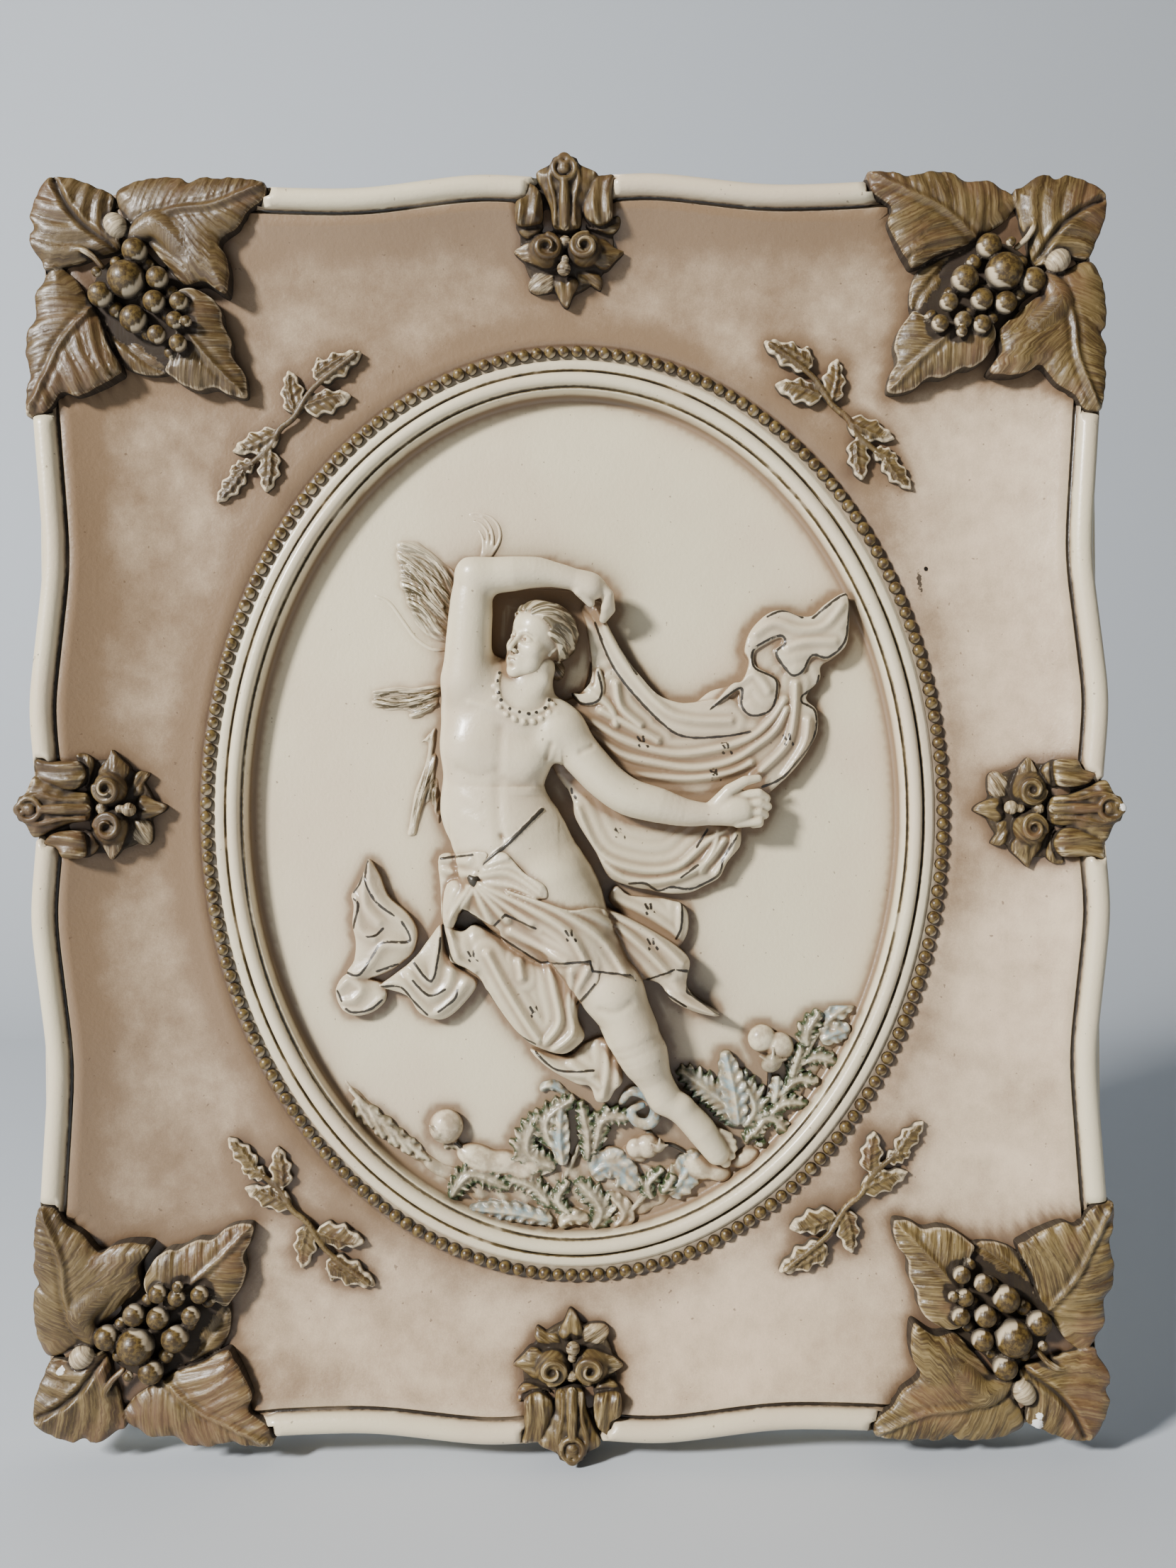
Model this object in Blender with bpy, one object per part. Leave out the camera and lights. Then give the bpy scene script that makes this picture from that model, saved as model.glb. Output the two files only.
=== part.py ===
# Chalkware wall plaque: a scalloped oblong frame round an oval panel with a draped classical figure in relief.
# The whole thing is one plaster cast, so it is one solid. It hangs flat on the wall: the back is y = 0, the front
# looks along -y, and the origin is the bearing point of the hanging nail.
import bmesh
import bpy
import numpy as np
from mathutils import Matrix
from mathutils.geometry import delaunay_2d_cdt

PLAQUE_HALF_WIDTH = 0.2315
PLAQUE_HALF_HEIGHT = 0.270
BODY_CORNER = 0.026
BODY_DEPTH = 0.022
RAIL_UNDERSIDE = 0.028
RAIL_WIDTH = 0.0093
RAIL_CREST = 0.042
COVE_DEEP = 0.0235
COVE_RISE = 0.014
PANEL_LEVEL = 0.015
OVAL_HALF_WIDTH = 0.1604
OVAL_HALF_HEIGHT = 0.2011
OVAL_CENTRE = (0.0017, -0.0022)
BEAD_WIDTH = 0.0054
BAND_LEVEL = 0.0245
INNER_MOULDING = 0.0116
PANEL_EDGE = 0.0170
HANGER_UP = 0.244
NAIL_POCKET = (0.024, 0.016, 0.012)
FIGURE_HEIGHT = 0.268
FIGURE_CENTRE = (0.0, -0.0019)
CLUSTER_SIZE = 0.100
ORNAMENT_LENGTH = 0.064
SPRAY_LENGTH = 0.078
GRAIN = 0.00125
TRIANGLES = 9700

# Scallops of the rail: distance from the middle of the side, and how far out the rail stands there.
UPRIGHT_SCALLOP = [(0, 0.2262), (0.045, 0.2303), (0.112, 0.2228), (0.170, 0.2268), (0.230, 0.2310), (0.300, 0.2310)]
LEVEL_SCALLOP = [(0, 0.2680), (0.036, 0.2710), (0.089, 0.2645), (0.127, 0.2655), (0.190, 0.2700), (0.250, 0.2700)]

# The figure's own points are hundredths of its height, from the middle of the panel.
FIGURE = {
    "upper_arm": [(-16.4, 22.3), (-16.2, 25.6), (-16.0, 28.8), (-15.7, 32.0), (-15.4, 35.3), (-14.5, 38.0)],
    "forearm": [(-14.5, 38.2), (-12.1, 38.2), (-8.8, 38.5), (-5.6, 38.6), (-2.4, 38.2), (0.9, 37.4), (3.5, 36.5)],
    "hand": [(3.5, 36.4), (5.4, 35.8), (6.1, 34.2), (6.4, 33.0)],
    "torso": [(-12.1, 16.5), (-12.1, 12.6), (-12.4, 8.7), (-12.7, 4.4), (-12.9, 1.2)],
    "hips": [(-12.8, 0.8), (-9.7, -4.5), (-7.8, -10.0), (-4.0, -14.4)],
    "thigh": [(-3.6, -12.3), (1.0, -19.9), (5.7, -28.4)],
    "calf": [(7.1, -29.4), (9.6, -35.6), (11.4, -40.0)],
    "ankle": [(11.8, -39.4), (13.3, -43.5), (15.4, -46.7), (18.2, -49.1), (20.9, -52.1), (23.5, -55.8)],
    "arm": [(-2.0, 12.7), (-0.6, 12.3), (2.6, 8.5), (5.9, 5.0), (9.5, 2.5), (14.2, 1.1), (18.5, -0.1), (22.2, -0.4),
            (25.8, -0.2), (27.8, 0.1)],
    "veil": [(1.9, 33.2), (3.4, 34.6), (5.5, 34.3), (6.0, 31.9), (7.6, 28.5), (9.8, 24.8), (11.9, 22.1), (14.5, 19.3),
             (17.8, 18.0), (20.4, 18.0), (23.0, 19.8), (26.3, 20.7), (28.1, 21.4), (29.2, 24.3), (28.5, 26.2),
             (29.3, 29.1), (31.1, 31.3), (33.0, 32.6), (35.2, 32.9), (37.4, 32.0), (39.6, 31.9), (41.8, 33.8),
             (44.8, 35.4), (45.7, 34.5), (45.8, 29.7), (45.1, 26.4), (43.2, 24.6), (41.4, 23.5), (41.2, 21.3),
             (38.9, 18.5), (40.6, 16.5), (40.7, 12.8), (39.0, 9.5), (36.8, 6.6), (33.8, 3.7), (32.0, 2.0),
             (32.3, -0.3), (30.5, -2.5), (28.3, -2.7), (27.9, -5.8), (25.7, -8.4), (24.5, -10.9), (21.9, -12.4),
             (19.4, -13.5), (15.7, -13.6), (12.7, -13.0), (9.4, -12.3), (6.1, -10.8), (4.0, -6.7), (0.7, -1.2),
             (0.0, 2.5), (-3.3, 7.7), (-3.9, 12.8), (-2.1, 17.6), (1.3, 19.4), (3.5, 22.3), (2.8, 30.1)],
    "tail": [(5.9, -14.4), (7.4, -11.9), (9.6, -13.5), (14.0, -13.8), (16.9, -14.5), (18.1, -14.9), (19.3, -16.8),
             (19.1, -20.1), (17.2, -22.3), (13.2, -19.7), (9.2, -17.4)],
    "overskirt": [(-15.5, -10.6), (-12.6, -11.0), (-9.4, -12.1), (-4.3, -14.0), (0.0, -15.1), (3.6, -14.8),
                  (6.5, -15.7), (10.8, -17.7), (16.3, -21.0), (19.1, -23.6), (18.9, -25.8), (18.4, -27.9),
                  (19.8, -30.1), (23.8, -32.7), (20.5, -32.8), (16.2, -30.8), (14.0, -27.5), (10.0, -27.0),
                  (9.3, -25.9), (3.5, -25.1), (3.2, -23.5), (-0.1, -24.3), (-5.2, -24.3), (-8.8, -22.6),
                  (-11.5, -20.1), (-12.0, -18.4), (-15.2, -17.1), (-17.8, -15.5), (-19.0, -18.2), (-20.7, -17.8),
                  (-20.3, -11.3)],
    "underskirt": [(-20.8, -17.9), (-17.9, -19.0), (-15.7, -18.0), (-11.5, -20.2), (-5.2, -23.9), (3.2, -23.2),
                   (3.5, -25.8), (2.4, -28.0), (0.8, -31.2), (0.9, -33.8), (2.2, -36.3), (0.9, -38.1), (-1.7, -39.4),
                   (-6.0, -38.1), (-8.9, -35.9), (-11.8, -32.2), (-14.0, -28.9), (-15.2, -26.7), (-17.2, -25.2),
                   (-19.8, -24.1), (-20.1, -21.6)],
    "lowertail": [(-7.1, -38.4), (-1.0, -39.7), (1.8, -37.7), (5.4, -36.9), (7.8, -40.6), (8.4, -43.8), (7.0, -45.6),
                  (5.8, -47.4), (3.7, -47.4), (2.7, -45.0), (0.5, -44.5), (-4.3, -41.7)],
    "swirl": [(-33.2, -7.1), (-31.3, -9.8), (-29.9, -13.3), (-27.0, -16.0), (-25.5, -18.1), (-25.1, -20.1),
              (-25.8, -22.8), (-27.3, -24.2), (-29.4, -25.7), (-32.4, -26.9), (-34.7, -27.3), (-37.1, -26.1),
              (-35.9, -23.9), (-35.6, -20.9), (-36.1, -18.0), (-35.8, -15.0), (-36.2, -13.2), (-35.2, -11.5),
              (-34.0, -9.1)],
    "swirlfold": [(-25.3, -22.8), (-23.5, -20.4), (-21.1, -17.8), (-20.5, -22.5), (-18.8, -24.9), (-15.3, -27.6),
                  (-17.7, -31.4), (-20.6, -33.7), (-23.0, -33.7), (-25.3, -32.5), (-27.1, -29.9), (-31.5, -28.3),
                  (-29.4, -26.3), (-27.0, -24.5)],
    "backing": [(-12.8, 36.0), (-10.8, 36.9), (0.8, 36.5), (3.5, 34.8), (3.4, 22.5), (-1.7, 15.9), (-12.3, 22.0)],
    "sash": [(-9.3, -8.7), (-6.5, -9.2), (-4.3, -11.0), (-4.0, -12.9), (-5.8, -14.3), (-8.6, -12.1)],
}
FOLDS = {
    "veil": [[(4.7, 32.9), (6.5, 26.3), (10.4, 20.0), (15.9, 14.5), (21.7, 12.6), (29.1, 13.3), (33.9, 16.1)],
             [(-1.3, 16.8), (3.4, 14.8), (9.3, 11.6), (16.6, 9.5), (23.2, 10.2), (29.1, 12.5), (33.5, 16.2)],
             [(4.5, 11.3), (8.5, 9.0), (15.1, 7.3), (21.7, 7.3), (26.9, 8.9), (32.0, 12.5), (35.4, 18.4)],
             [(1.1, 0.7), (4.7, -6.7), (11.3, -9.4), (17.2, -9.0), (21.6, -5.4), (25.3, -2.9)],
             [(34.9, 27.1), (35.7, 22.4), (38.7, 23.8), (42.4, 25.2), (45.1, 28.1), (45.4, 34.4)]],
    "overskirt": [[(-14.4, -12.0), (-7.2, -14.9), (-0.7, -18.6), (2.8, -23.7)],
                  [(-8.6, -12.4), (0.0, -15.7), (5.7, -20.1), (9.3, -25.2)],
                  [(-1.4, -14.3), (5.8, -17.2), (12.6, -21.6), (17.6, -25.2)]],
    "underskirt": [[(-3.7, -24.5), (-2.7, -28.9), (-2.0, -33.6), (-4.2, -36.9)],
                   [(-0.1, -25.3), (-0.5, -30.7), (-0.5, -35.4), (-3.8, -38.7)],
                   [(-13.5, -22.6), (-11.0, -26.5), (-8.5, -31.6), (-6.4, -36.2)]],
    "lowertail": [[(-0.2, -40.7), (3.8, -42.4), (6.6, -45.2)]],
    "swirl": [[(-33.1, -8.2), (-31.8, -12.1), (-29.2, -16.2), (-26.6, -18.9), (-26.9, -20.9), (-31.0, -21.5),
               (-33.7, -25.9)]],
    "swirlfold": [[(-25.8, -24.2), (-23.1, -27.1), (-21.3, -22.4)],
                  [(-30.8, -28.2), (-27.0, -28.6), (-24.7, -32.1), (-22.3, -33.0), (-18.5, -28.6)]],
    "tail": [[(7.0, -14.0), (12.5, -16.0), (17.6, -19.6)]],
    "sash": [[(-8.4, -9.6), (-5.0, -13.4)]],
}
GROUND = {
    "wing1": [(-29.2, 44.3), (-26.5, 45.0), (-23.2, 43.6), (-20.2, 41.9), (-18.2, 39.2), (-19.3, 34.5), (-20.1, 31.2),
              (-20.5, 27.5), (-23.3, 28.2), (-26.6, 31.6), (-28.3, 36.3), (-29.6, 39.6)],
    "wing2": [(-33.1, 18.0), (-31.1, 20.6), (-26.4, 21.6), (-21.0, 21.5), (-21.7, 18.5), (-22.4, 16.2),
              (-26.4, 15.2), (-28.4, 16.2)],
    "wing3": [(-22.5, 12.9), (-22.3, 9.5), (-21.8, 6.2), (-21.5, 2.8), (-23.9, -0.2), (-25.6, -3.8), (-26.9, -3.1),
              (-26.6, 1.2), (-25.2, 6.2), (-24.1, 10.2)],
    "fern": [(46.3, -30.3), (46.9, -33.1), (45.0, -37.6), (42.5, -41.2), (40.1, -44.5), (36.4, -48.5), (33.1, -52.6),
             (30.6, -54.2), (28.2, -54.2), (32.3, -48.5), (36.0, -41.6), (38.1, -37.5), (39.3, -34.3), (42.2, -31.4)],
    "thistle": [(17.4, -42.2), (23.3, -41.0), (25.2, -39.8), (26.6, -41.8), (29.8, -44.3), (30.8, -48.4),
                (29.8, -51.6), (26.1, -52.0), (24.1, -49.1), (20.0, -46.7), (18.4, -45.0)],
    "leftfern": [(-37.1, -44.8), (-33.4, -47.6), (-27.9, -52.2), (-24.3, -55.9), (-25.7, -57.8), (-30.3, -55.4),
                 (-34.8, -51.7)],
    "rocks": [(-21.5, -62.6), (-16.9, -58.5), (-11.8, -57.0), (-4.5, -58.7), (-2.7, -61.0), (-3.2, -65.1),
              (0.0, -67.4), (-4.6, -68.1), (-11.9, -67.5), (-18.3, -65.0)],
    "cluster": [(-8.3, -50.7), (-4.9, -47.6), (0.2, -46.7), (4.3, -49.5), (9.3, -50.4), (7.0, -54.5), (3.8, -55.9),
                (0.1, -58.6), (-4.0, -58.1), (-7.7, -57.2), (-8.6, -53.5)],
    "lowflower": [(-2.7, -62.8), (0.1, -61.0), (4.2, -61.9), (7.8, -63.8), (7.4, -67.0), (3.7, -68.8), (1.9, -66.5),
                  (-2.3, -67.4)],
    "leafpair": [(2.4, -58.7), (6.1, -57.8), (9.9, -59.7), (9.2, -62.4), (6.5, -63.1), (3.7, -61.0)],
    "sideflower": [(12.0, -61.1), (15.2, -58.4), (19.8, -56.1), (20.5, -58.4), (17.9, -62.5), (15.2, -63.2),
                   (12.9, -62.9)],
    "sidecurl": [(8.0, -46.8), (10.3, -45.7), (13.7, -47.3), (13.5, -49.6), (10.7, -51.2), (8.9, -49.1)],
}
BUDS = [(31.1, -37.2, 0.0061), (33.9, -38.6, 0.0063), (31.9, -40.7, 0.005), (-21.0, -51.3, 0.0073), (12.1, -54.8, 0.0047)]
STEMS = [[(32.2, -42.0), (31.9, -45.3), (31.1, -49.4)], [(-19.5, -53.8), (-17.4, -55.6), (-13.0, -58.0)]]

# The corner cluster as it lies at the top left, hundredths of its size; the other three are turned copies.
CLUSTER_AT = (0.1864, 0.2265)
GRAPES = [(2.1, -6.5, 8.0), (5.7, 5.7, 5.4), (15.4, -6.1, 4.8), (-8.9, -12.8, 5.4), (14.0, -16.2, 4.8),
          (4.9, -23.1, 5.9), (24.7, -16.5, 4.0), (23.0, -24.5, 3.8), (15.2, -30.4, 4.0), (24.2, -34.2, 3.8),
          (28.1, -25.4, 2.4), (-9.5, -4.3, 2.2), (-2.2, 16.4, 4.8)]
LEAVES = {
    "corner": [(-0.6, 8.0), (-3.7, 20.8), (-3.1, 29.9), (-10.0, 33.4), (-18.6, 36.8), (-28.2, 37.9), (-34.7, 33.4),
               (-36.9, 28.1), (-39.6, 21.2), (-37.8, 16.3), (-39.9, 13.1), (-38.7, 7.2), (-35.0, 1.8), (-32.3, -2.5),
               (-21.0, 0.1), (-13.5, 2.7)],
    "top": [(5.8, 7.9), (-0.5, 20.8), (-3.6, 31.6), (5.0, 36.6), (17.9, 38.1), (25.4, 37.5), (28.6, 35.6),
            (35.0, 37.6), (41.4, 36.5), (45.7, 37.0), (54.8, 35.9), (61.8, 34.2), (61.7, 27.2), (54.7, 21.9),
            (49.8, 15.0), (42.3, 9.2), (44.9, 3.3), (45.9, -4.2), (43.7, -13.0), (34.6, -7.9), (26.0, -8.3),
            (18.6, -0.8), (9.0, 10.0)],
    "left": [(-10.5, -20.9), (-14.7, -13.4), (-21.1, -3.7), (-29.1, 0.7), (-33.9, -4.6), (-38.3, -13.1),
             (-37.5, -20.7), (-41.1, -28.1), (-41.7, -37.8), (-39.7, -46.3), (-41.3, -54.9), (-40.9, -64.6),
             (-36.6, -64.6), (-31.2, -62.5), (-25.8, -55.0), (-19.4, -56.2), (-11.3, -52.5), (-4.3, -48.3),
             (-0.5, -44.0), (-6.3, -32.7)],
    "low": [(-10.4, -20.0), (-2.9, -28.7), (6.8, -31.0), (15.4, -36.5), (19.7, -41.9), (17.0, -44.6), (11.0, -45.6),
            (4.5, -44.8), (-2.0, -41.7), (-6.2, -34.1)],
    "inner": [(20.4, -13.1), (28.1, -8.8), (37.8, -13.2), (41.6, -18.7), (42.1, -24.1), (45.3, -30.7), (45.4, -37.2),
              (49.5, -42.7), (51.1, -48.1), (50.5, -54.8), (42.9, -54.0), (37.5, -51.2), (31.0, -52.3),
              (24.5, -50.6), (19.1, -46.7), (16.4, -43.5), (20.2, -35.9), (21.4, -25.0)],
}
MIDRIBS = {
    "corner": [(-1.7, 6.9), (-14.5, 15.6), (-25.6, 32.8)],
    "top": [(7.5, 19.7), (24.2, 22.5), (40.2, 23.9), (60.7, 32.1)],
    "left": [(-14.8, -17.6), (-24.5, -32.6), (-33.3, -55.0)],
    "low": [(-8.0, -26.0), (6.0, -38.0)],
    "inner": [(28.0, -31.9), (40.7, -43.8), (51.3, -55.7)],
}
LOBE = [(6.5, 15.7), (16.2, 18.8), (26.6, -9.1)]

# The mid-side ornament as it lies at the top, hundredths of its length; the other three are turned copies.
ORNAMENT = {
    "tongue": [(-19.8, -0.7), (-10.3, 5.2), (-7.8, 9.4), (0.3, 11.3), (8.8, 9.2), (11.4, 5.0), (23.1, -1.0),
               (19.4, -12.3), (13.3, -24.2), (11.1, -34.9), (5.5, -37.8), (-0.2, -38.4), (-6.5, -36.8), (-9.4, -32.3),
               (-10.5, -22.8), (-15.2, -12.0)],
    "petal_l": [(-22.4, -5.3), (-15.3, -13.1), (-13.4, -25.1), (-15.5, -33.4), (-25.1, -35.7), (-32.2, -34.5),
                (-34.0, -28.5), (-33.3, -18.9), (-27.3, -15.4), (-25.4, -9.4)],
    "petal_r": [(21.9, -2.1), (29.1, -0.9), (34.4, -2.8), (32.5, -12.3), (33.1, -21.9), (31.8, -31.5), (22.8, -35.6),
                (14.4, -31.3), (11.5, -24.1), (14.6, -13.4)],
    "curl_l": [(-35.5, -29.0), (-31.3, -32.0), (-20.5, -32.1), (-13.2, -31.0), (-15.7, -37.0), (-21.8, -40.5),
               (-25.4, -41.7), (-31.4, -37.4)],
    "curl_r": [(13.2, -30.6), (22.8, -33.7), (33.7, -25.4), (38.3, -28.4), (36.7, -35.0), (31.2, -38.8),
               (21.6, -37.3), (14.4, -34.8)],
    "wing_l": [(-35.6, -47.3), (-27.9, -42.9), (-20.6, -38.7), (-18.3, -56.8), (-25.6, -56.2), (-31.6, -52.5)],
    "wing_r": [(40.6, -48.3), (33.6, -45.2), (26.4, -39.7), (19.2, -40.3), (19.0, -57.2), (27.4, -61.1),
               (34.7, -54.9)],
    "pet_l": [(-26.1, -70.8), (-24.6, -64.8), (-19.7, -59.9), (-8.8, -58.8), (-6.7, -64.9), (-9.0, -73.6),
              (-21.1, -74.7)],
    "pet_m": [(-8.9, -66.1), (-4.0, -63.5), (5.7, -63.2), (9.5, -68.7), (5.5, -77.1), (1.9, -84.1), (-3.0, -82.2),
              (-7.5, -73.4)],
    "pet_r": [(6.9, -60.2), (15.4, -59.0), (22.6, -61.5), (26.0, -66.4), (24.0, -72.9), (19.5, -71.4), (15.3, -68.7),
              (9.3, -68.7)],
}
VOLUTES = [(-12.7, -48.4), (13.1, -48.0)]
SPRAY_STEM = [(32.7, 51.3), (9.4, 33.3), (-1.2, 18.0), (-9.7, 11.0), (-15.4, 1.2), (-29.6, -11.3), (-42.3, -26.6)]
SPRAY_LEAVES = [[(8.8, 38.9), (34.8, 52.7)], [(-0.5, 18.6), (-4.5, 42.5)], [(4.4, 20.7), (29.7, 31.0)],
                [(-9.7, 8.9), (-36.8, -2.5)], [(-14.7, -0.2), (-22.0, -25.4)], [(-29.6, -11.3), (-43.7, -26.6)]]


def clear_scene():
    for old in list(bpy.data.objects):
        bpy.data.objects.remove(old)


def outline_gap(px, pz, outline):
    """Signed distance to a closed outline, negative inside."""
    inside = np.zeros(px.shape, bool)
    for (ax, az), (bx, bz) in zip(outline, np.roll(outline, -1, axis=0)):
        rise = bz - az if bz != az else 1e-12
        inside ^= ((az > pz) != (bz > pz)) & (px < (bx - ax) * (pz - az) / rise + ax)
    return np.where(inside, -1, 1) * line_gap(px, pz, np.vstack([outline, outline[:1]]))


def line_gap(px, pz, line):
    best = np.full(px.shape, 1e9)
    for (ax, az), (bx, bz) in zip(line[:-1], line[1:]):
        ex = bx - ax
        ez = bz - az
        along = np.clip(((px - ax) * ex + (pz - az) * ez) / (ex * ex + ez * ez + 1e-18), 0, 1)
        best = np.minimum(best, (px - ax - along * ex) ** 2 + (pz - az - along * ez) ** 2)
    return np.sqrt(best)


def rounded(points, closed=True, steps=4):
    """The same outline through smooth curves."""
    p = np.asarray(points, float)
    count = len(p)
    made = []
    for i in range(count if closed else count - 1):
        a, b, c, d = (p[j % count] if closed else p[min(max(j, 0), count - 1)] for j in (i - 1, i, i + 1, i + 2))
        for t in np.arange(steps) / steps:
            made.append(0.5 * (2 * b + (c - a) * t + (2 * a - 5 * b + 4 * c - d) * t * t
                               + (3 * b - a - 3 * c + d) * t ** 3))
    if not closed:
        made.append(p[-1])
    return np.array(made)


def placed(points, size, at, turn=0, flip=(1, 1), about=(0, 0)):
    """Hundredths of a motif's size to places on the plaque, turned by quarter turns about one of its points."""
    p = (np.asarray(points, float)[:, :2] - about) * flip * size / 100
    for _ in range(turn % 4):
        p = np.stack([-p[:, 1], p[:, 0]], axis=1)
    return p + at


def spot(x, z, level):
    """A place on the plaque (from its middle) and a level above the wall, in the part's own axes."""
    return (x, -level, z - HANGER_UP)


def keep(clay, bm):
    """Adds this shape to the others, which become one skin at the end."""
    bmesh.ops.recalc_face_normals(bm, faces=bm.faces)
    mesh = bpy.data.meshes.new("shape")
    bm.to_mesh(mesh)
    bm.free()
    clay.append(mesh)


def plate(clay, outline, level, rise, soft=0.004, under=0.012, rib=None, folds=(), fold_rise=0.0015, far=None, lift=0.0,
          cut=-0.001):
    """A leaf, a petal or a cloth: its edge at one level, its middle higher, with a groove or folds along lines.
    With far, the level moves on by lift from the first point of far to the last."""
    low = outline.min(axis=0)
    high = outline.max(axis=0)
    pitch = max(0.0022, (high - low).max() / 32)
    px, pz = np.meshgrid(np.arange(low[0], high[0], pitch), np.arange(low[1], high[1], pitch))
    within = outline_gap(px, pz, outline) < -0.4 * pitch
    points = [tuple(p) for p in outline] + list(zip(px[within], pz[within]))
    count = len(outline)
    ring = [(i, (i + 1) % count) for i in range(count)]
    flat, _, faces, _, _, _ = delaunay_2d_cdt(points, ring, [list(range(count))], 1, 1e-6)
    x = np.array([p[0] for p in flat])
    z = np.array([p[1] for p in flat])
    top = level + rise * (1 - np.exp(np.minimum(outline_gap(x, z, outline), 0) / soft))
    if far is not None:
        step = far[-1] - far[0]
        along = ((x - far[0][0]) * step[0] + (z - far[0][1]) * step[1]) / (step @ step)
        top = top + lift * np.clip(along, 0, 1)
    if rib is not None:
        top = top + cut * np.exp(-(line_gap(x, z, rib) / 0.0016) ** 2)
    for fold in folds:
        top = top + fold_rise * np.exp(-(line_gap(x, z, fold) / 0.003) ** 2)
    bm = bmesh.new()
    verts = [bm.verts.new(spot(a, b, h)) for a, b, h in zip(x, z, top)]
    lid = [bm.faces.new([verts[i] for i in face]) for face in faces]
    pushed = bmesh.ops.extrude_face_region(bm, geom=lid, use_keep_orig=True)
    for part in pushed["geom"]:
        if isinstance(part, bmesh.types.BMVert):
            part.co.y = -under
    keep(clay, bm)


def ball(clay, at, level, radii, lean=0.0):
    bm = bmesh.new()
    place = Matrix.Translation(spot(at[0], at[1], level))
    size = Matrix.Diagonal((radii[0], radii[2], radii[1], 1))
    bmesh.ops.create_uvsphere(bm, u_segments=20, v_segments=12, radius=1,
                              matrix=place @ Matrix.Rotation(-lean, 4, "Y") @ size)
    keep(clay, bm)


def pillar(clay, at, low, high, radius):
    bm = bmesh.new()
    middle = Matrix.Translation(spot(at[0], at[1], (low + high) / 2))
    bmesh.ops.create_cone(bm, cap_ends=True, segments=20, radius1=radius, radius2=radius, depth=high - low,
                          matrix=middle @ Matrix.Rotation(np.pi / 2, 4, "X"))
    keep(clay, bm)
    ball(clay, at, high, (radius, radius, radius))


def limb(clay, line, levels, radii, squash=1.0):
    """A tapering tube along a line of places, levels and radii, with round ends. Squash flattens it."""
    line = np.asarray(line, float)
    levels = np.interp(np.linspace(0, 1, len(line)), np.linspace(0, 1, len(levels)), levels)
    radii = np.interp(np.linspace(0, 1, len(line)), np.linspace(0, 1, len(radii)), radii)
    ways = np.gradient(line, axis=0)
    bm = bmesh.new()
    last = None
    for place, level, radius, way in zip(line, levels, radii, ways):
        facing = Matrix.Rotation(-np.arctan2(way[1], way[0]), 4, "Y") @ Matrix.Rotation(np.pi / 2, 4, "Y")
        size = Matrix.Diagonal((radius, radius * squash, 1, 1))
        made = bmesh.ops.create_circle(bm, cap_ends=False, segments=16, radius=1,
                                       matrix=Matrix.Translation(spot(*place, level)) @ facing @ size)
        ring = list({edge for vert in made["verts"] for edge in vert.link_edges})
        if last is None:
            first = ring
        else:
            bmesh.ops.bridge_loops(bm, edges=last + ring)
        last = ring
    for ring in (first, last):
        bmesh.ops.contextual_create(bm, geom=ring)
    keep(clay, bm)
    for end in (0, -1):
        ball(clay, line[end], levels[end], (radii[end], radii[end], radii[end] * squash))


def rail_reach(angle):
    """How far the rail's outline is from the middle in this direction: scalloped sides and rounded corners."""
    across = abs(np.cos(angle))
    up = abs(np.sin(angle))
    flat = min(PLAQUE_HALF_WIDTH / max(across, 1e-9), PLAQUE_HALF_HEIGHT / max(up, 1e-9))
    x = np.interp(flat * up, *zip(*UPRIGHT_SCALLOP))
    z = np.interp(flat * across, *zip(*LEVEL_SCALLOP))
    return ((across / x) ** 16 + (up / z) ** 16) ** (-1 / 16)


def inset(ring, gap):
    """The same ring moved inwards by gap, square to itself."""
    way = np.roll(ring, -1, axis=0) - np.roll(ring, 1, axis=0)
    way = way / np.hypot(way[:, 0], way[:, 1])[:, None]
    return ring + np.stack([-way[:, 1], way[:, 0]], axis=1) * gap


def loft(clay, rings, closed=False):
    """A skin through rings that all have the same number of points: with flat ends, or on round to the first."""
    bm = bmesh.new()
    made = [[bm.verts.new(spot(x, z, level)) for x, z in ring] for ring, level in rings]
    count = len(made[0])
    for a, b in zip(made, made[1:] + (made[:1] if closed else [])):
        for i in range(count):
            j = (i + 1) % count
            bm.faces.new((a[i], a[j], b[j], b[i]))
    if not closed:
        bm.faces.new(made[0][::-1])
        bm.faces.new(made[-1])
    keep(clay, bm)


def half_round(line, middle, half, level, count):
    """Rings of a half-round moulding that runs middle in from a line."""
    turns = np.radians(np.linspace(0, 180, count))
    return [(inset(line, middle - half * np.cos(a)), level + half * np.sin(a)) for a in turns]


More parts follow.
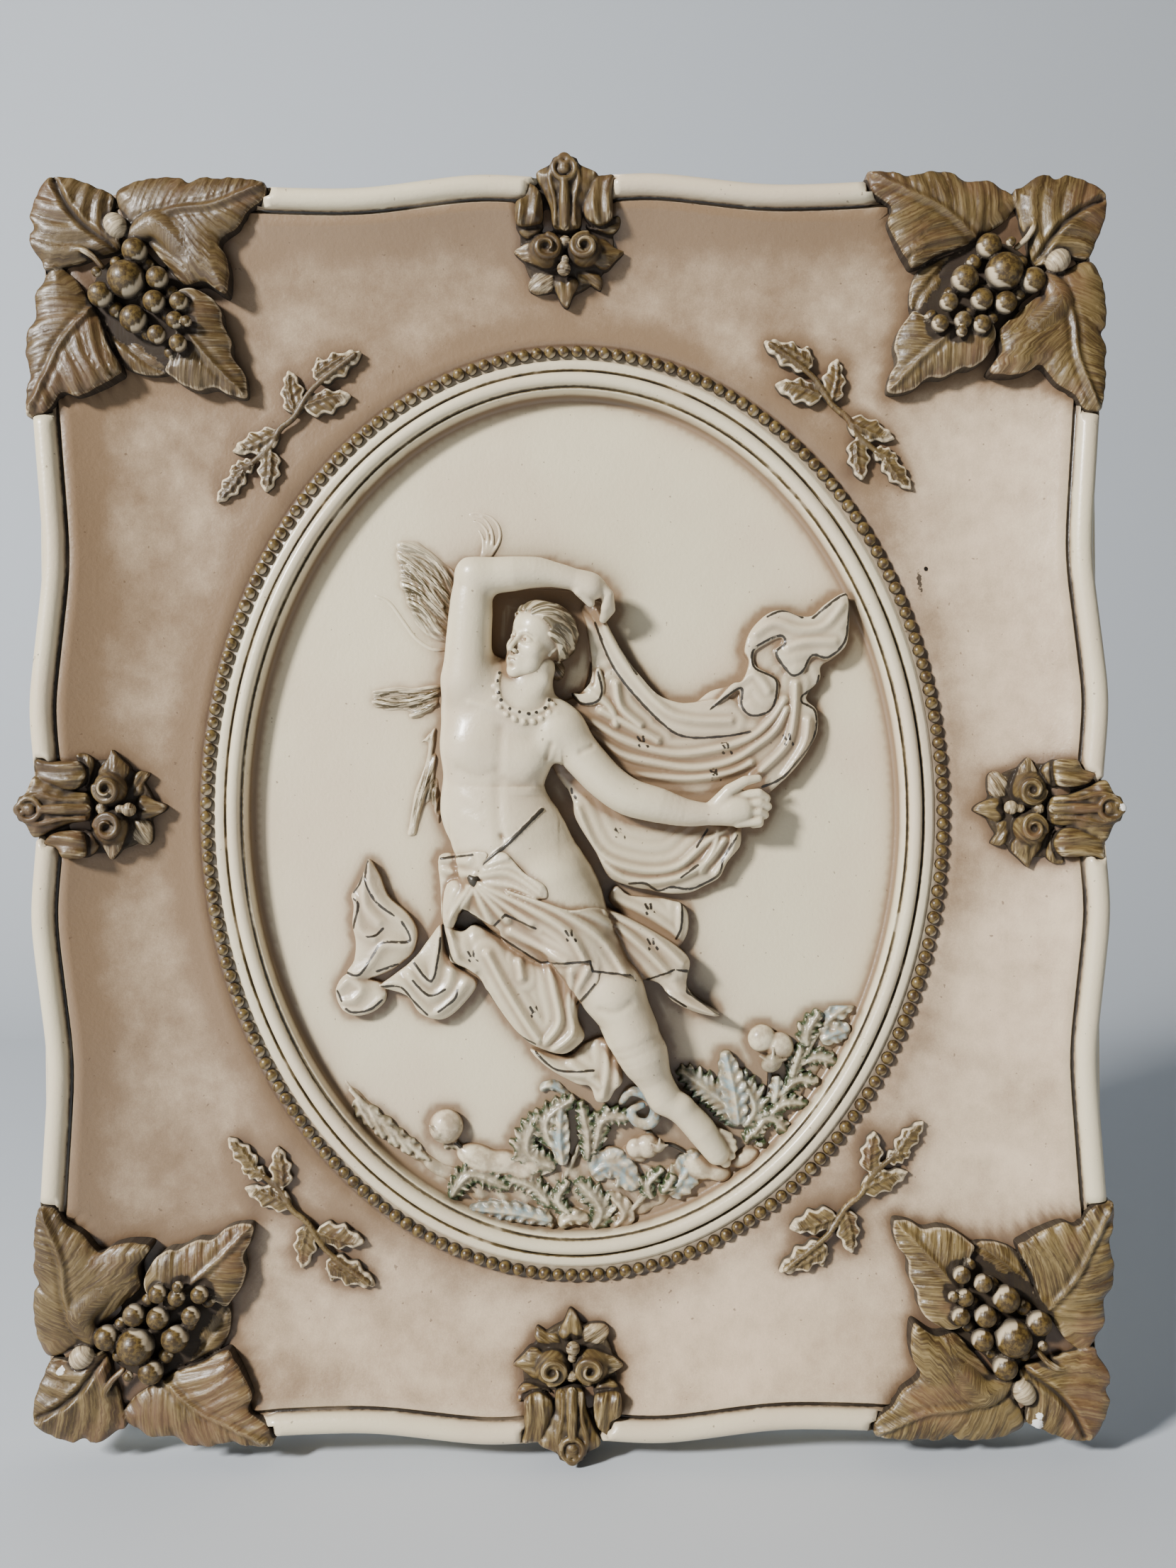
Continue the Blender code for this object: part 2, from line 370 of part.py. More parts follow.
def add_ground(clay):
    """The box, the scalloped rail, the cove, the bead ring, the mouldings and the sunk panel."""
    turns = np.radians(np.arange(0, 360, 1.5))
    rail = np.array([(rail_reach(a) * np.cos(a), rail_reach(a) * np.sin(a)) for a in turns])
    from_oval = rail - OVAL_CENTRE
    ways = np.arctan2(from_oval[:, 1] / OVAL_HALF_HEIGHT, from_oval[:, 0] / OVAL_HALF_WIDTH)
    oval = np.stack([np.cos(ways) * OVAL_HALF_WIDTH, np.sin(ways) * OVAL_HALF_HEIGHT], axis=1) + OVAL_CENTRE
    rings = [(inset(rail, 0.008), 0.004), (inset(rail, 0.008), RAIL_UNDERSIDE), (rail, RAIL_UNDERSIDE + 0.002)]
    rings += half_round(rail, RAIL_WIDTH / 2, RAIL_WIDTH / 2, RAIL_CREST - RAIL_WIDTH / 2, 9)
    edge = inset(rail, RAIL_WIDTH)
    end = inset(oval, -BEAD_WIDTH / 2)
    for share in np.linspace(0, 1, 13):
        rings.append((edge + (end - edge) * share, COVE_DEEP + COVE_RISE * (1 - share) ** 2))
    rings += half_round(oval, 0, BEAD_WIDTH / 2, BAND_LEVEL, 7)
    rings += half_round(oval, INNER_MOULDING, 0.0033, BAND_LEVEL - 0.001, 7)
    rings.append((inset(oval, PANEL_EDGE - 0.0006), BAND_LEVEL - 0.001))
    rings.append((inset(oval, PANEL_EDGE), PANEL_LEVEL + 0.0008))
    rings.append((inset(oval, PANEL_EDGE + 0.0012), PANEL_LEVEL))
    loft(clay, rings)

    straight = (PLAQUE_HALF_WIDTH - BODY_CORNER, PLAQUE_HALF_HEIGHT - BODY_CORNER)
    turns = np.radians(np.arange(3.75, 360, 7.5))
    body = np.array([(np.sign(np.cos(a)) * straight[0] + BODY_CORNER * np.cos(a),
                      np.sign(np.sin(a)) * straight[1] + BODY_CORNER * np.sin(a)) for a in turns])
    loft(clay, [(body, -0.004), (body, PANEL_LEVEL - 0.003)])
    core = inset(body, 0.024)
    loft(clay, [(core, 0.004), (body, 0.004), (body, BODY_DEPTH - 0.003), (inset(body, 0.0009), BODY_DEPTH - 0.0009),
              (inset(body, 0.003), BODY_DEPTH), (core, BODY_DEPTH)], closed=True)


def add_cluster(clay, at, turn):
    def put(points):
        return placed(points, CLUSTER_SIZE, at, turn, about=GRAPES[0][:2])

    for name, level, rise in (("corner", 0.0385, 0.004), ("top", 0.0385, 0.0045), ("left", 0.0385, 0.004),
                              ("low", 0.034, 0.003), ("inner", 0.0385, 0.0035)):
        rib = rounded(put(MIDRIBS[name]), closed=False)
        lift = {"inner": -0.007, "low": -0.002}.get(name, -0.001)
        plate(clay, rounded(put(LEAVES[name])), level, rise, under=0.020, rib=rib, far=rib, lift=lift)
    lobe = rounded(put(LOBE), closed=False)
    limb(clay, lobe, [0.040, 0.0405, 0.037], [0.005, 0.006, 0.0045])
    for (x, z, r) in GRAPES:
        level = 0.040 if r > 7 else 0.0375
        if (x, z) == GRAPES[-1][:2]:
            level = 0.0405
        pillar(clay, put([(x, z)])[0], level - 0.010, level, r / 1000)


def add_ornament(clay, at, turn):
    def put(points):
        return placed(points, ORNAMENT_LENGTH, at, turn)

    levels = {"tongue": (0.0385, 0.0045), "petal_l": (0.0385, 0.004), "petal_r": (0.0385, 0.004),
              "curl_l": (0.036, 0.003), "curl_r": (0.036, 0.003), "wing_l": (0.034, 0.003), "wing_r": (0.034, 0.003),
              "pet_l": (0.030, 0.003), "pet_m": (0.030, 0.0035), "pet_r": (0.030, 0.003)}
    for name, (level, rise) in levels.items():
        far = put([(0, 10), (0, -38)]) if name == "tongue" else None
        plate(clay, rounded(put(ORNAMENT[name])), level + (0.002 if name == "tongue" else 0), rise, soft=0.0025,
                   under=0.020, far=far, lift=-0.005 if name == "tongue" else 0.0)
    rib = put([(0, -9), (0, -34)])
    limb(clay, rib, [0.0455, 0.041], [0.002, 0.0016])
    ball(clay, put([(0, -1)])[0], 0.0445, (0.0046, 0.0046, 0.0030))
    for place in put(VOLUTES):
        ball(clay, place, 0.034, (0.007, 0.007, 0.0065))
    ball(clay, put([(-0.9, -61.6)])[0], 0.033, (0.003, 0.003, 0.003))


def add_spray(clay, at, flip):
    def put(points):
        return placed(points, SPRAY_LENGTH, at, flip=flip)

    limb(clay, rounded(put(SPRAY_STEM), closed=False), [0.0265, 0.0262, 0.027, 0.028, 0.029, 0.031],
              [0.0014, 0.0017, 0.0017, 0.0014])
    for base, tip in SPRAY_LEAVES:
        ends = put([base, tip])
        step = ends[1] - ends[0]
        side = np.array([-step[1], step[0]]) / np.hypot(*step)
        widths = [(0.0, 0.0006), (0.14, 0.0030), (0.30, 0.0030), (0.40, 0.0046), (0.58, 0.0034), (0.68, 0.0040),
                  (0.86, 0.0022), (1.0, 0.0004)]
        right = [ends[0] + step * t + side * w for t, w in widths]
        left = [ends[0] + step * t - side * w for t, w in reversed(widths)]
        plate(clay, rounded(right + left), 0.0265, 0.0022, soft=0.002, under=0.018, rib=ends, cut=-0.0006)


def add_figure(clay):
    def put(points):
        return placed(points, FIGURE_HEIGHT, FIGURE_CENTRE)

    cloths = {"backing": (0.0185, 0.0015), "veil": (0.0215, 0.0035), "tail": (0.0200, 0.0020),
              "lowertail": (0.0220, 0.0025), "underskirt": (0.0265, 0.0050), "overskirt": (0.0300, 0.0045),
              "swirl": (0.0205, 0.0020), "swirlfold": (0.0215, 0.0020), "sash": (0.0350, 0.0020)}
    for name, (level, rise) in cloths.items():
        folds = [rounded(put(fold), closed=False) for fold in FOLDS.get(name, ())]
        plate(clay, rounded(put(FIGURE[name])), level, rise, soft=0.003, folds=folds, fold_rise=0.0016)
    for name, outline in GROUND.items():
        level, rise = (0.0165, 0.0018) if name.startswith("wing") else (0.0175, 0.0025)
        plate(clay, rounded(put(outline)), level, rise, soft=0.003)
    for x, z, radius in BUDS:
        ball(clay, put([(x, z)])[0], 0.019, (radius, radius, radius * 0.8))
    for stem in STEMS:
        limb(clay, rounded(put(stem), closed=False), [0.0165], [0.0016])
    ball(clay, put([(-34.9, -30.3)])[0], 0.018, (0.009, 0.0075, 0.0045))

    torso = rounded(put(FIGURE["torso"]), closed=False)
    limb(clay, torso, [0.0245, 0.0255, 0.0245, 0.0240], [0.0245, 0.0233, 0.0213, 0.0206], squash=0.5)
    hips = rounded(put(FIGURE["hips"]), closed=False)
    limb(clay, hips, [0.0240, 0.0245, 0.0230], [0.0210, 0.0245, 0.0270, 0.0240], squash=0.5)
    limb(clay, put([(-15.8, 20.5), (-12.5, 17.5), (-8.0, 17.0), (-4.0, 14.9)]), [0.030, 0.0275, 0.0270, 0.0275],
              [0.0105, 0.0150, 0.0140, 0.0110], squash=0.75)
    for place in put([(-15.0, 10.6), (-6.6, 8.6)]):
        ball(clay, place, 0.0312, (0.0105, 0.0105, 0.0075))
    limb(clay, rounded(put(FIGURE["thigh"]), closed=False), [0.0275, 0.0290, 0.0285], [0.0190, 0.0165, 0.0124],
              squash=0.75)
    limb(clay, rounded(put(FIGURE["calf"]), closed=False), [0.0280, 0.0270, 0.0255], [0.0124, 0.0115, 0.0100])
    limb(clay, rounded(put(FIGURE["ankle"]), closed=False), [0.0255, 0.0240, 0.0235, 0.0225, 0.0215, 0.0205],
              [0.0095, 0.0079, 0.0068, 0.0064, 0.0063, 0.0047])
    ball(clay, put([(16.6, -48.7)])[0], 0.0225, (0.0062, 0.0062, 0.0062))
    limb(clay, rounded(put(FIGURE["upper_arm"]), closed=False), [0.0300, 0.0310, 0.0320, 0.0330],
              [0.0104, 0.0099, 0.0096, 0.0092, 0.0086, 0.0072])
    limb(clay, rounded(put(FIGURE["forearm"]), closed=False), [0.0330, 0.0340, 0.0340, 0.0330],
              [0.0070, 0.0074, 0.0074, 0.0062, 0.0050, 0.0048])
    limb(clay, rounded(put(FIGURE["hand"]), closed=False), [0.0330, 0.0320, 0.0310], [0.0048, 0.0043, 0.0024])
    limb(clay, rounded(put(FIGURE["arm"]), closed=False), [0.0270, 0.0280, 0.0290, 0.0280, 0.0275],
              [0.0098, 0.0091, 0.0086, 0.0081, 0.0078, 0.0072, 0.0056, 0.0048, 0.0052])
    limb(clay, put([(23.2, 0.7), (25.8, 2.7), (28.3, 4.2)]), [0.0275, 0.0285], [0.0030, 0.0024, 0.0020])
    for i in range(4):
        root = (27.4, 2.4 - i)
        tip = ((31.6, 31.7, 31.3, 30.4)[i], 2.6 - 1.4 * i)
        limb(clay, put([root, tip]), [0.0275, 0.0265], [0.0024, 0.0020])
    limb(clay, put([(-7.0, 16.9), (-6.2, 20.0), (-5.2, 23.0)]), [0.0265, 0.0275, 0.0290], [0.0100, 0.0088, 0.0088])
    skull = put([(-3.9, 28.6)])[0]
    ball(clay, skull, 0.0300, (0.0132, 0.0125, 0.0120))
    ball(clay, put([(-6.4, 26.4)])[0], 0.0300, (0.0092, 0.0150, 0.0110), lean=0.10)
    ball(clay, put([(-1.2, 24.5)])[0], 0.0270, (0.0062, 0.0058, 0.0060))
    ball(clay, put([(-9.2, 26.9)])[0], 0.0345, (0.0020, 0.0036, 0.0030), lean=0.25)
    ball(clay, put([(-8.5, 22.4)])[0], 0.0325, (0.0032, 0.0030, 0.0030))
    limb(clay, rounded(put([(-4.5, 0.6), (-7.5, -2.4), (-10.1, -4.9), (-13.3, -7.6), (-15.5, -10.6)]), closed=False),
              [0.0325, 0.0360, 0.0365, 0.0355, 0.0340], [0.0013])
    ball(clay, put([(-15.5, -10.6)])[0], 0.0345, (0.0030, 0.0030, 0.0030))


def solid_material():
    made = bpy.data.materials.new("plaster")
    made.use_nodes = True
    shader = made.node_tree.nodes["Principled BSDF"]
    shader.inputs["Base Color"].default_value = (0.60, 0.53, 0.44, 1)
    shader.inputs["Roughness"].default_value = 0.7
    return made


def block(name, size, middle):
    """A closed cuboid that cuts the back and the nail pocket."""
    half = np.array(size) / 2
    points = [tuple(np.array(middle) + half * (i, j, k)) for i in (-1, 1) for j in (-1, 1) for k in (-1, 1)]
    faces = [(0, 1, 3, 2), (4, 6, 7, 5), (0, 4, 5, 1), (2, 3, 7, 6), (0, 2, 6, 4), (1, 5, 7, 3)]
    mesh = bpy.data.meshes.new(name)
    mesh.from_pydata(points, [], faces)
    made = bpy.data.objects.new(name, mesh)
    bpy.context.scene.collection.objects.link(made)
    made.hide_render = True
    made.display_type = "WIRE"
    return made


def build():
    clear_scene()
    clay = []
    add_ground(clay)
    for turn, at in ((0, (-1, 1)), (1, (-1, -1)), (2, (1, -1)), (3, (1, 1))):
        add_cluster(clay, np.array(CLUSTER_AT) * at, turn)
    for turn, at in ((0, (0, 0.2704)), (1, (-0.2281, 0.0018)), (2, (-0.0013, -0.2704)), (3, (0.2281, -0.0017))):
        add_ornament(clay, np.array(at), turn)
    for at, flip in (((-0.117, 0.157), (1, 1)), ((0.114, 0.160), (-1, 1)), ((-0.1146, -0.1645), (1, -1)),
                     ((0.117, -0.160), (-1, -1))):
        add_spray(clay, np.array(at), flip)
    add_figure(clay)
    bm = bmesh.new()
    for shape in clay:
        bm.from_mesh(shape)
    mesh = bpy.data.meshes.new("plaque")
    bm.to_mesh(mesh)
    bm.free()
    plaque = bpy.data.objects.new("plaque", mesh)
    bpy.context.scene.collection.objects.link(plaque)
    mesh.materials.append(solid_material())

    skin = plaque.modifiers.new("one skin", "REMESH")
    skin.mode = "VOXEL"
    skin.voxel_size = GRAIN
    ease = plaque.modifiers.new("soft edges", "SMOOTH")
    ease.factor = 0.5
    ease.iterations = 2
    fewer = plaque.modifiers.new("fewer faces", "DECIMATE")
    fewer.use_collapse_triangulate = True
    bpy.context.view_layer.update()
    whole = plaque.evaluated_get(bpy.context.evaluated_depsgraph_get()).data
    whole.calc_loop_triangles()
    fewer.ratio = TRIANGLES / len(whole.loop_triangles)

    back = block("cutter_back", (0.8, 0.04, 0.9), (0, 0.02, -HANGER_UP))
    pocket = block("cutter_pocket", (NAIL_POCKET[0], 2 * NAIL_POCKET[2], NAIL_POCKET[1]), (0, 0, -0.014))
    for cutter in (back, pocket):
        cut = plaque.modifiers.new(cutter.name, "BOOLEAN")
        cut.operation = "DIFFERENCE"
        cut.solver = "EXACT"
        cut.object = cutter


build()
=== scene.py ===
# The look of a painted chalkware wall plaque: an oval panel with a draped classical figure in relief, in a
# scalloped frame with grape clusters. Every piece here is modelled from the plaque's own sizes, in metres.
import math

import bpy
import numpy as np
from mathutils import Matrix


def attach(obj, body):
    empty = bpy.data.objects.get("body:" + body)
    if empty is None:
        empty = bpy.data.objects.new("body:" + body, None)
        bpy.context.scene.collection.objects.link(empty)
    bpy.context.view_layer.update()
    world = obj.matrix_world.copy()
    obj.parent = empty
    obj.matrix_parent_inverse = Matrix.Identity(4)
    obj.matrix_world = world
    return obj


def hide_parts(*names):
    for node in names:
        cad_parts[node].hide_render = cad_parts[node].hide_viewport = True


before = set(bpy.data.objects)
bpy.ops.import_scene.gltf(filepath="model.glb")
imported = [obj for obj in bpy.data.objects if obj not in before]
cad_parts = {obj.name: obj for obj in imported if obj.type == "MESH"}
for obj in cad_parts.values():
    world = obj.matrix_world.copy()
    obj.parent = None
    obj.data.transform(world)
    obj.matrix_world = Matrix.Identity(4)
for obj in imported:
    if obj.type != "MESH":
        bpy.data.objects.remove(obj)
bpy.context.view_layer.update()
hangerUp = 0.244        # the origin is the nail's bearing point, this far above the plaque's middle


# shapes in the plane of the plaque: places are (x, z) from its middle, levels are metres above the wall

def lineGap(px, pz, line):
    best = np.full(px.shape, 1e9)
    for (ax, az), (bx, bz) in zip(line[:-1], line[1:]):
        ex, ez = bx - ax, bz - az
        along = np.clip(((px - ax) * ex + (pz - az) * ez) / (ex * ex + ez * ez + 1e-18), 0, 1)
        best = np.minimum(best, (px - ax - along * ex) ** 2 + (pz - az - along * ez) ** 2)
    return np.sqrt(best)


def lineFrame(px, pz, line):
    # distance from a line, how far along it, and the side it is on
    best = np.full(px.shape, 1e9)
    run = np.zeros(px.shape)
    side = np.ones(px.shape)
    done = 0.0
    for (ax, az), (bx, bz) in zip(line[:-1], line[1:]):
        ex, ez = bx - ax, bz - az
        length = math.hypot(ex, ez)
        raw = ((px - ax) * ex + (pz - az) * ez) / (length * length + 1e-18)
        along = np.clip(raw, 0, 1)
        gap = (px - ax - along * ex) ** 2 + (pz - az - along * ez) ** 2
        nearer = gap < best
        best = np.where(nearer, gap, best)
        run = np.where(nearer, done + along * length, run)
        side = np.where(nearer, np.sign(ex * (pz - az) - ez * (px - ax)), side)
        done += length
    return np.sqrt(best), run, side


def outlineGap(px, pz, outline):
    inside = np.zeros(px.shape, bool)
    for (ax, az), (bx, bz) in zip(outline, np.roll(outline, -1, axis=0)):
        rise = bz - az if bz != az else 1e-12
        inside ^= ((az > pz) != (bz > pz)) & (px < (bx - ax) * (pz - az) / rise + ax)
    return np.where(inside, -1, 1) * lineGap(px, pz, np.vstack([outline, outline[:1]]))


def smooth(points, closed=True, steps=5):
    p = np.asarray(points, float)
    count = len(p)
    made = []
    for i in range(count if closed else count - 1):
        a, b, c, d = (p[j % count] if closed else p[min(max(j, 0), count - 1)] for j in (i - 1, i, i + 1, i + 2))
        for t in np.arange(steps) / steps:
            made.append(0.5 * (2 * b + (c - a) * t + (2 * a - 5 * b + 4 * c - d) * t * t
                               + (3 * b - a - 3 * c + d) * t ** 3))
    if not closed:
        made.append(p[-1])
    return np.array(made)


def place(points, size, at=(0, 0), about=(0, 0), flip=(1, 1)):
    # hundredths of a motif's size to places on the plaque
    return (np.asarray(points, float)[:, :2] - about) * flip * size / 100 + at


def clip01(values):
    return np.clip(values, 0, 1)


def ease(low, high, values):
    t = clip01((values - low) / (high - low))
    return t * t * (3 - 2 * t)


def blurred(grid, sigma):
    a = np.fft.fftfreq(grid.shape[0])[:, None]
    b = np.fft.rfftfreq(grid.shape[1])[None, :]
    return np.fft.irfft2(np.fft.rfft2(grid) * np.exp(-2 * (np.pi * sigma) ** 2 * (a * a + b * b)), s=grid.shape)


class Clay:
    # a block of cells that shapes are added to; each cell holds its distance from the plaster, negative inside
    def __init__(self, low, high, cell):
        self.low = np.array(low, float)
        self.cell = cell
        self.shape = tuple(np.ceil((np.array(high) - self.low) / cell).astype(int) + 1)
        self.gap = np.full(self.shape, 0.02)
        self.owner = np.zeros(self.shape, np.int16)
        self.shapes = []

    def window(self, low, high):
        first = np.maximum(((np.array(low) - self.low) / self.cell).astype(int), 0)
        last = np.minimum(np.ceil((np.array(high) - self.low) / self.cell).astype(int) + 1, self.shape)
        if (last - first < 1).any():
            return None, None
        axes = [self.low[i] + self.cell * np.arange(first[i], last[i]) for i in range(3)]
        return tuple(slice(a, b) for a, b in zip(first, last)), np.meshgrid(*axes, indexing="ij")

    def add(self, cells, gap, blend, shape):
        self.shapes.append(shape)
        old = self.gap[cells]
        owner = self.owner[cells]
        owner[gap < old] = len(self.shapes)
        mix = clip01(0.5 + 0.5 * (old - gap) / blend)
        self.gap[cells] = old * (1 - mix) + gap * mix - blend * mix * (1 - mix)

    def carve(self, cells, gap, blend):
        old = self.gap[cells]
        cut = -gap
        mix = clip01(0.5 - 0.5 * (old - cut) / blend)
        self.gap[cells] = old * (1 - mix) + cut * mix + blend * mix * (1 - mix)

    def plate(self, outline, level, rise, under, soft=0.004, edge=0.0012, blend=0.0005, relief=None,
              over=None, kind="leaf", **more):
        reach = 0.005
        low = np.append(outline.min(axis=0) - reach, under)
        high = np.append(outline.max(axis=0) + reach, 0.047 if over else level + max(rise, 0) + 0.008)
        cells, grid = self.window(low, high)
        if cells is None:
            return
        x, z, h = grid
        px, pz = x[:, :, 0], z[:, :, 0]
        side = outlineGap(px, pz, outline)
        top = level + rise * (1 - np.exp(np.minimum(side, 0) / soft))
        if over is not None:
            lies = over(px, pz)
            top = 0.5 * (top + lies + np.sqrt((top - lies) ** 2 + 0.0015 ** 2))
        if relief is not None:
            top = top + relief(px, pz, side)
        lid = h - top[:, :, None]
        wall = side[:, :, None] + edge / 2
        mix = clip01(0.5 + 0.5 * (wall - lid) / edge)
        gap = lid * (1 - mix) + wall * mix + edge * mix * (1 - mix)
        self.add(cells, np.maximum(gap, under - h), blend, dict(kind=kind, outline=outline, **more))

    def ball(self, at, level, radii, blend=0.0006, lean=0.0, kind="skin", cut=False, **more):
        radii = np.array(radii, float)
        middle = np.append(at, level)
        cells, grid = self.window(middle - radii.max() - 0.004, middle + radii.max() + 0.004)
        if cells is None:
            return
        x, z, h = grid
        u = (x - at[0]) * math.cos(lean) + (z - at[1]) * math.sin(lean)
        v = (z - at[1]) * math.cos(lean) - (x - at[0]) * math.sin(lean)
        size = np.sqrt((u / radii[0]) ** 2 + (v / radii[1]) ** 2 + ((h - level) / radii[2]) ** 2)
        gap = (size - 1) * radii.min()
        if cut:
            self.carve(cells, gap, blend)
        else:
            self.add(cells, gap, blend, dict(kind=kind, at=at, radii=radii, **more))

    def limb(self, line, levels, radii, blend=0.003, squash=1.0, kind="skin", cut=False, **more):
        line = np.asarray(line, float)
        levels = np.interp(np.linspace(0, 1, len(line)), np.linspace(0, 1, len(levels)), levels)
        radii = np.interp(np.linspace(0, 1, len(line)), np.linspace(0, 1, len(radii)), radii)
        reach = radii.max() + 0.005
        places = np.column_stack([line, levels])
        cells, grid = self.window(places.min(axis=0) - reach, places.max(axis=0) + reach)
        if cells is None:
            return
        x, z, h = grid
        best = np.full(x.shape, 1.0)
        for a, b, ra, rb in zip(places[:-1], places[1:], radii[:-1], radii[1:]):
            e = b - a
            along = clip01(((x - a[0]) * e[0] + (z - a[1]) * e[1] + (h - a[2]) * e[2]) / (e @ e + 1e-18))
            off = (x - a[0] - along * e[0]) ** 2 + (z - a[1] - along * e[1]) ** 2
            off += ((h - a[2] - along * e[2]) / squash) ** 2
            best = np.minimum(best, np.sqrt(off) - ra - (rb - ra) * along)
        if cut:
            self.carve(cells, best, blend)
        else:
            self.add(cells, best, blend, dict(kind=kind, line=line, **more))

    def skin(self, floor):
        # one point in each cell that the surface crosses, four-sided faces between them, and each point's shape
        grid = self.low[2] + self.cell * np.arange(self.shape[2])
        gap = np.maximum(self.gap, floor - grid[None, None, :])
        gap[0], gap[-1], gap[:, 0], gap[:, -1], gap[:, :, -1] = (0.001,) * 5
        inside = gap < 0
        corners = [(i, j, k) for i in (0, 1) for j in (0, 1) for k in (0, 1)]
        spots = [tuple(slice(o, n - 1 + o) for o, n in zip(c, gap.shape)) for c in corners]
        counts = sum(inside[s].astype(np.int8) for s in spots)
        crossed = (counts > 0) & (counts < 8)
        number = np.full(crossed.shape, -1)
        number[crossed] = np.arange(crossed.sum())
        total = np.zeros((crossed.sum(), 3))
        hits = np.zeros(crossed.sum())
        values = {c: gap[s][crossed] for c, s in zip(corners, spots)}
        for c in corners:
            for axis in range(3):
                if c[axis]:
                    continue
                a, b = values[c], values[tuple(1 if i == axis else c[i] for i in range(3))]
                meets = (a < 0) != (b < 0)
                spot = np.tile(np.array(c, float), (len(a), 1))
                spot[meets, axis] += (a / np.where(a == b, 1, a - b))[meets]
                total[meets] += spot[meets]
                hits += meets
        at = np.argwhere(crossed)
        points = self.low + self.cell * (at + total / hits[:, None])
        faces = []
        for axis in range(3):
            ahead, behind = [slice(None)] * 3, [slice(None)] * 3
            ahead[axis], behind[axis] = slice(1, None), slice(None, -1)
            a, b = inside[tuple(behind)], inside[tuple(ahead)]
            u, v = [i for i in range(3) if i != axis]
            for keep, turned in ((a & ~b, False), (b & ~a, True)):
                cells = np.argwhere(keep)
                cells = cells[(cells[:, u] > 0) & (cells[:, v] > 0)]
                ring = []
                for du, dv in ((1, 1), (0, 1), (0, 0), (1, 0)):
                    cell = cells.copy()
                    cell[:, u] -= du
                    cell[:, v] -= dv
                    ring.append(number[tuple(cell.T)])
                ring = np.stack(ring, axis=1)
                faces.append(ring[:, ::-1] if turned == (axis == 1) else ring)
        near = np.clip(np.round((points - self.low) / self.cell).astype(int), 0, np.array(self.shape) - 1)
        owner = self.owner[tuple(near.T)]
        return points, np.concatenate(faces), owner


# a piece is kept as a dictionary until its paint is worked out: points, faces and attributes

pieces = {}


def keepPiece(name, points, faces, material, keep=1.0, **attributes):
    pieces[name] = dict(points=points, faces=faces, material=material, keep=keep, attributes=attributes)
    print("shaped", name, len(points), "points")


# the ground: a box with a scalloped rail, the cove, the seat of the beads, the mouldings and the sunk panel
ground = {
    "halfWidth": 0.2315, "halfHeight": 0.270, "corner": 0.026, "depth": 0.022,
    "railUnderside": 0.028, "railWidth": 0.0093, "railCrest": 0.042,
    "coveDeep": 0.0235, "coveRise": 0.014, "panelLevel": 0.015,
    "ovalHalf": (0.1604, 0.2011), "ovalCentre": (0.0017, -0.0022),
    "pocket": (0.024, 0.016, 0.012), "pocketDrop": 0.014,
    "spokes": 720, "coveRings": 18, "panelPitch": 0.0023,
    "uprightScallop": [(0, 0.2262), (0.045, 0.2303), (0.112, 0.2228), (0.170, 0.2268), (0.230, 0.2310),
                       (0.300, 0.2310)],
    "levelScallop": [(0, 0.2680), (0.036, 0.2710), (0.089, 0.2645), (0.127, 0.2655), (0.190, 0.2700),
                     (0.250, 0.2700)],
}


def railReach(angles):
    across = np.maximum(np.abs(np.cos(angles)), 1e-9)
    up = np.maximum(np.abs(np.sin(angles)), 1e-9)
    flat = np.minimum(ground["halfWidth"] / across, ground["halfHeight"] / up)
    x = np.interp(flat * up, *zip(*ground["uprightScallop"]))
    z = np.interp(flat * across, *zip(*ground["levelScallop"]))
    reach = ((across / x) ** 16 + (up / z) ** 16) ** (-1 / 16)
    weights = np.exp(-0.5 * (np.arange(-10, 11) / 4.0) ** 2)
    wide = np.concatenate([reach[-10:], reach, reach[:10]])
    return np.convolve(wide, weights / weights.sum(), "valid")


def inset(ring, gap):
    way = np.roll(ring, -1, axis=0) - np.roll(ring, 1, axis=0)
    way = way / np.hypot(way[:, 0], way[:, 1])[:, None]
    return ring + np.stack([-way[:, 1], way[:, 0]], axis=1) * gap


def boxRing(angles):
    # a rounded oblong met by rays from its middle
    w, h, r = ground["halfWidth"], ground["halfHeight"], ground["corner"]
    c, s = np.abs(np.cos(angles)), np.abs(np.sin(angles))
    side = w / np.maximum(c, 1e-9)
    top = h / np.maximum(s, 1e-9)
    along = c * (w - r) + s * (h - r)
    round_ = along + np.sqrt(np.maximum(along ** 2 - (w - r) ** 2 - (h - r) ** 2 + r * r, 0))
    reach = np.where(side * s <= h - r, side, np.where(top * c <= w - r, top, round_))
    return np.stack([reach * np.cos(angles), reach * np.sin(angles)], axis=1)


def halfRound(line, middle, half, level, count):
    return [(inset(line, middle - half * math.cos(a)), level + half * math.sin(a))
            for a in np.radians(np.linspace(0, 180, count))]


spokes = np.radians(np.arange(ground["spokes"]) * 360 / ground["spokes"])
railLine = np.stack([railReach(spokes) * np.cos(spokes), railReach(spokes) * np.sin(spokes)], axis=1)
fromOval = railLine - ground["ovalCentre"]
ovalTurn = np.arctan2(fromOval[:, 1] / ground["ovalHalf"][1], fromOval[:, 0] / ground["ovalHalf"][0])
ovalLine = np.stack([np.cos(ovalTurn), np.sin(ovalTurn)], axis=1) * ground["ovalHalf"] + ground["ovalCentre"]


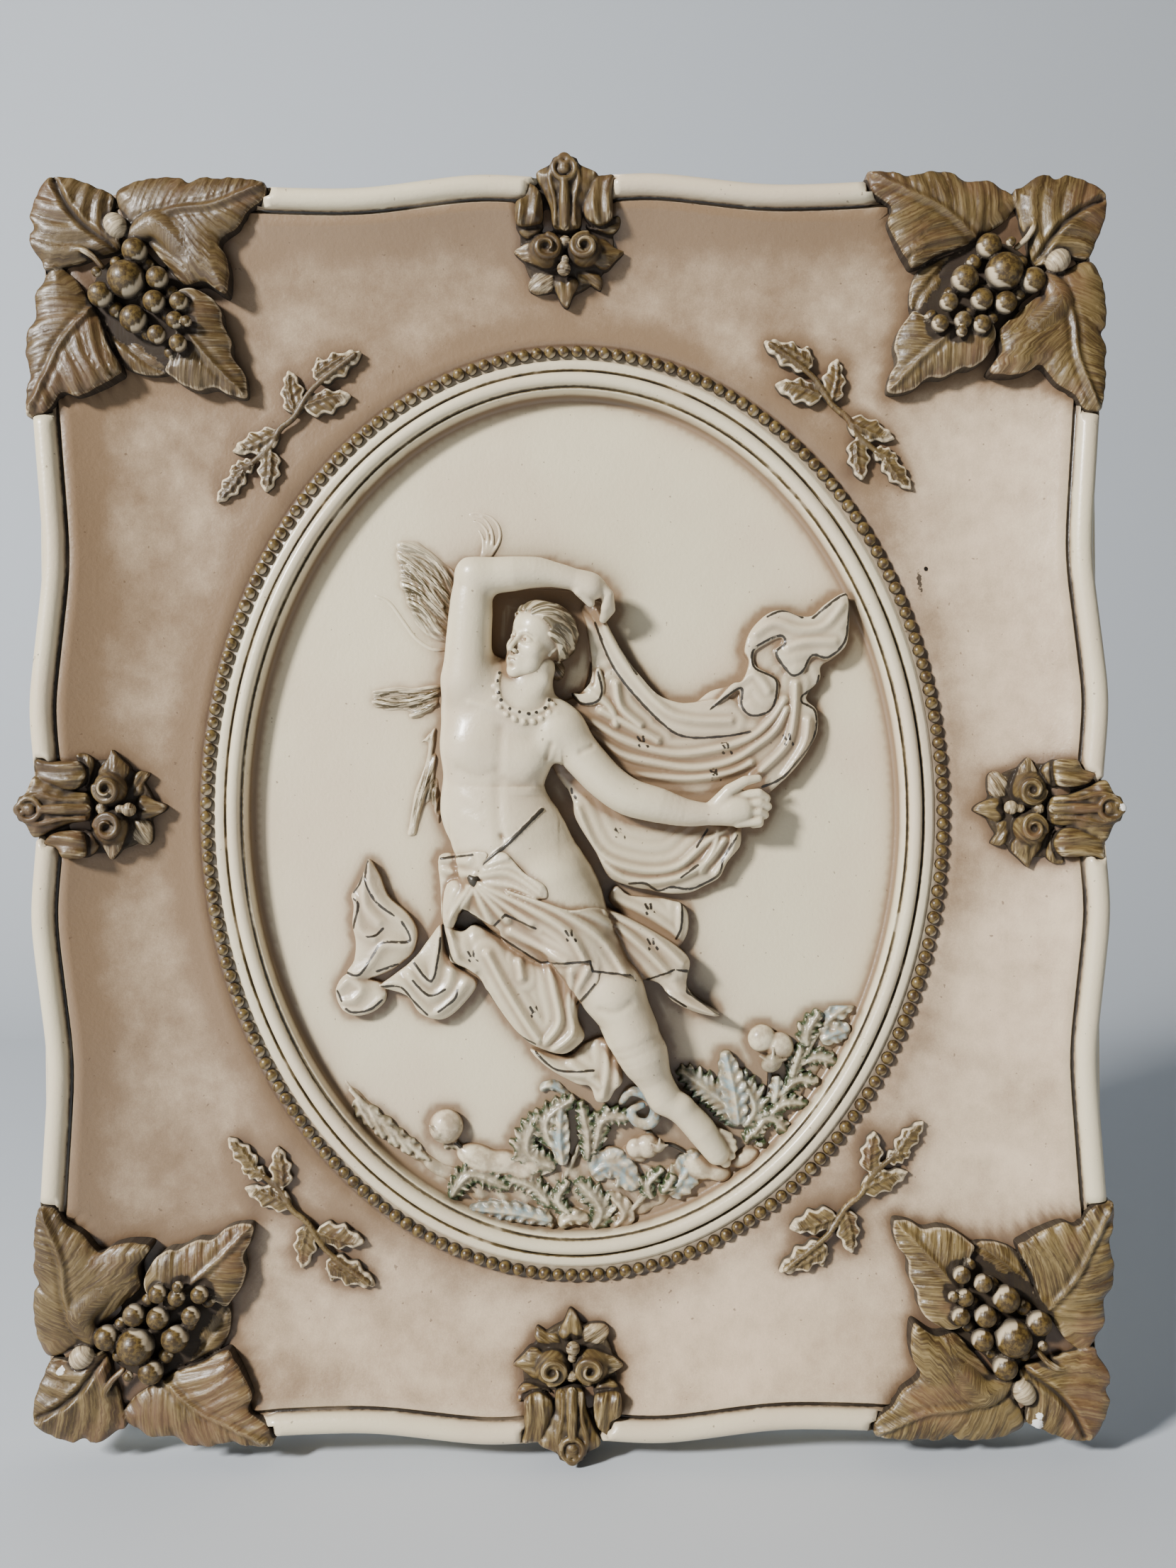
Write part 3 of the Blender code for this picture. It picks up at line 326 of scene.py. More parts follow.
def makeGround():
    g = ground
    box = boxRing(spokes)
    under, deep = g["railUnderside"], g["depth"]
    rings = [(inset(box, 0.0015), 0.0), (box, 0.0015), (box, deep - 0.003), (inset(box, 0.0009), deep - 0.0009),
             (inset(box, 0.003), deep), (inset(railLine, 0.0088), deep), (inset(railLine, 0.0080), deep + 0.001),
             (inset(railLine, 0.0080), under - 0.001), (inset(railLine, 0.0066), under),
             (inset(railLine, 0.0012), under + 0.0004), (railLine, under + 0.002)]
    half = g["railWidth"] / 2
    rings += halfRound(railLine, half, half, g["railCrest"] - half, 13)
    rings += [(inset(railLine, 0.0097), 0.0366), (inset(railLine, 0.0106), 0.0365), (inset(railLine, 0.0112), 0.0372)]
    edge, end = inset(railLine, 0.0116), inset(ovalLine, -0.0040)
    for share in np.linspace(0, 1, g["coveRings"]):
        rings.append((edge + (end - edge) * share, g["coveDeep"] + g["coveRise"] * (1 - share) ** 2))
    for gap, level in ((-0.0032, 0.0229), (-0.0014, 0.0238), (0.0014, 0.0238), (0.0032, 0.0231), (0.0040, 0.0242),
                       (0.0048, 0.0246), (0.0074, 0.0246), (0.0080, 0.0241), (0.0084, 0.0238)):
        rings.append((inset(ovalLine, gap), level))
    rings += halfRound(ovalLine, 0.0116, 0.0030, 0.0238, 9)
    for gap, level in ((0.0150, 0.0237), (0.0155, 0.0240), (0.0161, 0.0239), (0.0166, 0.0232), (0.0170, 0.0205),
                       (0.0174, 0.0168), (0.0180, 0.0154), (0.0192, 0.0150)):
        rings.append((inset(ovalLine, gap), level))
    count = len(spokes)
    points = [np.column_stack([ring, np.full(count, level)]) for ring, level in rings]
    faces = []
    step = np.arange(count)
    following = (step + 1) % count
    for k in range(len(rings) - 1):
        faces.append(np.stack([step + k * count, following + k * count, following + (k + 1) * count,
                               step + (k + 1) * count], axis=1))
    faces = [tuple(f) for f in np.concatenate(faces).tolist()]

    # the panel: an even net of points joined to the last ring
    rim = rings[-1][0]
    low, high = rim.min(axis=0), rim.max(axis=0)
    px, pz = np.meshgrid(np.arange(low[0], high[0], g["panelPitch"]), np.arange(low[1], high[1], g["panelPitch"]))
    px[1::2] += g["panelPitch"] / 2
    within = outlineGap(px, pz, rim) < -0.7 * g["panelPitch"]
    inner = list(zip(px[within].tolist(), pz[within].tolist()))
    flat = [tuple(p) for p in rim.tolist()] + inner
    from mathutils.geometry import delaunay_2d_cdt
    made, _, tiles, came, _, _ = delaunay_2d_cdt(flat, [(i, (i + 1) % count) for i in range(count)],
                                                 [list(range(count))], 1, 1e-7)
    start = (len(rings) - 1) * count
    fresh = len(rings) * count
    number = [start + c[0] if c and c[0] < count else fresh + c[0] - count for c in came]
    points.append(np.column_stack([np.array(inner), np.full(len(inner), rings[-1][1])]))
    faces += [tuple(number[i] for i in tile) for tile in tiles]

    # the flat back round the nail pocket
    points = np.concatenate(points)
    wide, tall, sunk = g["pocket"]
    middle = hangerUp - g["pocketDrop"]
    corners = [(wide / 2, middle - tall / 2), (-wide / 2, middle - tall / 2), (-wide / 2, middle + tall / 2),
               (wide / 2, middle + tall / 2)]
    first = len(points)
    points = np.vstack([points, [(x, z, 0.0) for x, z in corners], [(x, z, sunk) for x, z in corners]])
    right = 0
    left = count // 2
    a, b, c, d = range(first, first + 4)
    faces.append(tuple(range(right, left + 1)) + (b, c, d, a))
    faces.append(tuple(range(left, count)) + (right, a, b))
    for i in range(4):
        j = (i + 1) % 4
        faces.append((first + i, first + j, first + 4 + j, first + 4 + i))
    faces.append(tuple(range(first + 4, first + 8)))
    return points, faces




# leaf surfaces: a rib, side veins that leave it forwards, a billow between them and a rim
def leafRelief(rib, rise=0.0006, pitch=0.0075, lean=0.8, vein=0.0004, billow=0.0007, rim=0.0, wave=0.0, lift=0.0,
               width=0.0010):
    length = np.hypot(*np.diff(rib, axis=0).T).sum()

    def relief(px, pz, side):
        gap, run, hand = lineFrame(px, pz, rib)
        reach = ease(0, 0.003, gap)
        phase = (run - lean * gap) / pitch + 0.25 * hand
        near = np.abs(phase - np.round(phase)) * pitch
        out = rise * np.exp(-(gap / width) ** 2) - 0.5 * rise * np.exp(-((gap - 2.1 * width) / width) ** 2)
        out += reach * (vein * np.exp(-(near / 0.0007) ** 2) + billow * (0.5 - 0.5 * np.cos(2 * np.pi * phase)))
        out += rim * np.exp(-(np.minimum(side, 0) / 0.0011) ** 2)
        out += wave * np.exp(np.minimum(side, 0) / 0.004) * np.cos(2 * np.pi * phase + 1.0)
        out += lift * clip01(run / length)
        return out
    return relief


def strokes(points, line):
    gap, run, hand = lineFrame(points[:, 0], points[:, 1], line)
    return gap * hand, run


def veined(points, line, lean=0.8):
    # streaks that leave the rib as its side veins do
    gap, run, hand = lineFrame(points[:, 0], points[:, 1], line)
    return run - lean * gap + 0.02 * hand, gap


# the corner cluster as it lies at the top left, in hundredths of its size; the other three are turned copies
cluster = {
    "size": 0.100, "cell": 0.00065, "keep": 0.37, "floor": 0.0200,
    "at": [((-0.1864, 0.2265), 0), ((-0.1864, -0.2265), 1), ((0.1864, -0.2265), 2), ((0.1864, 0.2265), 3)],
    "grapes": [(2.1, -6.5, 8.0), (5.7, 5.7, 5.4), (15.4, -6.1, 4.8), (-8.9, -12.8, 5.4), (14.0, -16.2, 4.8),
               (4.9, -23.1, 5.9), (24.7, -16.5, 4.0), (23.0, -24.5, 3.8), (15.2, -30.4, 4.0), (24.2, -34.2, 3.8),
               (28.1, -25.4, 2.4), (-9.5, -4.3, 2.2)],
    "smallGrapes": [(9.6, -14.4, 3.6), (20.2, -11.0, 3.0), (19.0, -20.6, 3.4), (10.2, -28.4, 3.2), (19.6, -36.6, 2.8),
                    (-3.4, -18.2, 3.4), (28.6, -20.8, 2.4), (9.8, 0.6, 3.2), (-3.2, 1.8, 2.8), (28.0, -31.0, 2.2)],
    "bud": (-2.2, 16.4, 4.8),
    "leaves": {
        "corner": [(-0.6, 8.0), (-3.7, 20.8), (-3.1, 29.9), (-10.0, 33.4), (-18.6, 36.8), (-28.2, 37.9), (-34.7, 33.4),
                   (-36.9, 28.1), (-39.6, 21.2), (-37.8, 16.3), (-39.9, 13.1), (-38.7, 7.2), (-35.0, 1.8),
                   (-32.3, -2.5), (-21.0, 0.1), (-13.5, 2.7)],
        "top": [(5.8, 7.9), (-0.5, 20.8), (-3.6, 31.6), (5.0, 36.6), (17.9, 38.1), (25.4, 37.5), (28.6, 35.6),
                (35.0, 37.6), (41.4, 36.5), (45.7, 37.0), (54.8, 35.9), (61.8, 34.2), (61.7, 27.2), (54.7, 21.9),
                (49.8, 15.0), (42.3, 9.2), (44.9, 3.3), (45.9, -4.2), (43.7, -13.0), (34.6, -7.9), (26.0, -8.3),
                (18.6, -0.8), (9.0, 10.0)],
        "left": [(-10.5, -20.9), (-14.7, -13.4), (-21.1, -3.7), (-29.1, 0.7), (-33.9, -4.6), (-38.3, -13.1),
                 (-37.5, -20.7), (-41.1, -28.1), (-41.7, -37.8), (-39.7, -46.3), (-41.3, -54.9), (-40.9, -64.6),
                 (-36.6, -64.6), (-31.2, -62.5), (-25.8, -55.0), (-19.4, -56.2), (-11.3, -52.5), (-4.3, -48.3),
                 (-0.5, -44.0), (-6.3, -32.7)],
        "low": [(-10.4, -20.0), (-2.9, -28.7), (6.8, -31.0), (15.4, -36.5), (19.7, -41.9), (17.0, -44.6),
                (11.0, -45.6), (4.5, -44.8), (-2.0, -41.7), (-6.2, -34.1)],
        "base": [(-21.0, -2.5), (-14.0, 6.0), (-4.0, 12.0), (6.0, 13.0), (13.0, 4.0), (22.0, -6.0), (29.0, -12.0),
                 (30.5, -24.0), (27.0, -36.0), (18.0, -42.5), (6.0, -35.0), (-5.0, -30.0), (-13.0, -21.0)],
        "inner": [(20.4, -13.1), (28.1, -8.8), (37.8, -13.2), (41.6, -18.7), (42.1, -24.1), (45.3, -30.7),
                  (45.4, -37.2), (49.5, -42.7), (51.1, -48.1), (50.5, -54.8), (42.9, -54.0), (37.5, -51.2),
                  (31.0, -52.3), (24.5, -50.6), (19.1, -46.7), (16.4, -43.5), (20.2, -35.9), (21.4, -25.0)],
    },
    "ribs": {
        "corner": [(-1.7, 6.9), (-14.5, 15.6), (-22.0, 24.0), (-27.6, 34.8)],
        "top": [(7.5, 17.7), (24.2, 22.5), (40.2, 23.9), (60.7, 32.1)],
        "left": [(-12.8, -17.6), (-24.5, -32.6), (-30.5, -45.0), (-38.3, -61.0)],
        "low": [(-8.0, -26.0), (6.0, -38.0), (14.0, -43.0)],
        "base": [(-8.0, -8.0), (12.0, -24.0)],
        "inner": [(22.0, -22.9), (32.7, -35.8), (41.7, -45.8), (50.3, -54.0)],
    },
    "looks": {       # level of the edge, rise of the middle, rib, side veins, what the tip sinks
        "corner": dict(level=0.0370, rise=0.0035, rib=-0.0011, pitch=0.0105, lean=0.9, vein=-0.0003, billow=0.0011,
                       rim=0.0008, wave=0.0009, lift=0.0022),
        "top": dict(level=0.0365, rise=0.0042, rib=0.0012, pitch=0.0066, lean=0.75, vein=0.0005, billow=0.0006,
                    rim=0.0006, wave=0.0005, lift=0.0040),
        "left": dict(level=0.0362, rise=0.0040, rib=0.0012, pitch=0.0096, lean=0.85, vein=0.0005, billow=0.0009,
                     rim=0.0006, wave=0.0009, lift=0.0040),
        "low": dict(level=0.0330, rise=0.0030, rib=-0.0006, pitch=0.0090, lean=0.8, vein=0.0, billow=0.0008,
                    rim=0.0004, wave=0.0006, lift=-0.0020),
        "base": dict(level=0.0336, rise=0.0004, rib=0.0, pitch=0.0070, lean=0.8, vein=0.0, billow=0.0, rim=0.0,
                     wave=0.0, lift=0.0),
        "inner": dict(level=0.0370, rise=0.0035, rib=0.0010, pitch=0.0080, lean=0.8, vein=0.0005, billow=0.0006,
                      rim=0.0003, wave=0.0006, lift=-0.0068),
    },
}


def makeCluster():
    about = cluster["grapes"][0][:2]
    size = cluster["size"]

    def put(points):
        return place(points, size, about=about)

    clay = Clay((-0.0495, -0.0625, 0.0170), (0.0680, 0.0490, 0.0500), cluster["cell"])
    for name, outline in cluster["leaves"].items():
        look = cluster["looks"][name]
        rib = smooth(put(cluster["ribs"][name]), closed=False)
        relief = leafRelief(rib, look["rib"], look["pitch"], look["lean"], look["vein"], look["billow"], look["rim"],
                            look["wave"], look["lift"], width=0.0012)
        clay.plate(smooth(put(outline)), look["level"], look["rise"], under=0.017, relief=relief, soft=0.004,
                   kind="leaf", rib=rib, part=name)
    lobe = smooth(put([(5.5, 12.7), (15.2, 16.8), (24.6, 8.1), (31.6, -4.1)]), closed=False)
    clay.limb(lobe, [0.0380, 0.0395, 0.0385, 0.0350], [0.0040, 0.0062, 0.0058, 0.0040], blend=0.0010, squash=0.75,
              kind="leaf", rib=lobe, part="lobe")
    stalk = smooth(put([(-22.5, 4.6), (-17.8, 6.2), (-12.4, 3.6), (-8.0, -1.2)]), closed=False)
    clay.limb(stalk, [0.0395, 0.0415, 0.0400], [0.0009, 0.0014, 0.0012], blend=0.0006, kind="leaf", rib=stalk,
              part="stalk")
    x, z, r = cluster["bud"]
    clay.ball(put([(x, z)])[0], 0.0400, (r / 850, r / 1000, 0.0046), blend=0.0008, lean=-0.9, kind="leaf",
              rib=put([(x - 3, z - 2), (x + 3, z + 2)]), part="bud")
    clay.ball(put([(12, -16)])[0], 0.0300, (0.017, 0.019, 0.0065), blend=0.0010, kind="hollow")
    for x, z, r in cluster["smallGrapes"]:
        clay.ball(put([(x, z)])[0], 0.0362, (r / 1000,) * 3, blend=0.0003, kind="grape")
    for x, z, r in cluster["grapes"]:
        level = 0.0478 - r / 1000 if r > 7 else 0.0445 - r / 1000 + 0.0006
        clay.ball(put([(x, z)])[0], level, (r / 1000,) * 3, blend=0.0003, kind="grape")
    points, faces, owner = clay.skin(cluster["floor"])
    total = len(points)
    grainA, grainL = np.zeros(total), np.zeros(total)
    cream, dark, berry = np.zeros(total), np.zeros(total), np.zeros(total)
    for index, shape in enumerate(clay.shapes, start=1):
        mine = owner == index
        p = points[mine]
        if shape["kind"] == "leaf":
            across = strokes if shape["part"] in ("bud", "stalk") else veined
            grainA[mine], grainL[mine] = across(p, shape["rib"])
            cream[mine] = {"bud": 0.45, "low": 0.12, "inner": 0.18, "lobe": -0.25}.get(shape["part"], 0.0)
            if "outline" in shape:
                edge = -outlineGap(p[:, 0], p[:, 1], shape["outline"])
                cream[mine] += 0.30 * ease(0.0020, 0.0006, edge)
            if shape["part"] == "base":
                dark[mine], cream[mine] = 1.0, 0.0
        elif shape["kind"] == "grape":
            off = (p[:, :2] - shape["at"]) / shape["radii"][0]
            # the cream that the wiping left lies as a crescent on each grape, towards the middle of the plaque
            facing = off @ np.array([0.70, -0.71])
            size = np.hypot(off[:, 0], off[:, 1])
            cream[mine] = 0.80 * ease(0.15, 0.80, facing + 0.18 * np.sin(7 * off[:, 0] + 40 * shape["at"][0])) * ease(0.55, 0.90, size)
            dark[mine] = 0.9 * ease(0.90, 1.0, size) + 0.30 * ease(0.1, 0.8, -facing)
            berry[mine] = 1
            grainA[mine], grainL[mine] = off[:, 0] * 0.004, off[:, 1] * 0.004
        else:
            dark[mine] = 1
    return points, faces, dict(grainA=grainA, grainL=grainL, cream=cream, dark=dark, berry=berry)


def turned(points, quarter, at):
    p = points.copy()
    for _ in range(quarter):
        p[:, 0], p[:, 1] = -p[:, 1].copy(), p[:, 0].copy()
    p[:, :2] += at
    return p


clusterPoints, clusterFaces, clusterPaint = makeCluster()
for number, (at, quarter) in enumerate(cluster["at"], start=1):
    keepPiece(f"cornerCluster{number}", turned(clusterPoints, quarter, at), clusterFaces, "olive", cluster["keep"], **clusterPaint)


# the ornament in the middle of each side, as it lies at the top, in hundredths of its length
ornament = {
    "size": 0.064, "cell": 0.00055, "keep": 0.40, "floor": 0.0200,
    "at": [((0, 0.2704), 0), ((-0.2281, 0.0018), 1), ((-0.0013, -0.2704), 2), ((0.2281, -0.0017), 3)],
    "parts": {
        "petLeft": ([(-26.1, -70.8), (-24.6, -64.8), (-19.7, -59.9), (-8.8, -58.8), (-6.7, -64.9), (-9.0, -73.6),
                     (-21.1, -74.7)], 0.0290, 0.0030, [(-8, -60), (-25, -72)]),
        "petMiddle": ([(-8.9, -66.1), (-4.0, -63.5), (5.7, -63.2), (9.5, -68.7), (5.5, -77.1), (1.9, -84.1),
                       (-3.0, -82.2), (-7.5, -73.4)], 0.0290, 0.0036, [(0, -62), (0, -83)]),
        "petRight": ([(6.9, -60.2), (15.4, -59.0), (22.6, -61.5), (26.0, -66.4), (24.0, -72.9), (19.5, -71.4),
                      (15.3, -68.7), (9.3, -68.7)], 0.0290, 0.0030, [(8, -60), (25, -71)]),
        "wingLeft": ([(-35.6, -47.3), (-27.9, -42.9), (-20.6, -38.7), (-18.3, -56.8), (-25.6, -56.2),
                      (-31.6, -52.5)], 0.0325, 0.0032, [(-18, -48), (-34, -48)]),
        "wingRight": ([(40.6, -48.3), (33.6, -45.2), (26.4, -39.7), (19.2, -40.3), (19.0, -57.2), (27.4, -61.1),
                       (34.7, -54.9)], 0.0325, 0.0032, [(19, -48), (38, -49)]),
        "curlLeft": ([(-35.5, -29.0), (-31.3, -32.0), (-20.5, -32.1), (-13.2, -31.0), (-15.7, -37.0), (-21.8, -40.5),
                      (-25.4, -41.7), (-31.4, -37.4)], 0.0350, 0.0030, [(-14, -34), (-34, -32)]),
        "curlRight": ([(13.2, -30.6), (22.8, -33.7), (33.7, -25.4), (38.3, -28.4), (36.7, -35.0), (31.2, -38.8),
                       (21.6, -37.3), (14.4, -34.8)], 0.0350, 0.0030, [(14, -34), (37, -31)]),
        "petalLeft": ([(-22.4, -5.3), (-15.3, -13.1), (-13.4, -25.1), (-15.5, -33.4), (-25.1, -35.7), (-32.2, -34.5),
                       (-34.0, -28.5), (-33.3, -18.9), (-27.3, -15.4), (-25.4, -9.4)], 0.0392, 0.0036,
                      [(-22, -7), (-24, -22), (-26, -34)]),
        "petalRight": ([(21.9, -2.1), (29.1, -0.9), (34.4, -2.8), (32.5, -12.3), (33.1, -21.9), (31.8, -31.5),
                        (22.8, -35.6), (14.4, -31.3), (11.5, -24.1), (14.6, -13.4)], 0.0392, 0.0036,
                       [(26, -3), (24, -18), (25, -34)]),
        "tongue": ([(-19.8, -0.7), (-10.3, 5.2), (-7.8, 9.4), (0.3, 11.3), (8.8, 9.2), (11.4, 5.0), (23.1, -1.0),
                    (19.4, -12.3), (13.3, -24.2), (11.1, -34.9), (5.5, -37.8), (-0.2, -38.4), (-6.5, -36.8),
                    (-9.4, -32.3), (-10.5, -22.8), (-15.2, -12.0)], 0.0404, 0.0036, [(0, 9), (0, -38)]),
        "base": ([(-19.0, -4.0), (0, -8.0), (20.0, -4.0), (30.0, -12.0), (30.0, -30.0), (33.0, -36.0), (33.0, -50.0),
                  (22.0, -66.0), (4.0, -76.0), (-8.0, -74.0), (-22.0, -68.0), (-30.0, -50.0), (-31.0, -34.0),
                  (-29.0, -20.0)], 0.0356, 0.0004, [(0, -6), (0, -74)]),
    },
}


def makeOrnament():
    def put(points):
        return place(points, ornament["size"])

    clay = Clay((-0.0255, -0.0580, 0.0170), (0.0285, 0.0085, 0.0485), ornament["cell"])
    for name, (outline, level, rise, rib) in ornament["parts"].items():
        line = smooth(put(rib), closed=False)
        tongue = name == "tongue"
        relief = leafRelief(line, -0.0005, 0.0060, 0.5, 0.0, 0.0004, 0.0009, 0.0,
                            {"tongue": -0.0045, "base": -0.0075}.get(name, -0.0008))
        if name.startswith("petal"):
            def relief(px, pz, side, line=line):
                # lengthwise flutes
                gap, run, hand = lineFrame(px, pz, line)
                return -0.0009 * np.exp(-(gap / 0.0013) ** 2) + 0.0007 * np.exp(-((gap - 0.0034) / 0.0012) ** 2) \
                    + 0.0007 * np.exp(-(side / 0.0010) ** 2)
        clay.plate(smooth(put(outline)), level, rise, under=0.017, soft=0.0022, relief=relief, kind="leaf", rib=line,
                   part=name)
    rib = put([(0, -7), (0, -22), (0, -35)])
    clay.limb(rib, [0.0432, 0.0416, 0.0388], [0.0017, 0.0024, 0.0020], blend=0.0006, squash=0.9, kind="leaf", rib=rib,
              part="rib")
    for side in (-1, 1):
        line = smooth(put([(side * 8, 3), (side * 9.5, -6), (side * 6.5, -20), (side * 6.5, -34)]), closed=False)
        clay.limb(line, [0.0432, 0.0420, 0.0390], [0.0009, 0.0010, 0.0009], blend=0.0008, kind="leaf", rib=line,
                  part="rib")
    for x, z, r in ((0, 0.5, 0.0046), (0, 6.4, 0.0018)):
        ring = put([(x + r * 1562 * math.cos(a), z + r * 1562 * math.sin(a)) for a in np.linspace(0, 2 * np.pi, 17)])
        clay.limb(ring, [0.0434], [0.0011], blend=0.0005, kind="leaf", rib=ring, part="eye")
    clay.ball(put([(0, 0.5)])[0], 0.0428, (0.0026, 0.0026, 0.0018), blend=0.0005, kind="leaf", rib=rib, part="eye")
    for x, z in ((-12.7, -48.4), (13.1, -48.0)):
        spot = put([(x, z)])[0]
        clay.ball(spot, 0.0330, (0.0078, 0.0074, 0.0066), blend=0.0012, kind="leaf", rib=rib, part="volute")
        turn = [(x + (9.5 - 0.9 * t) * math.cos(t * 1.1 * np.sign(x) + 1.4), z + (9.0 - 0.9 * t) * math.sin(t * 1.1 * np.sign(x) + 1.4))
                for t in np.linspace(0, 8, 26)]
        coil = put(turn)
        clay.limb(coil, [0.0368, 0.0392, 0.0405], [0.0014, 0.0014, 0.0012], blend=0.0006, kind="leaf", rib=coil,
                  part="coil")
        clay.ball(spot, 0.0420, (0.0022, 0.0022, 0.0040), blend=0.0008, kind="leaf", cut=True)
    for x, z, r in ((-0.9, -61.6, 3.0), (-0.5, -55.5, 2.0), (0, -43.5, 2.6)):
        clay.ball(put([(x, z)])[0], 0.0355, (r / 1000, r / 1000, r / 1000), blend=0.0005, kind="leaf", rib=rib,
                  part="bead")
    points, faces, owner = clay.skin(ornament["floor"])
    total = len(points)
    grainA, grainL, cream, dark = (np.zeros(total) for _ in range(4))
    for index, shape in enumerate(clay.shapes, start=1):
        mine = owner == index
        grainA[mine], grainL[mine] = strokes(points[mine], shape["rib"])
        cream[mine] = {"bead": 0.35, "wingLeft": 0.30, "petLeft": 0.35}.get(shape["part"], 0.05)
        dark[mine] = 0.85 * (shape["part"] == "base")
    return points, faces, dict(grainA=grainA, grainL=grainL, cream=cream, dark=dark)


ornamentPoints, ornamentFaces, ornamentPaint = makeOrnament()
for number, (at, quarter) in enumerate(ornament["at"], start=1):
    keepPiece(f"sideOrnament{number}", turned(ornamentPoints, quarter, at), ornamentFaces, "olive", ornament["keep"], **ornamentPaint)


# the small leafy spray in each quarter of the cove, in hundredths of its length
spray = {
    "size": 0.078, "cell": 0.0005, "keep": 0.40, "floor": 0.0205,
    "at": [((-0.117, 0.157), (1, 1)), ((0.114, 0.160), (-1, 1)), ((-0.1146, -0.1645), (1, -1)),
           ((0.117, -0.160), (-1, -1))],
    "stem": [(32.7, 51.3), (9.4, 33.3), (-1.2, 18.0), (-9.7, 11.0), (-15.4, 1.2), (-29.6, -11.3), (-42.3, -26.6)],
    # base, tip, greatest half width in metres, edge level
    "leaves": [((8.8, 38.9), (36.8, 53.7), 0.0074, 0.0268), ((-0.5, 18.6), (-4.5, 44.5), 0.0070, 0.0262),
               ((14.0, 37.0), (12.0, 52.0), 0.0052, 0.0258), ((3.4, 22.7), (30.7, 30.0), 0.0074, 0.0262),
               ((-9.7, 8.9), (-36.8, -1.5), 0.0068, 0.0258), ((-14.7, -0.2), (-18.0, -24.4), 0.0066, 0.0255),
               ((-24.0, -8.0), (-39.0, -12.0), 0.0050, 0.0255), ((-29.6, -11.3), (-45.7, -29.6), 0.0058, 0.0255)],
}


def lobed(base, tip, half, lobes=3, deep=0.28):
    # a leaf outline with rounded lobes along both edges
    step = tip - base
    side = np.array([-step[1], step[0]]) / np.hypot(*step)
    t = np.linspace(0, 1, 40)
    shape = np.sin(np.pi * t ** 0.85) ** 0.6 * (1 - 0.25 * t)
    wave = 1 - deep * (0.5 + 0.5 * np.cos(2 * np.pi * (lobes * t ** 1.1 + 0.02))) * np.sin(np.pi * t) ** 0.4
    width = np.maximum(half * shape * wave, 0.0002)
    right = base + step * t[:, None] + side * width[:, None]
    left = base + step * t[::-1, None] - side * width[::-1, None]
    return np.vstack([right, left[1:-1]])


def makeSpray():
    def put(points):
        return place(points, spray["size"])

    clay = Clay((-0.0400, -0.0275, 0.0180), (0.0345, 0.0470, 0.0350), spray["cell"])
    stem = smooth(put(spray["stem"]), closed=False)
    for base, tip, half, level in spray["leaves"]:
        ends = put([base, tip])
        way = ends[1] - ends[0]
        bent = np.array([ends[0], ends[0] + way * 0.55 + np.array([-way[1], way[0]]) * 0.06, ends[1]])
        rib = smooth(bent, closed=False)
        relief = leafRelief(rib, 0.0006, 0.0042, 0.7, 0.0002, 0.0006, 0.0006, 0.0005, -0.0004, width=0.0007)
        clay.plate(lobed(ends[0], ends[1], half), level, 0.0022, under=0.018, soft=0.0016, edge=0.0008, relief=relief,
                   kind="leaf", rib=rib)
    clay.limb(stem, [0.0290, 0.0275, 0.0268, 0.0262, 0.0262], [0.0011, 0.0013, 0.0014, 0.0013, 0.0009], blend=0.0006,
              kind="leaf", rib=stem)
    points, faces, owner = clay.skin(spray["floor"])
    total = len(points)
    grainA, grainL, cream, dark = (np.zeros(total) for _ in range(4))
    for index, shape in enumerate(clay.shapes, start=1):
        mine = owner == index
        grainA[mine], grainL[mine] = veined(points[mine], shape["rib"], 0.6)
        if "outline" in shape:
            side = outlineGap(points[mine, 0], points[mine, 1], shape["outline"])
            run = clip01(strokes(points[mine], shape["rib"])[1] / 0.020)
            cream[mine] = 0.80 * ease(-0.0022, -0.0004, side) + 0.45 * ease(0.65, 1.0, run)
    return points, faces, dict(grainA=grainA, grainL=grainL, cream=cream, dark=dark)


sprayPoints, sprayFaces, sprayPaint = makeSpray()
for number, (at, flip) in enumerate(spray["at"], start=1):
    p = sprayPoints * (flip[0], flip[1], 1)
    p[:, :2] += at
    keepPiece(f"coveSpray{number}", p, sprayFaces, "olive", spray["keep"], **sprayPaint)


def drawInUnderMotifs(points):
    # between the leaves of a corner the rail stays behind them, so that only they show at the outline
    rings = [smooth(place(outline, cluster["size"], about=cluster["grapes"][0][:2])) for outline in cluster["leaves"].values()]
    for at, quarter in cluster["at"]:
        own = points.copy()
        own[:, :2] -= at
        own = turned(own, (4 - quarter) % 4, (0, 0))
        near = (own[:, 0] > -0.062) & (own[:, 0] < 0.060) & (own[:, 1] < 0.062) & (own[:, 1] > -0.060) \
            & ((own[:, 0] < -0.018) | (own[:, 1] > 0.018))
        p = own[near][:, :2]
        start = p.copy()
        railGap = -outlineGap(points[near, 0], points[near, 1], railLine)
        share = ease(0.0125, 0.0085, railGap) * ease(0.0585, 0.0535, p[:, 0]) * ease(-0.0575, -0.0525, p[:, 1])
        for _ in range(6):
            gap = np.min([outlineGap(p[:, 0], p[:, 1], ring) for ring in rings], axis=0) + 0.0016
            step = 0.0004
            slope = [np.min([outlineGap(p[:, 0] + dx, p[:, 1] + dz, ring) for ring in rings], axis=0) + 0.0016 - gap
                     for dx, dz in ((step, 0), (0, step))]
            slope = np.stack(slope, axis=1) / step
            p = p - slope * np.clip(gap, 0, 0.002)[:, None] * (gap < 0.010)[:, None]
        moved = own[near]
        moved[:, :2] = start + (p - start) * share[:, None]
        points[near] = turned(moved, quarter, at)


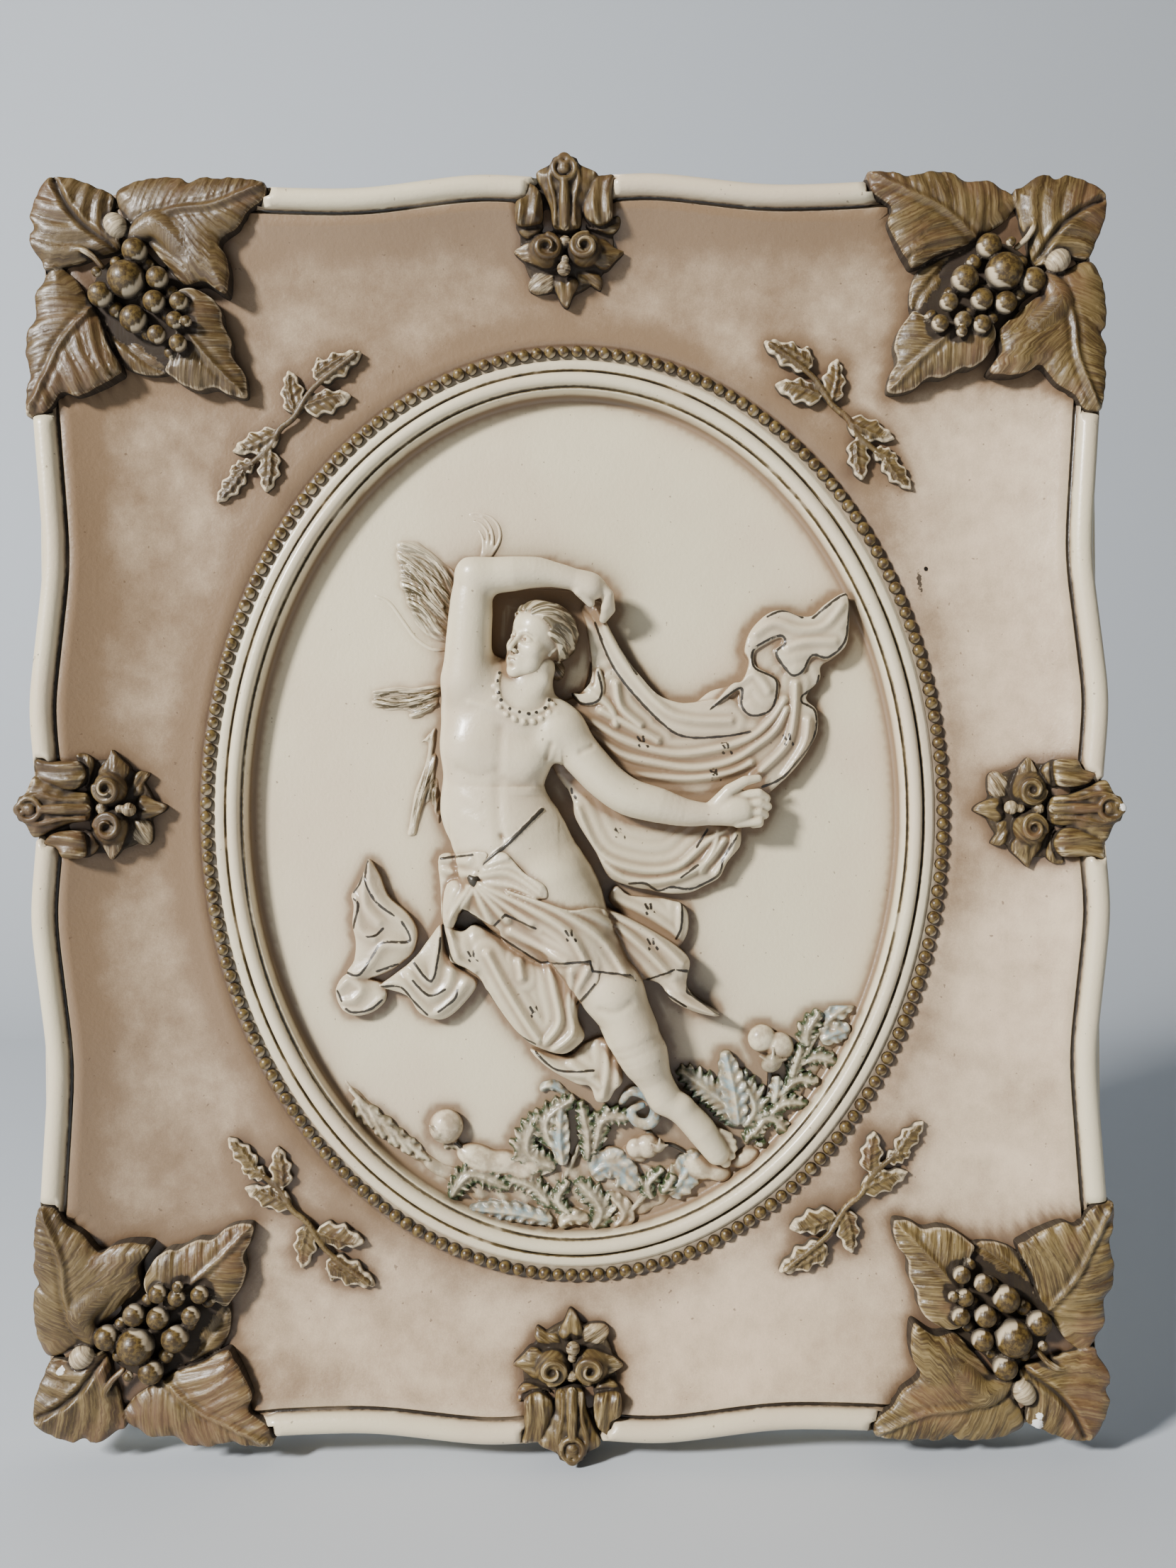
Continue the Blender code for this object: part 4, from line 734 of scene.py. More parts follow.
def sinkUnderMotifs(points):
    # the rail and the cove stay below the leaves that lie over them
    def sink(outline, quarter, at, margin):
        ring = turned(np.column_stack([outline, np.zeros(len(outline))]), quarter, at)[:, :2]
        near = ((points[:, :2] > ring.min(axis=0)) & (points[:, :2] < ring.max(axis=0))).all(axis=1) & (points[:, 2] > 0.0300)
        p = points[near]
        share = ease(-0.0002, -margin, outlineGap(p[:, 0], p[:, 1], ring))
        p[:, 2] = np.where(share > 0, np.minimum(p[:, 2], 0.0420 - 0.0075 * share), p[:, 2])
        points[near] = p

    for at, quarter in cluster["at"]:
        for outline in cluster["leaves"].values():
            sink(smooth(place(outline, cluster["size"], about=cluster["grapes"][0][:2])), quarter, at, 0.0012)
    for at, quarter in ornament["at"]:
        for outline, level, rise, rib in ornament["parts"].values():
            sink(smooth(place(outline, ornament["size"])), quarter, at, 0.0010)


groundPoints, groundFaces = makeGround()
drawInUnderMotifs(groundPoints)
sinkUnderMotifs(groundPoints)
keepPiece("plaqueBody", groundPoints, groundFaces, "ivory")


# the draped figure in the oval, in hundredths of its height from the middle of the panel
figure = {
    "size": 0.268, "centre": (0.0, -0.0019), "cell": 0.0006, "keep": 0.37, "floor": 0.0138,
    "torso": [(-12.1, 16.5), (-12.1, 12.6), (-12.4, 8.7), (-12.7, 4.4), (-12.9, 1.2)],
    "hips": [(-12.8, 0.8), (-9.7, -4.5), (-7.8, -10.0), (-4.0, -14.4)],
    "thigh": [(-3.6, -12.3), (1.0, -19.9), (5.7, -28.4)],
    "calf": [(7.1, -29.4), (9.6, -35.6), (11.4, -40.0)],
    "ankle": [(11.8, -39.4), (13.3, -43.5), (15.4, -46.7), (18.2, -49.1), (20.9, -52.1), (23.5, -55.8)],
    "upperArm": [(-16.4, 22.3), (-16.2, 25.6), (-16.0, 28.8), (-15.7, 32.0), (-15.4, 35.3), (-14.5, 38.0)],
    "forearm": [(-14.5, 38.2), (-12.1, 38.2), (-8.8, 38.5), (-5.6, 38.6), (-2.4, 38.2), (0.9, 37.4), (3.5, 36.5)],
    "arm": [(-2.0, 12.7), (-0.6, 12.3), (2.6, 8.5), (5.9, 5.0), (9.5, 2.5), (14.2, 1.1), (18.5, -0.1), (22.2, -0.4),
            (25.8, -0.2), (27.8, 0.1)],
    "cord": [(-4.5, 0.6), (-7.5, -2.4), (-10.1, -4.9), (-13.3, -7.6), (-15.5, -10.6)],
    "pearls": [(-11.8, 20.4), (-11.5, 18.6), (-11.0, 17.1), (-9.9, 15.8), (-8.6, 15.0), (-7.2, 14.6), (-5.7, 14.6),
               (-4.4, 15.1), (-3.2, 16.1), (-2.6, 17.4)],
    "dots": [(-11.1, 22.5), (-11.4, 21.2), (-11.2, 19.3), (-10.8, 18.1), (-9.4, 16.7), (-7.9, 16.2), (-6.4, 15.9),
             (-5.2, 16.1), (-3.8, 16.8), (-3.2, 18.1)],
}


def onFigure(points):
    return place(points, figure["size"], figure["centre"])


def makeBody():
    f = figure
    clay = Clay((-0.0600, -0.1600, 0.0126), (0.0920, 0.1080, 0.0460), f["cell"])

    def tube(key, levels, radii, blend=0.004, squash=1.0):
        clay.limb(smooth(onFigure(f[key]), closed=False, steps=4), levels, radii, blend, squash)

    tube("torso", [0.0245, 0.0255, 0.0245, 0.0240], [0.0235, 0.0232, 0.0212, 0.0204], squash=0.50)
    tube("hips", [0.0240, 0.0245, 0.0230], [0.0210, 0.0245, 0.0270, 0.0240], blend=0.006, squash=0.50)
    # shoulders, chest and the hollow of the waist
    clay.limb(onFigure([(-15.8, 20.5), (-12.5, 17.5), (-8.0, 17.0), (-4.0, 14.9)]), [0.0290, 0.0265, 0.0262, 0.0270],
              [0.0105, 0.0140, 0.0130, 0.0110], blend=0.007, squash=0.75)
    clay.ball(onFigure([(-1.6, 13.6)])[0], 0.0285, (0.0098, 0.0100, 0.0092), blend=0.006)
    for at, radius in (((-15.4, 11.0), 0.0112), ((-7.2, 8.9), 0.0112)):
        clay.ball(onFigure([at])[0], 0.0295, (radius, radius * 0.95, 0.0080), blend=0.007)
    clay.ball(onFigure([(-10.6, -4.5)])[0], 0.0262, (0.0150, 0.0190, 0.0108), blend=0.010)
    tube("thigh", [0.0275, 0.0290, 0.0285], [0.0190, 0.0165, 0.0124], blend=0.006, squash=0.75)
    clay.ball(onFigure([(6.6, -28.4)])[0], 0.0300, (0.0112, 0.0112, 0.0102), blend=0.006)
    tube("calf", [0.0285, 0.0272, 0.0255], [0.0120, 0.0118, 0.0096], blend=0.005)
    tube("ankle", [0.0255, 0.0240, 0.0232, 0.0226, 0.0215, 0.0200],
         [0.0095, 0.0078, 0.0066, 0.0062, 0.0066, 0.0056], blend=0.004)
    clay.ball(onFigure([(14.2, -46.6)])[0], 0.0215, (0.0050, 0.0064, 0.0060), blend=0.004)
    clay.ball(onFigure([(18.0, -47.6)])[0], 0.0250, (0.0030, 0.0030, 0.0030), blend=0.004)
    for i, (tip, radius) in enumerate((((24.9, -57.6), 0.0024), ((25.9, -56.5), 0.0019), ((26.3, -55.3), 0.0017),
                                       ((26.2, -54.2), 0.0015), ((25.7, -53.2), 0.0014))):
        root = (22.6 + 0.35 * i, -55.4 + 0.75 * i)
        clay.limb(onFigure([root, tip]), [0.0208, 0.0190], [radius * 1.15, radius], blend=0.0008)
    tube("upperArm", [0.0290, 0.0305, 0.0320, 0.0330], [0.0108, 0.0101, 0.0097, 0.0094, 0.0088, 0.0078], blend=0.006)
    clay.ball(onFigure([(-15.3, 38.6)])[0], 0.0335, (0.0070, 0.0062, 0.0072), blend=0.004)
    tube("forearm", [0.0332, 0.0342, 0.0342, 0.0330], [0.0072, 0.0079, 0.0078, 0.0068, 0.0054, 0.0047, 0.0050],
         blend=0.004)
    # the raised hand, its fingers bent down behind the head
    clay.ball(onFigure([(3.4, 36.3)])[0], 0.0325, (0.0068, 0.0052, 0.0050), blend=0.003, lean=-0.45)
    for i in range(4):
        root, knuckle, tip = (4.6 + 0.45 * i, 36.9 - 0.5 * i), (6.5 + 0.1 * i, 35.0 - 0.75 * i), (5.9 - 0.1 * i, 32.9 - 0.55 * i)
        clay.limb(onFigure([root, knuckle, tip]), [0.0335 - 0.0012 * i, 0.0330 - 0.0014 * i, 0.0305 - 0.0014 * i],
                  [0.0024, 0.0021, 0.0017], blend=0.0010)
    clay.limb(onFigure([(1.9, 35.5), (3.6, 33.6)]), [0.0345, 0.0325], [0.0025, 0.0018], blend=0.0012)
    tube("arm", [0.0272, 0.0285, 0.0292, 0.0285, 0.0280],
         [0.0100, 0.0094, 0.0088, 0.0084, 0.0082, 0.0076, 0.0060, 0.0048, 0.0055, 0.0056], blend=0.006)
    # the hand that grips the veil: four curled fingers and the thumb
    clay.ball(onFigure([(26.4, 0.6)])[0], 0.0282, (0.0070, 0.0064, 0.0050), blend=0.003)
    for i in range(4):
        rows = [(27.0, 2.5 - 1.45 * i), (30.4, 2.9 - 1.5 * i), ((31.7, 31.9, 31.4, 30.5)[i], 2.1 - 1.35 * i), (29.6, 1.7 - 1.3 * i)]
        clay.limb(onFigure(rows), [0.0290, 0.0300, 0.0285, 0.0262], [0.0022, 0.0021, 0.0019, 0.0016], blend=0.0007)
    clay.limb(onFigure([(23.4, 0.9), (25.6, 3.4), (28.2, 4.9), (30.3, 5.3)]), [0.0285, 0.0305, 0.0308, 0.0300],
              [0.0034, 0.0027, 0.0022, 0.0017], blend=0.0014)
    clay.limb(onFigure([(-7.6, 16.0), (-6.6, 19.5), (-5.6, 23.4)]), [0.0262, 0.0272, 0.0282], [0.0112, 0.0093, 0.0090],
              blend=0.005)
    clay.limb(onFigure([(-4.0, 21.0), (-6.0, 18.6), (-8.4, 16.2)]), [0.0340, 0.0335, 0.0325], [0.0018, 0.0016, 0.0014],
              blend=0.005)
    return clay


def topOf(clay):
    # the level of the highest plaster over each place, softened a little
    inside = clay.gap < 0
    count = clay.shape[2]
    last = count - 1 - np.argmax(inside[:, :, ::-1], axis=2)
    last = np.minimum(last, count - 2)
    a = np.take_along_axis(clay.gap, last[:, :, None], 2)[:, :, 0]
    b = np.take_along_axis(clay.gap, last[:, :, None] + 1, 2)[:, :, 0]
    level = clay.low[2] + clay.cell * (last + clip01(a / np.where(a == b, 1, a - b)))
    level = np.where(inside.any(axis=2), level, 0.0150)
    return level, blurred(level, 4.0)


bodyClay = makeBody()
bodyTop, bodySoft = topOf(bodyClay)


def topAt(grid, px, pz):
    i = clip01((px - bodyClay.low[0]) / bodyClay.cell / (grid.shape[0] - 1.01)) * (grid.shape[0] - 1.01)
    j = clip01((pz - bodyClay.low[1]) / bodyClay.cell / (grid.shape[1] - 1.01)) * (grid.shape[1] - 1.01)
    a, b = i.astype(int), j.astype(int)
    u, v = i - a, j - b
    found = grid[a, b] * (1 - u) * (1 - v) + grid[a + 1, b] * u * (1 - v) + grid[a, b + 1] * (1 - u) * v \
        + grid[a + 1, b + 1] * u * v
    away = (px < bodyClay.low[0]) | (px > 0.0915) | (pz < bodyClay.low[1]) | (pz > 0.1075)
    return np.where(away, 0.0150, found)


def addNecklace():
    for x, z in figure["pearls"]:
        at = onFigure([(x, z)])[0]
        clayTop = float(topAt(bodyTop, at[:1], at[1:])[0])
        bodyClay.ball(at, max(clayTop, 0.026) + 0.0002, (0.00125, 0.00125, 0.0011), blend=0.0003, kind="pearl")
    line = smooth(onFigure(figure["dots"]), closed=False)
    tops = np.maximum(topAt(bodyTop, line[:, 0], line[:, 1]), 0.0262) - 0.0001
    bodyClay.limb(line, tops, [0.0010], blend=0.0004, kind="pearl")
    cord = smooth(onFigure(figure["cord"]), closed=False)
    tops = topAt(bodyTop, cord[:, 0], cord[:, 1])
    bodyClay.limb(cord, np.maximum(tops, 0.0325) - 0.0001, [0.0009, 0.0010, 0.0011], blend=0.0003, kind="cord")
    knot = cord[-1]
    level = float(max(topAt(bodyTop, knot[:1], knot[1:])[0], 0.0335))
    for dx, dz, r in ((0, 0, 0.0026), (0.0012, 0.0016, 0.0017), (-0.0014, 0.0012, 0.0016), (0.0006, -0.0017, 0.0017)):
        bodyClay.ball(knot + (dx, dz), level + 0.0004, (r, r, r), blend=0.0004, kind="cord")


addNecklace()


def press(points, marks):
    # shallow modelling on the face of a form: each mark is a line, a depth and a width
    for line, depth, width in marks:
        line = smooth(onFigure(line), closed=False) if len(line) > 2 else onFigure(line)
        reach = width * 4
        near = (points[:, 0] > line[:, 0].min() - reach) & (points[:, 0] < line[:, 0].max() + reach) \
            & (points[:, 1] > line[:, 1].min() - reach) & (points[:, 1] < line[:, 1].max() + reach)
        p = points[near]
        p[:, 2] += depth * np.exp(-(lineGap(p[:, 0], p[:, 1], line) / width) ** 2) * ease(0.020, 0.026, p[:, 2])
        points[near] = p


def finishBody():
    points, faces, owner = bodyClay.skin(figure["floor"])
    press(points, [
        ([(-10.9, 13.5), (-11.2, 8.0), (-11.6, 3.0), (-11.3, -2.0), (-10.4, -5.5)], -0.0006, 0.0026),
        ([(-10.9, -3.4), (-10.8, -3.7)], -0.0010, 0.0012),
        ([(-15.8, 17.8), (-12.0, 16.8), (-9.0, 15.4)], 0.0005, 0.0013),
        ([(-7.6, 15.2), (-4.6, 15.4), (-2.0, 16.0)], 0.0005, 0.0013),
        ([(-17.8, 7.4), (-14.4, 6.2), (-11.8, 7.0)], -0.0004, 0.0020),
        ([(-10.4, 5.6), (-7.2, 4.6), (-4.6, 6.6)], -0.0004, 0.0020),
        ([(-16.9, 3.0), (-14.5, 1.6)], 0.0003, 0.0020), ([(-16.9, -0.2), (-14.5, -1.2)], 0.0003, 0.0020),
        ([(4.6, -31.2), (7.2, -31.6), (9.4, -30.2)], -0.0006, 0.0018),
        ([(1.8, 9.7), (3.6, 10.6)], -0.0007, 0.0013), ([(-2.9, 11.0), (-3.6, 8.8)], -0.0009, 0.0014),
    ])
    total = len(points)
    line, brush, cream = np.full(total, 0.05), np.zeros(total), np.zeros(total)
    cord = smooth(onFigure(figure["cord"]), closed=False)
    high = points[:, 2] > 0.0300
    line[high] = np.maximum(lineGap(points[high, 0], points[high, 1], cord) - 0.0003, 0)
    line[high] = np.minimum(line[high], np.maximum(np.hypot(*(points[high, :2] - cord[-1]).T) - 0.0026, 0))
    for index, shape in enumerate(bodyClay.shapes, start=1):
        if shape["kind"] == "pearl":
            p = points[owner == index]
            near = np.min([np.hypot(p[:, 0] - x, p[:, 1] - z) for x, z in onFigure(figure["dots"])], axis=0)
            line[owner == index] = np.maximum(near - 0.0003, 0)
    keepPiece("figureBody", points, faces, "ivory", figure["keep"], lineGap=line, figure=np.ones(total))


finishBody()


# the cloths: outline, edge level, rise, what it lies over, folds, painted hems
hem = {
    "v1": [(4.3, 30.9), (6.8, 24.4), (10.4, 19.3), (15.9, 13.7), (19.5, 12.1), (25.0, 12.2), (29.4, 12.9)],
    "v1b": [(8.1, 27.4), (11.0, 22.4)],
    "v2": [(22.9, 16.6), (26.3, 19.2), (28.1, 19.9), (28.1, 17.0), (29.9, 15.5), (32.9, 16.6), (33.8, 19.9),
           (33.3, 21.7), (30.3, 23.2), (29.8, 25.4), (30.7, 26.9), (34.4, 28.5), (35.2, 27.2), (33.7, 25.7),
           (35.5, 22.8), (36.6, 22.0), (38.1, 22.8), (39.6, 25.3), (42.1, 24.9), (44.7, 27.1), (45.5, 30.8),
           (45.2, 35.2), (39.6, 31.2)],
    "v2b": [(32.3, 31.6), (34.5, 32.5), (36.3, 32.3), (38.1, 31.4)],
    "v3": [(40.8, 22.0), (40.2, 20.2), (38.0, 18.7), (38.0, 17.6), (40.2, 16.1), (39.8, 11.7), (36.8, 7.7),
           (34.2, 5.1), (31.3, 3.9)],
    "v4": [(9.4, -11.7), (12.0, -11.6), (14.2, -12.9), (16.4, -12.3), (19.4, -12.7), (21.9, -11.7), (24.2, -10.2),
           (24.9, -7.6), (27.2, -4.0)],
    "v4b": [(20.5, -5.8), (22.4, -2.8)], "v4c": [(17.9, -10.7), (20.7, -8.7)],
    "v5": [(0.5, 19.4), (2.0, 17.7), (4.6, 18.1), (5.3, 20.1), (4.6, 22.9)],
    "h1": [(-18.8, -18.2), (-17.5, -15.5), (-12.7, -18.4), (-10.5, -16.1), (-5.6, -18.3)],
    "h2": [(-11.4, -20.0), (-5.0, -24.2), (3.0, -23.4), (3.4, -25.0), (9.3, -25.8), (10.2, -26.9)],
    "h3": [(12.2, -27.1), (16.6, -25.4), (19.0, -25.8), (18.6, -29.1), (23.8, -32.8)],
    "h4": [(15.1, -29.2), (18.4, -31.4)], "h5": [(-13.8, -28.9), (-9.7, -35.1), (-6.0, -37.4)],
    "h6": [(-6.0, -39.0), (-2.4, -41.9), (3.4, -42.0)], "h7": [(-20.8, -17.9), (-20.1, -21.6), (-18.7, -24.5), (-15.4, -26.7)],
    "h8": [(0.8, -30.9), (3.7, -27.1)], "h9": [(-0.8, -39.4), (2.0, -37.2)],
    "tail": [(18.1, -14.9), (18.0, -18.6), (17.1, -20.8)], "belt": [(-21.1, -7.3), (-15.6, -6.5)],
    "s1": [(-33.3, -7.7), (-33.6, -10.9), (-32.0, -14.2), (-28.9, -16.6)],
    "s2": [(-27.7, -17.6), (-26.6, -19.5), (-26.7, -20.9), (-30.8, -21.0), (-32.6, -23.3), (-34.7, -26.2), (-36.9, -25.9)],
    "s3": [(-34.0, -8.5), (-34.5, -11.2), (-35.6, -12.7)], "s4": [(-35.5, -13.8), (-34.8, -15.0), (-35.7, -18.6)],
    "s5": [(-33.5, -20.0), (-32.0, -19.8), (-30.8, -18.7)], "s6": [(-32.1, -25.8), (-28.5, -24.6)],
    "s7": [(-25.7, -24.3), (-22.9, -27.3), (-21.7, -23.1), (-21.4, -20.2)],
    "s8": [(-25.9, -27.2), (-23.3, -29.6), (-20.6, -28.6)], "s9": [(-31.1, -28.2), (-28.0, -28.2), (-25.9, -30.5), (-23.6, -32.8)],
    "s10": [(-21.8, -32.3), (-19.1, -30.2), (-18.7, -28.7)], "s11": [(-38.4, -28.9), (-37.7, -30.5)],
    "s12": [(-37.0, -31.8), (-35.7, -32.4), (-33.0, -31.9), (-31.1, -30.4)],
}
sprigs = [(0.1, 3.2), (8.1, -3.4), (11.9, 11.5), (25.6, 10.3), (23.7, 6.0), (35.6, 11.6), (4.3, -9.1), (12.9, -15.8),
          (0.0, -19.2), (13.1, -21.2), (-15.9, -23.0), (-5.9, -32.0)]
dashes = [[(-0.95, 0.85), (-0.45, -0.05)], [(0.1, 0.95), (0.2, 0.0)], [(-0.75, -0.75), (-0.6, -1.0)], [(0.75, -0.65), (0.95, -1.05)]]


def foldRelief(folds, height=0.0013, width=0.0021, ripple=0.00035, rim=0.0005, gather=None):
    lines = [smooth(onFigure(fold), closed=False) for fold in folds]

    def relief(px, pz, side):
        out = np.zeros(px.shape)
        least = np.full(px.shape, 1.0)
        for line in lines:
            gap = lineGap(px, pz, line)
            out = np.maximum(out, height * np.exp(1 - np.sqrt(1 + (gap / width) ** 2) * 1.0))
            least = np.minimum(least, gap)
        if lines:
            out += ripple * np.cos(2 * np.pi * least / 0.0052) * np.exp(-least / 0.010)
            out -= height * 0.35
        if gather is not None:
            # fine folds that fan out from one place
            (gx, gz), count, amount, reach = gather
            turn = np.arctan2(pz - gz, px - gx)
            far = np.hypot(px - gx, pz - gz)
            out += amount * np.cos(count * turn + 2.0 * np.sin(far * 90)) * ease(0, 0.008, far) * (1 - ease(reach * 0.6, reach, far))
        out += rim * np.exp(-(np.minimum(side, 0) / 0.0010) ** 2)
        return out
    return relief


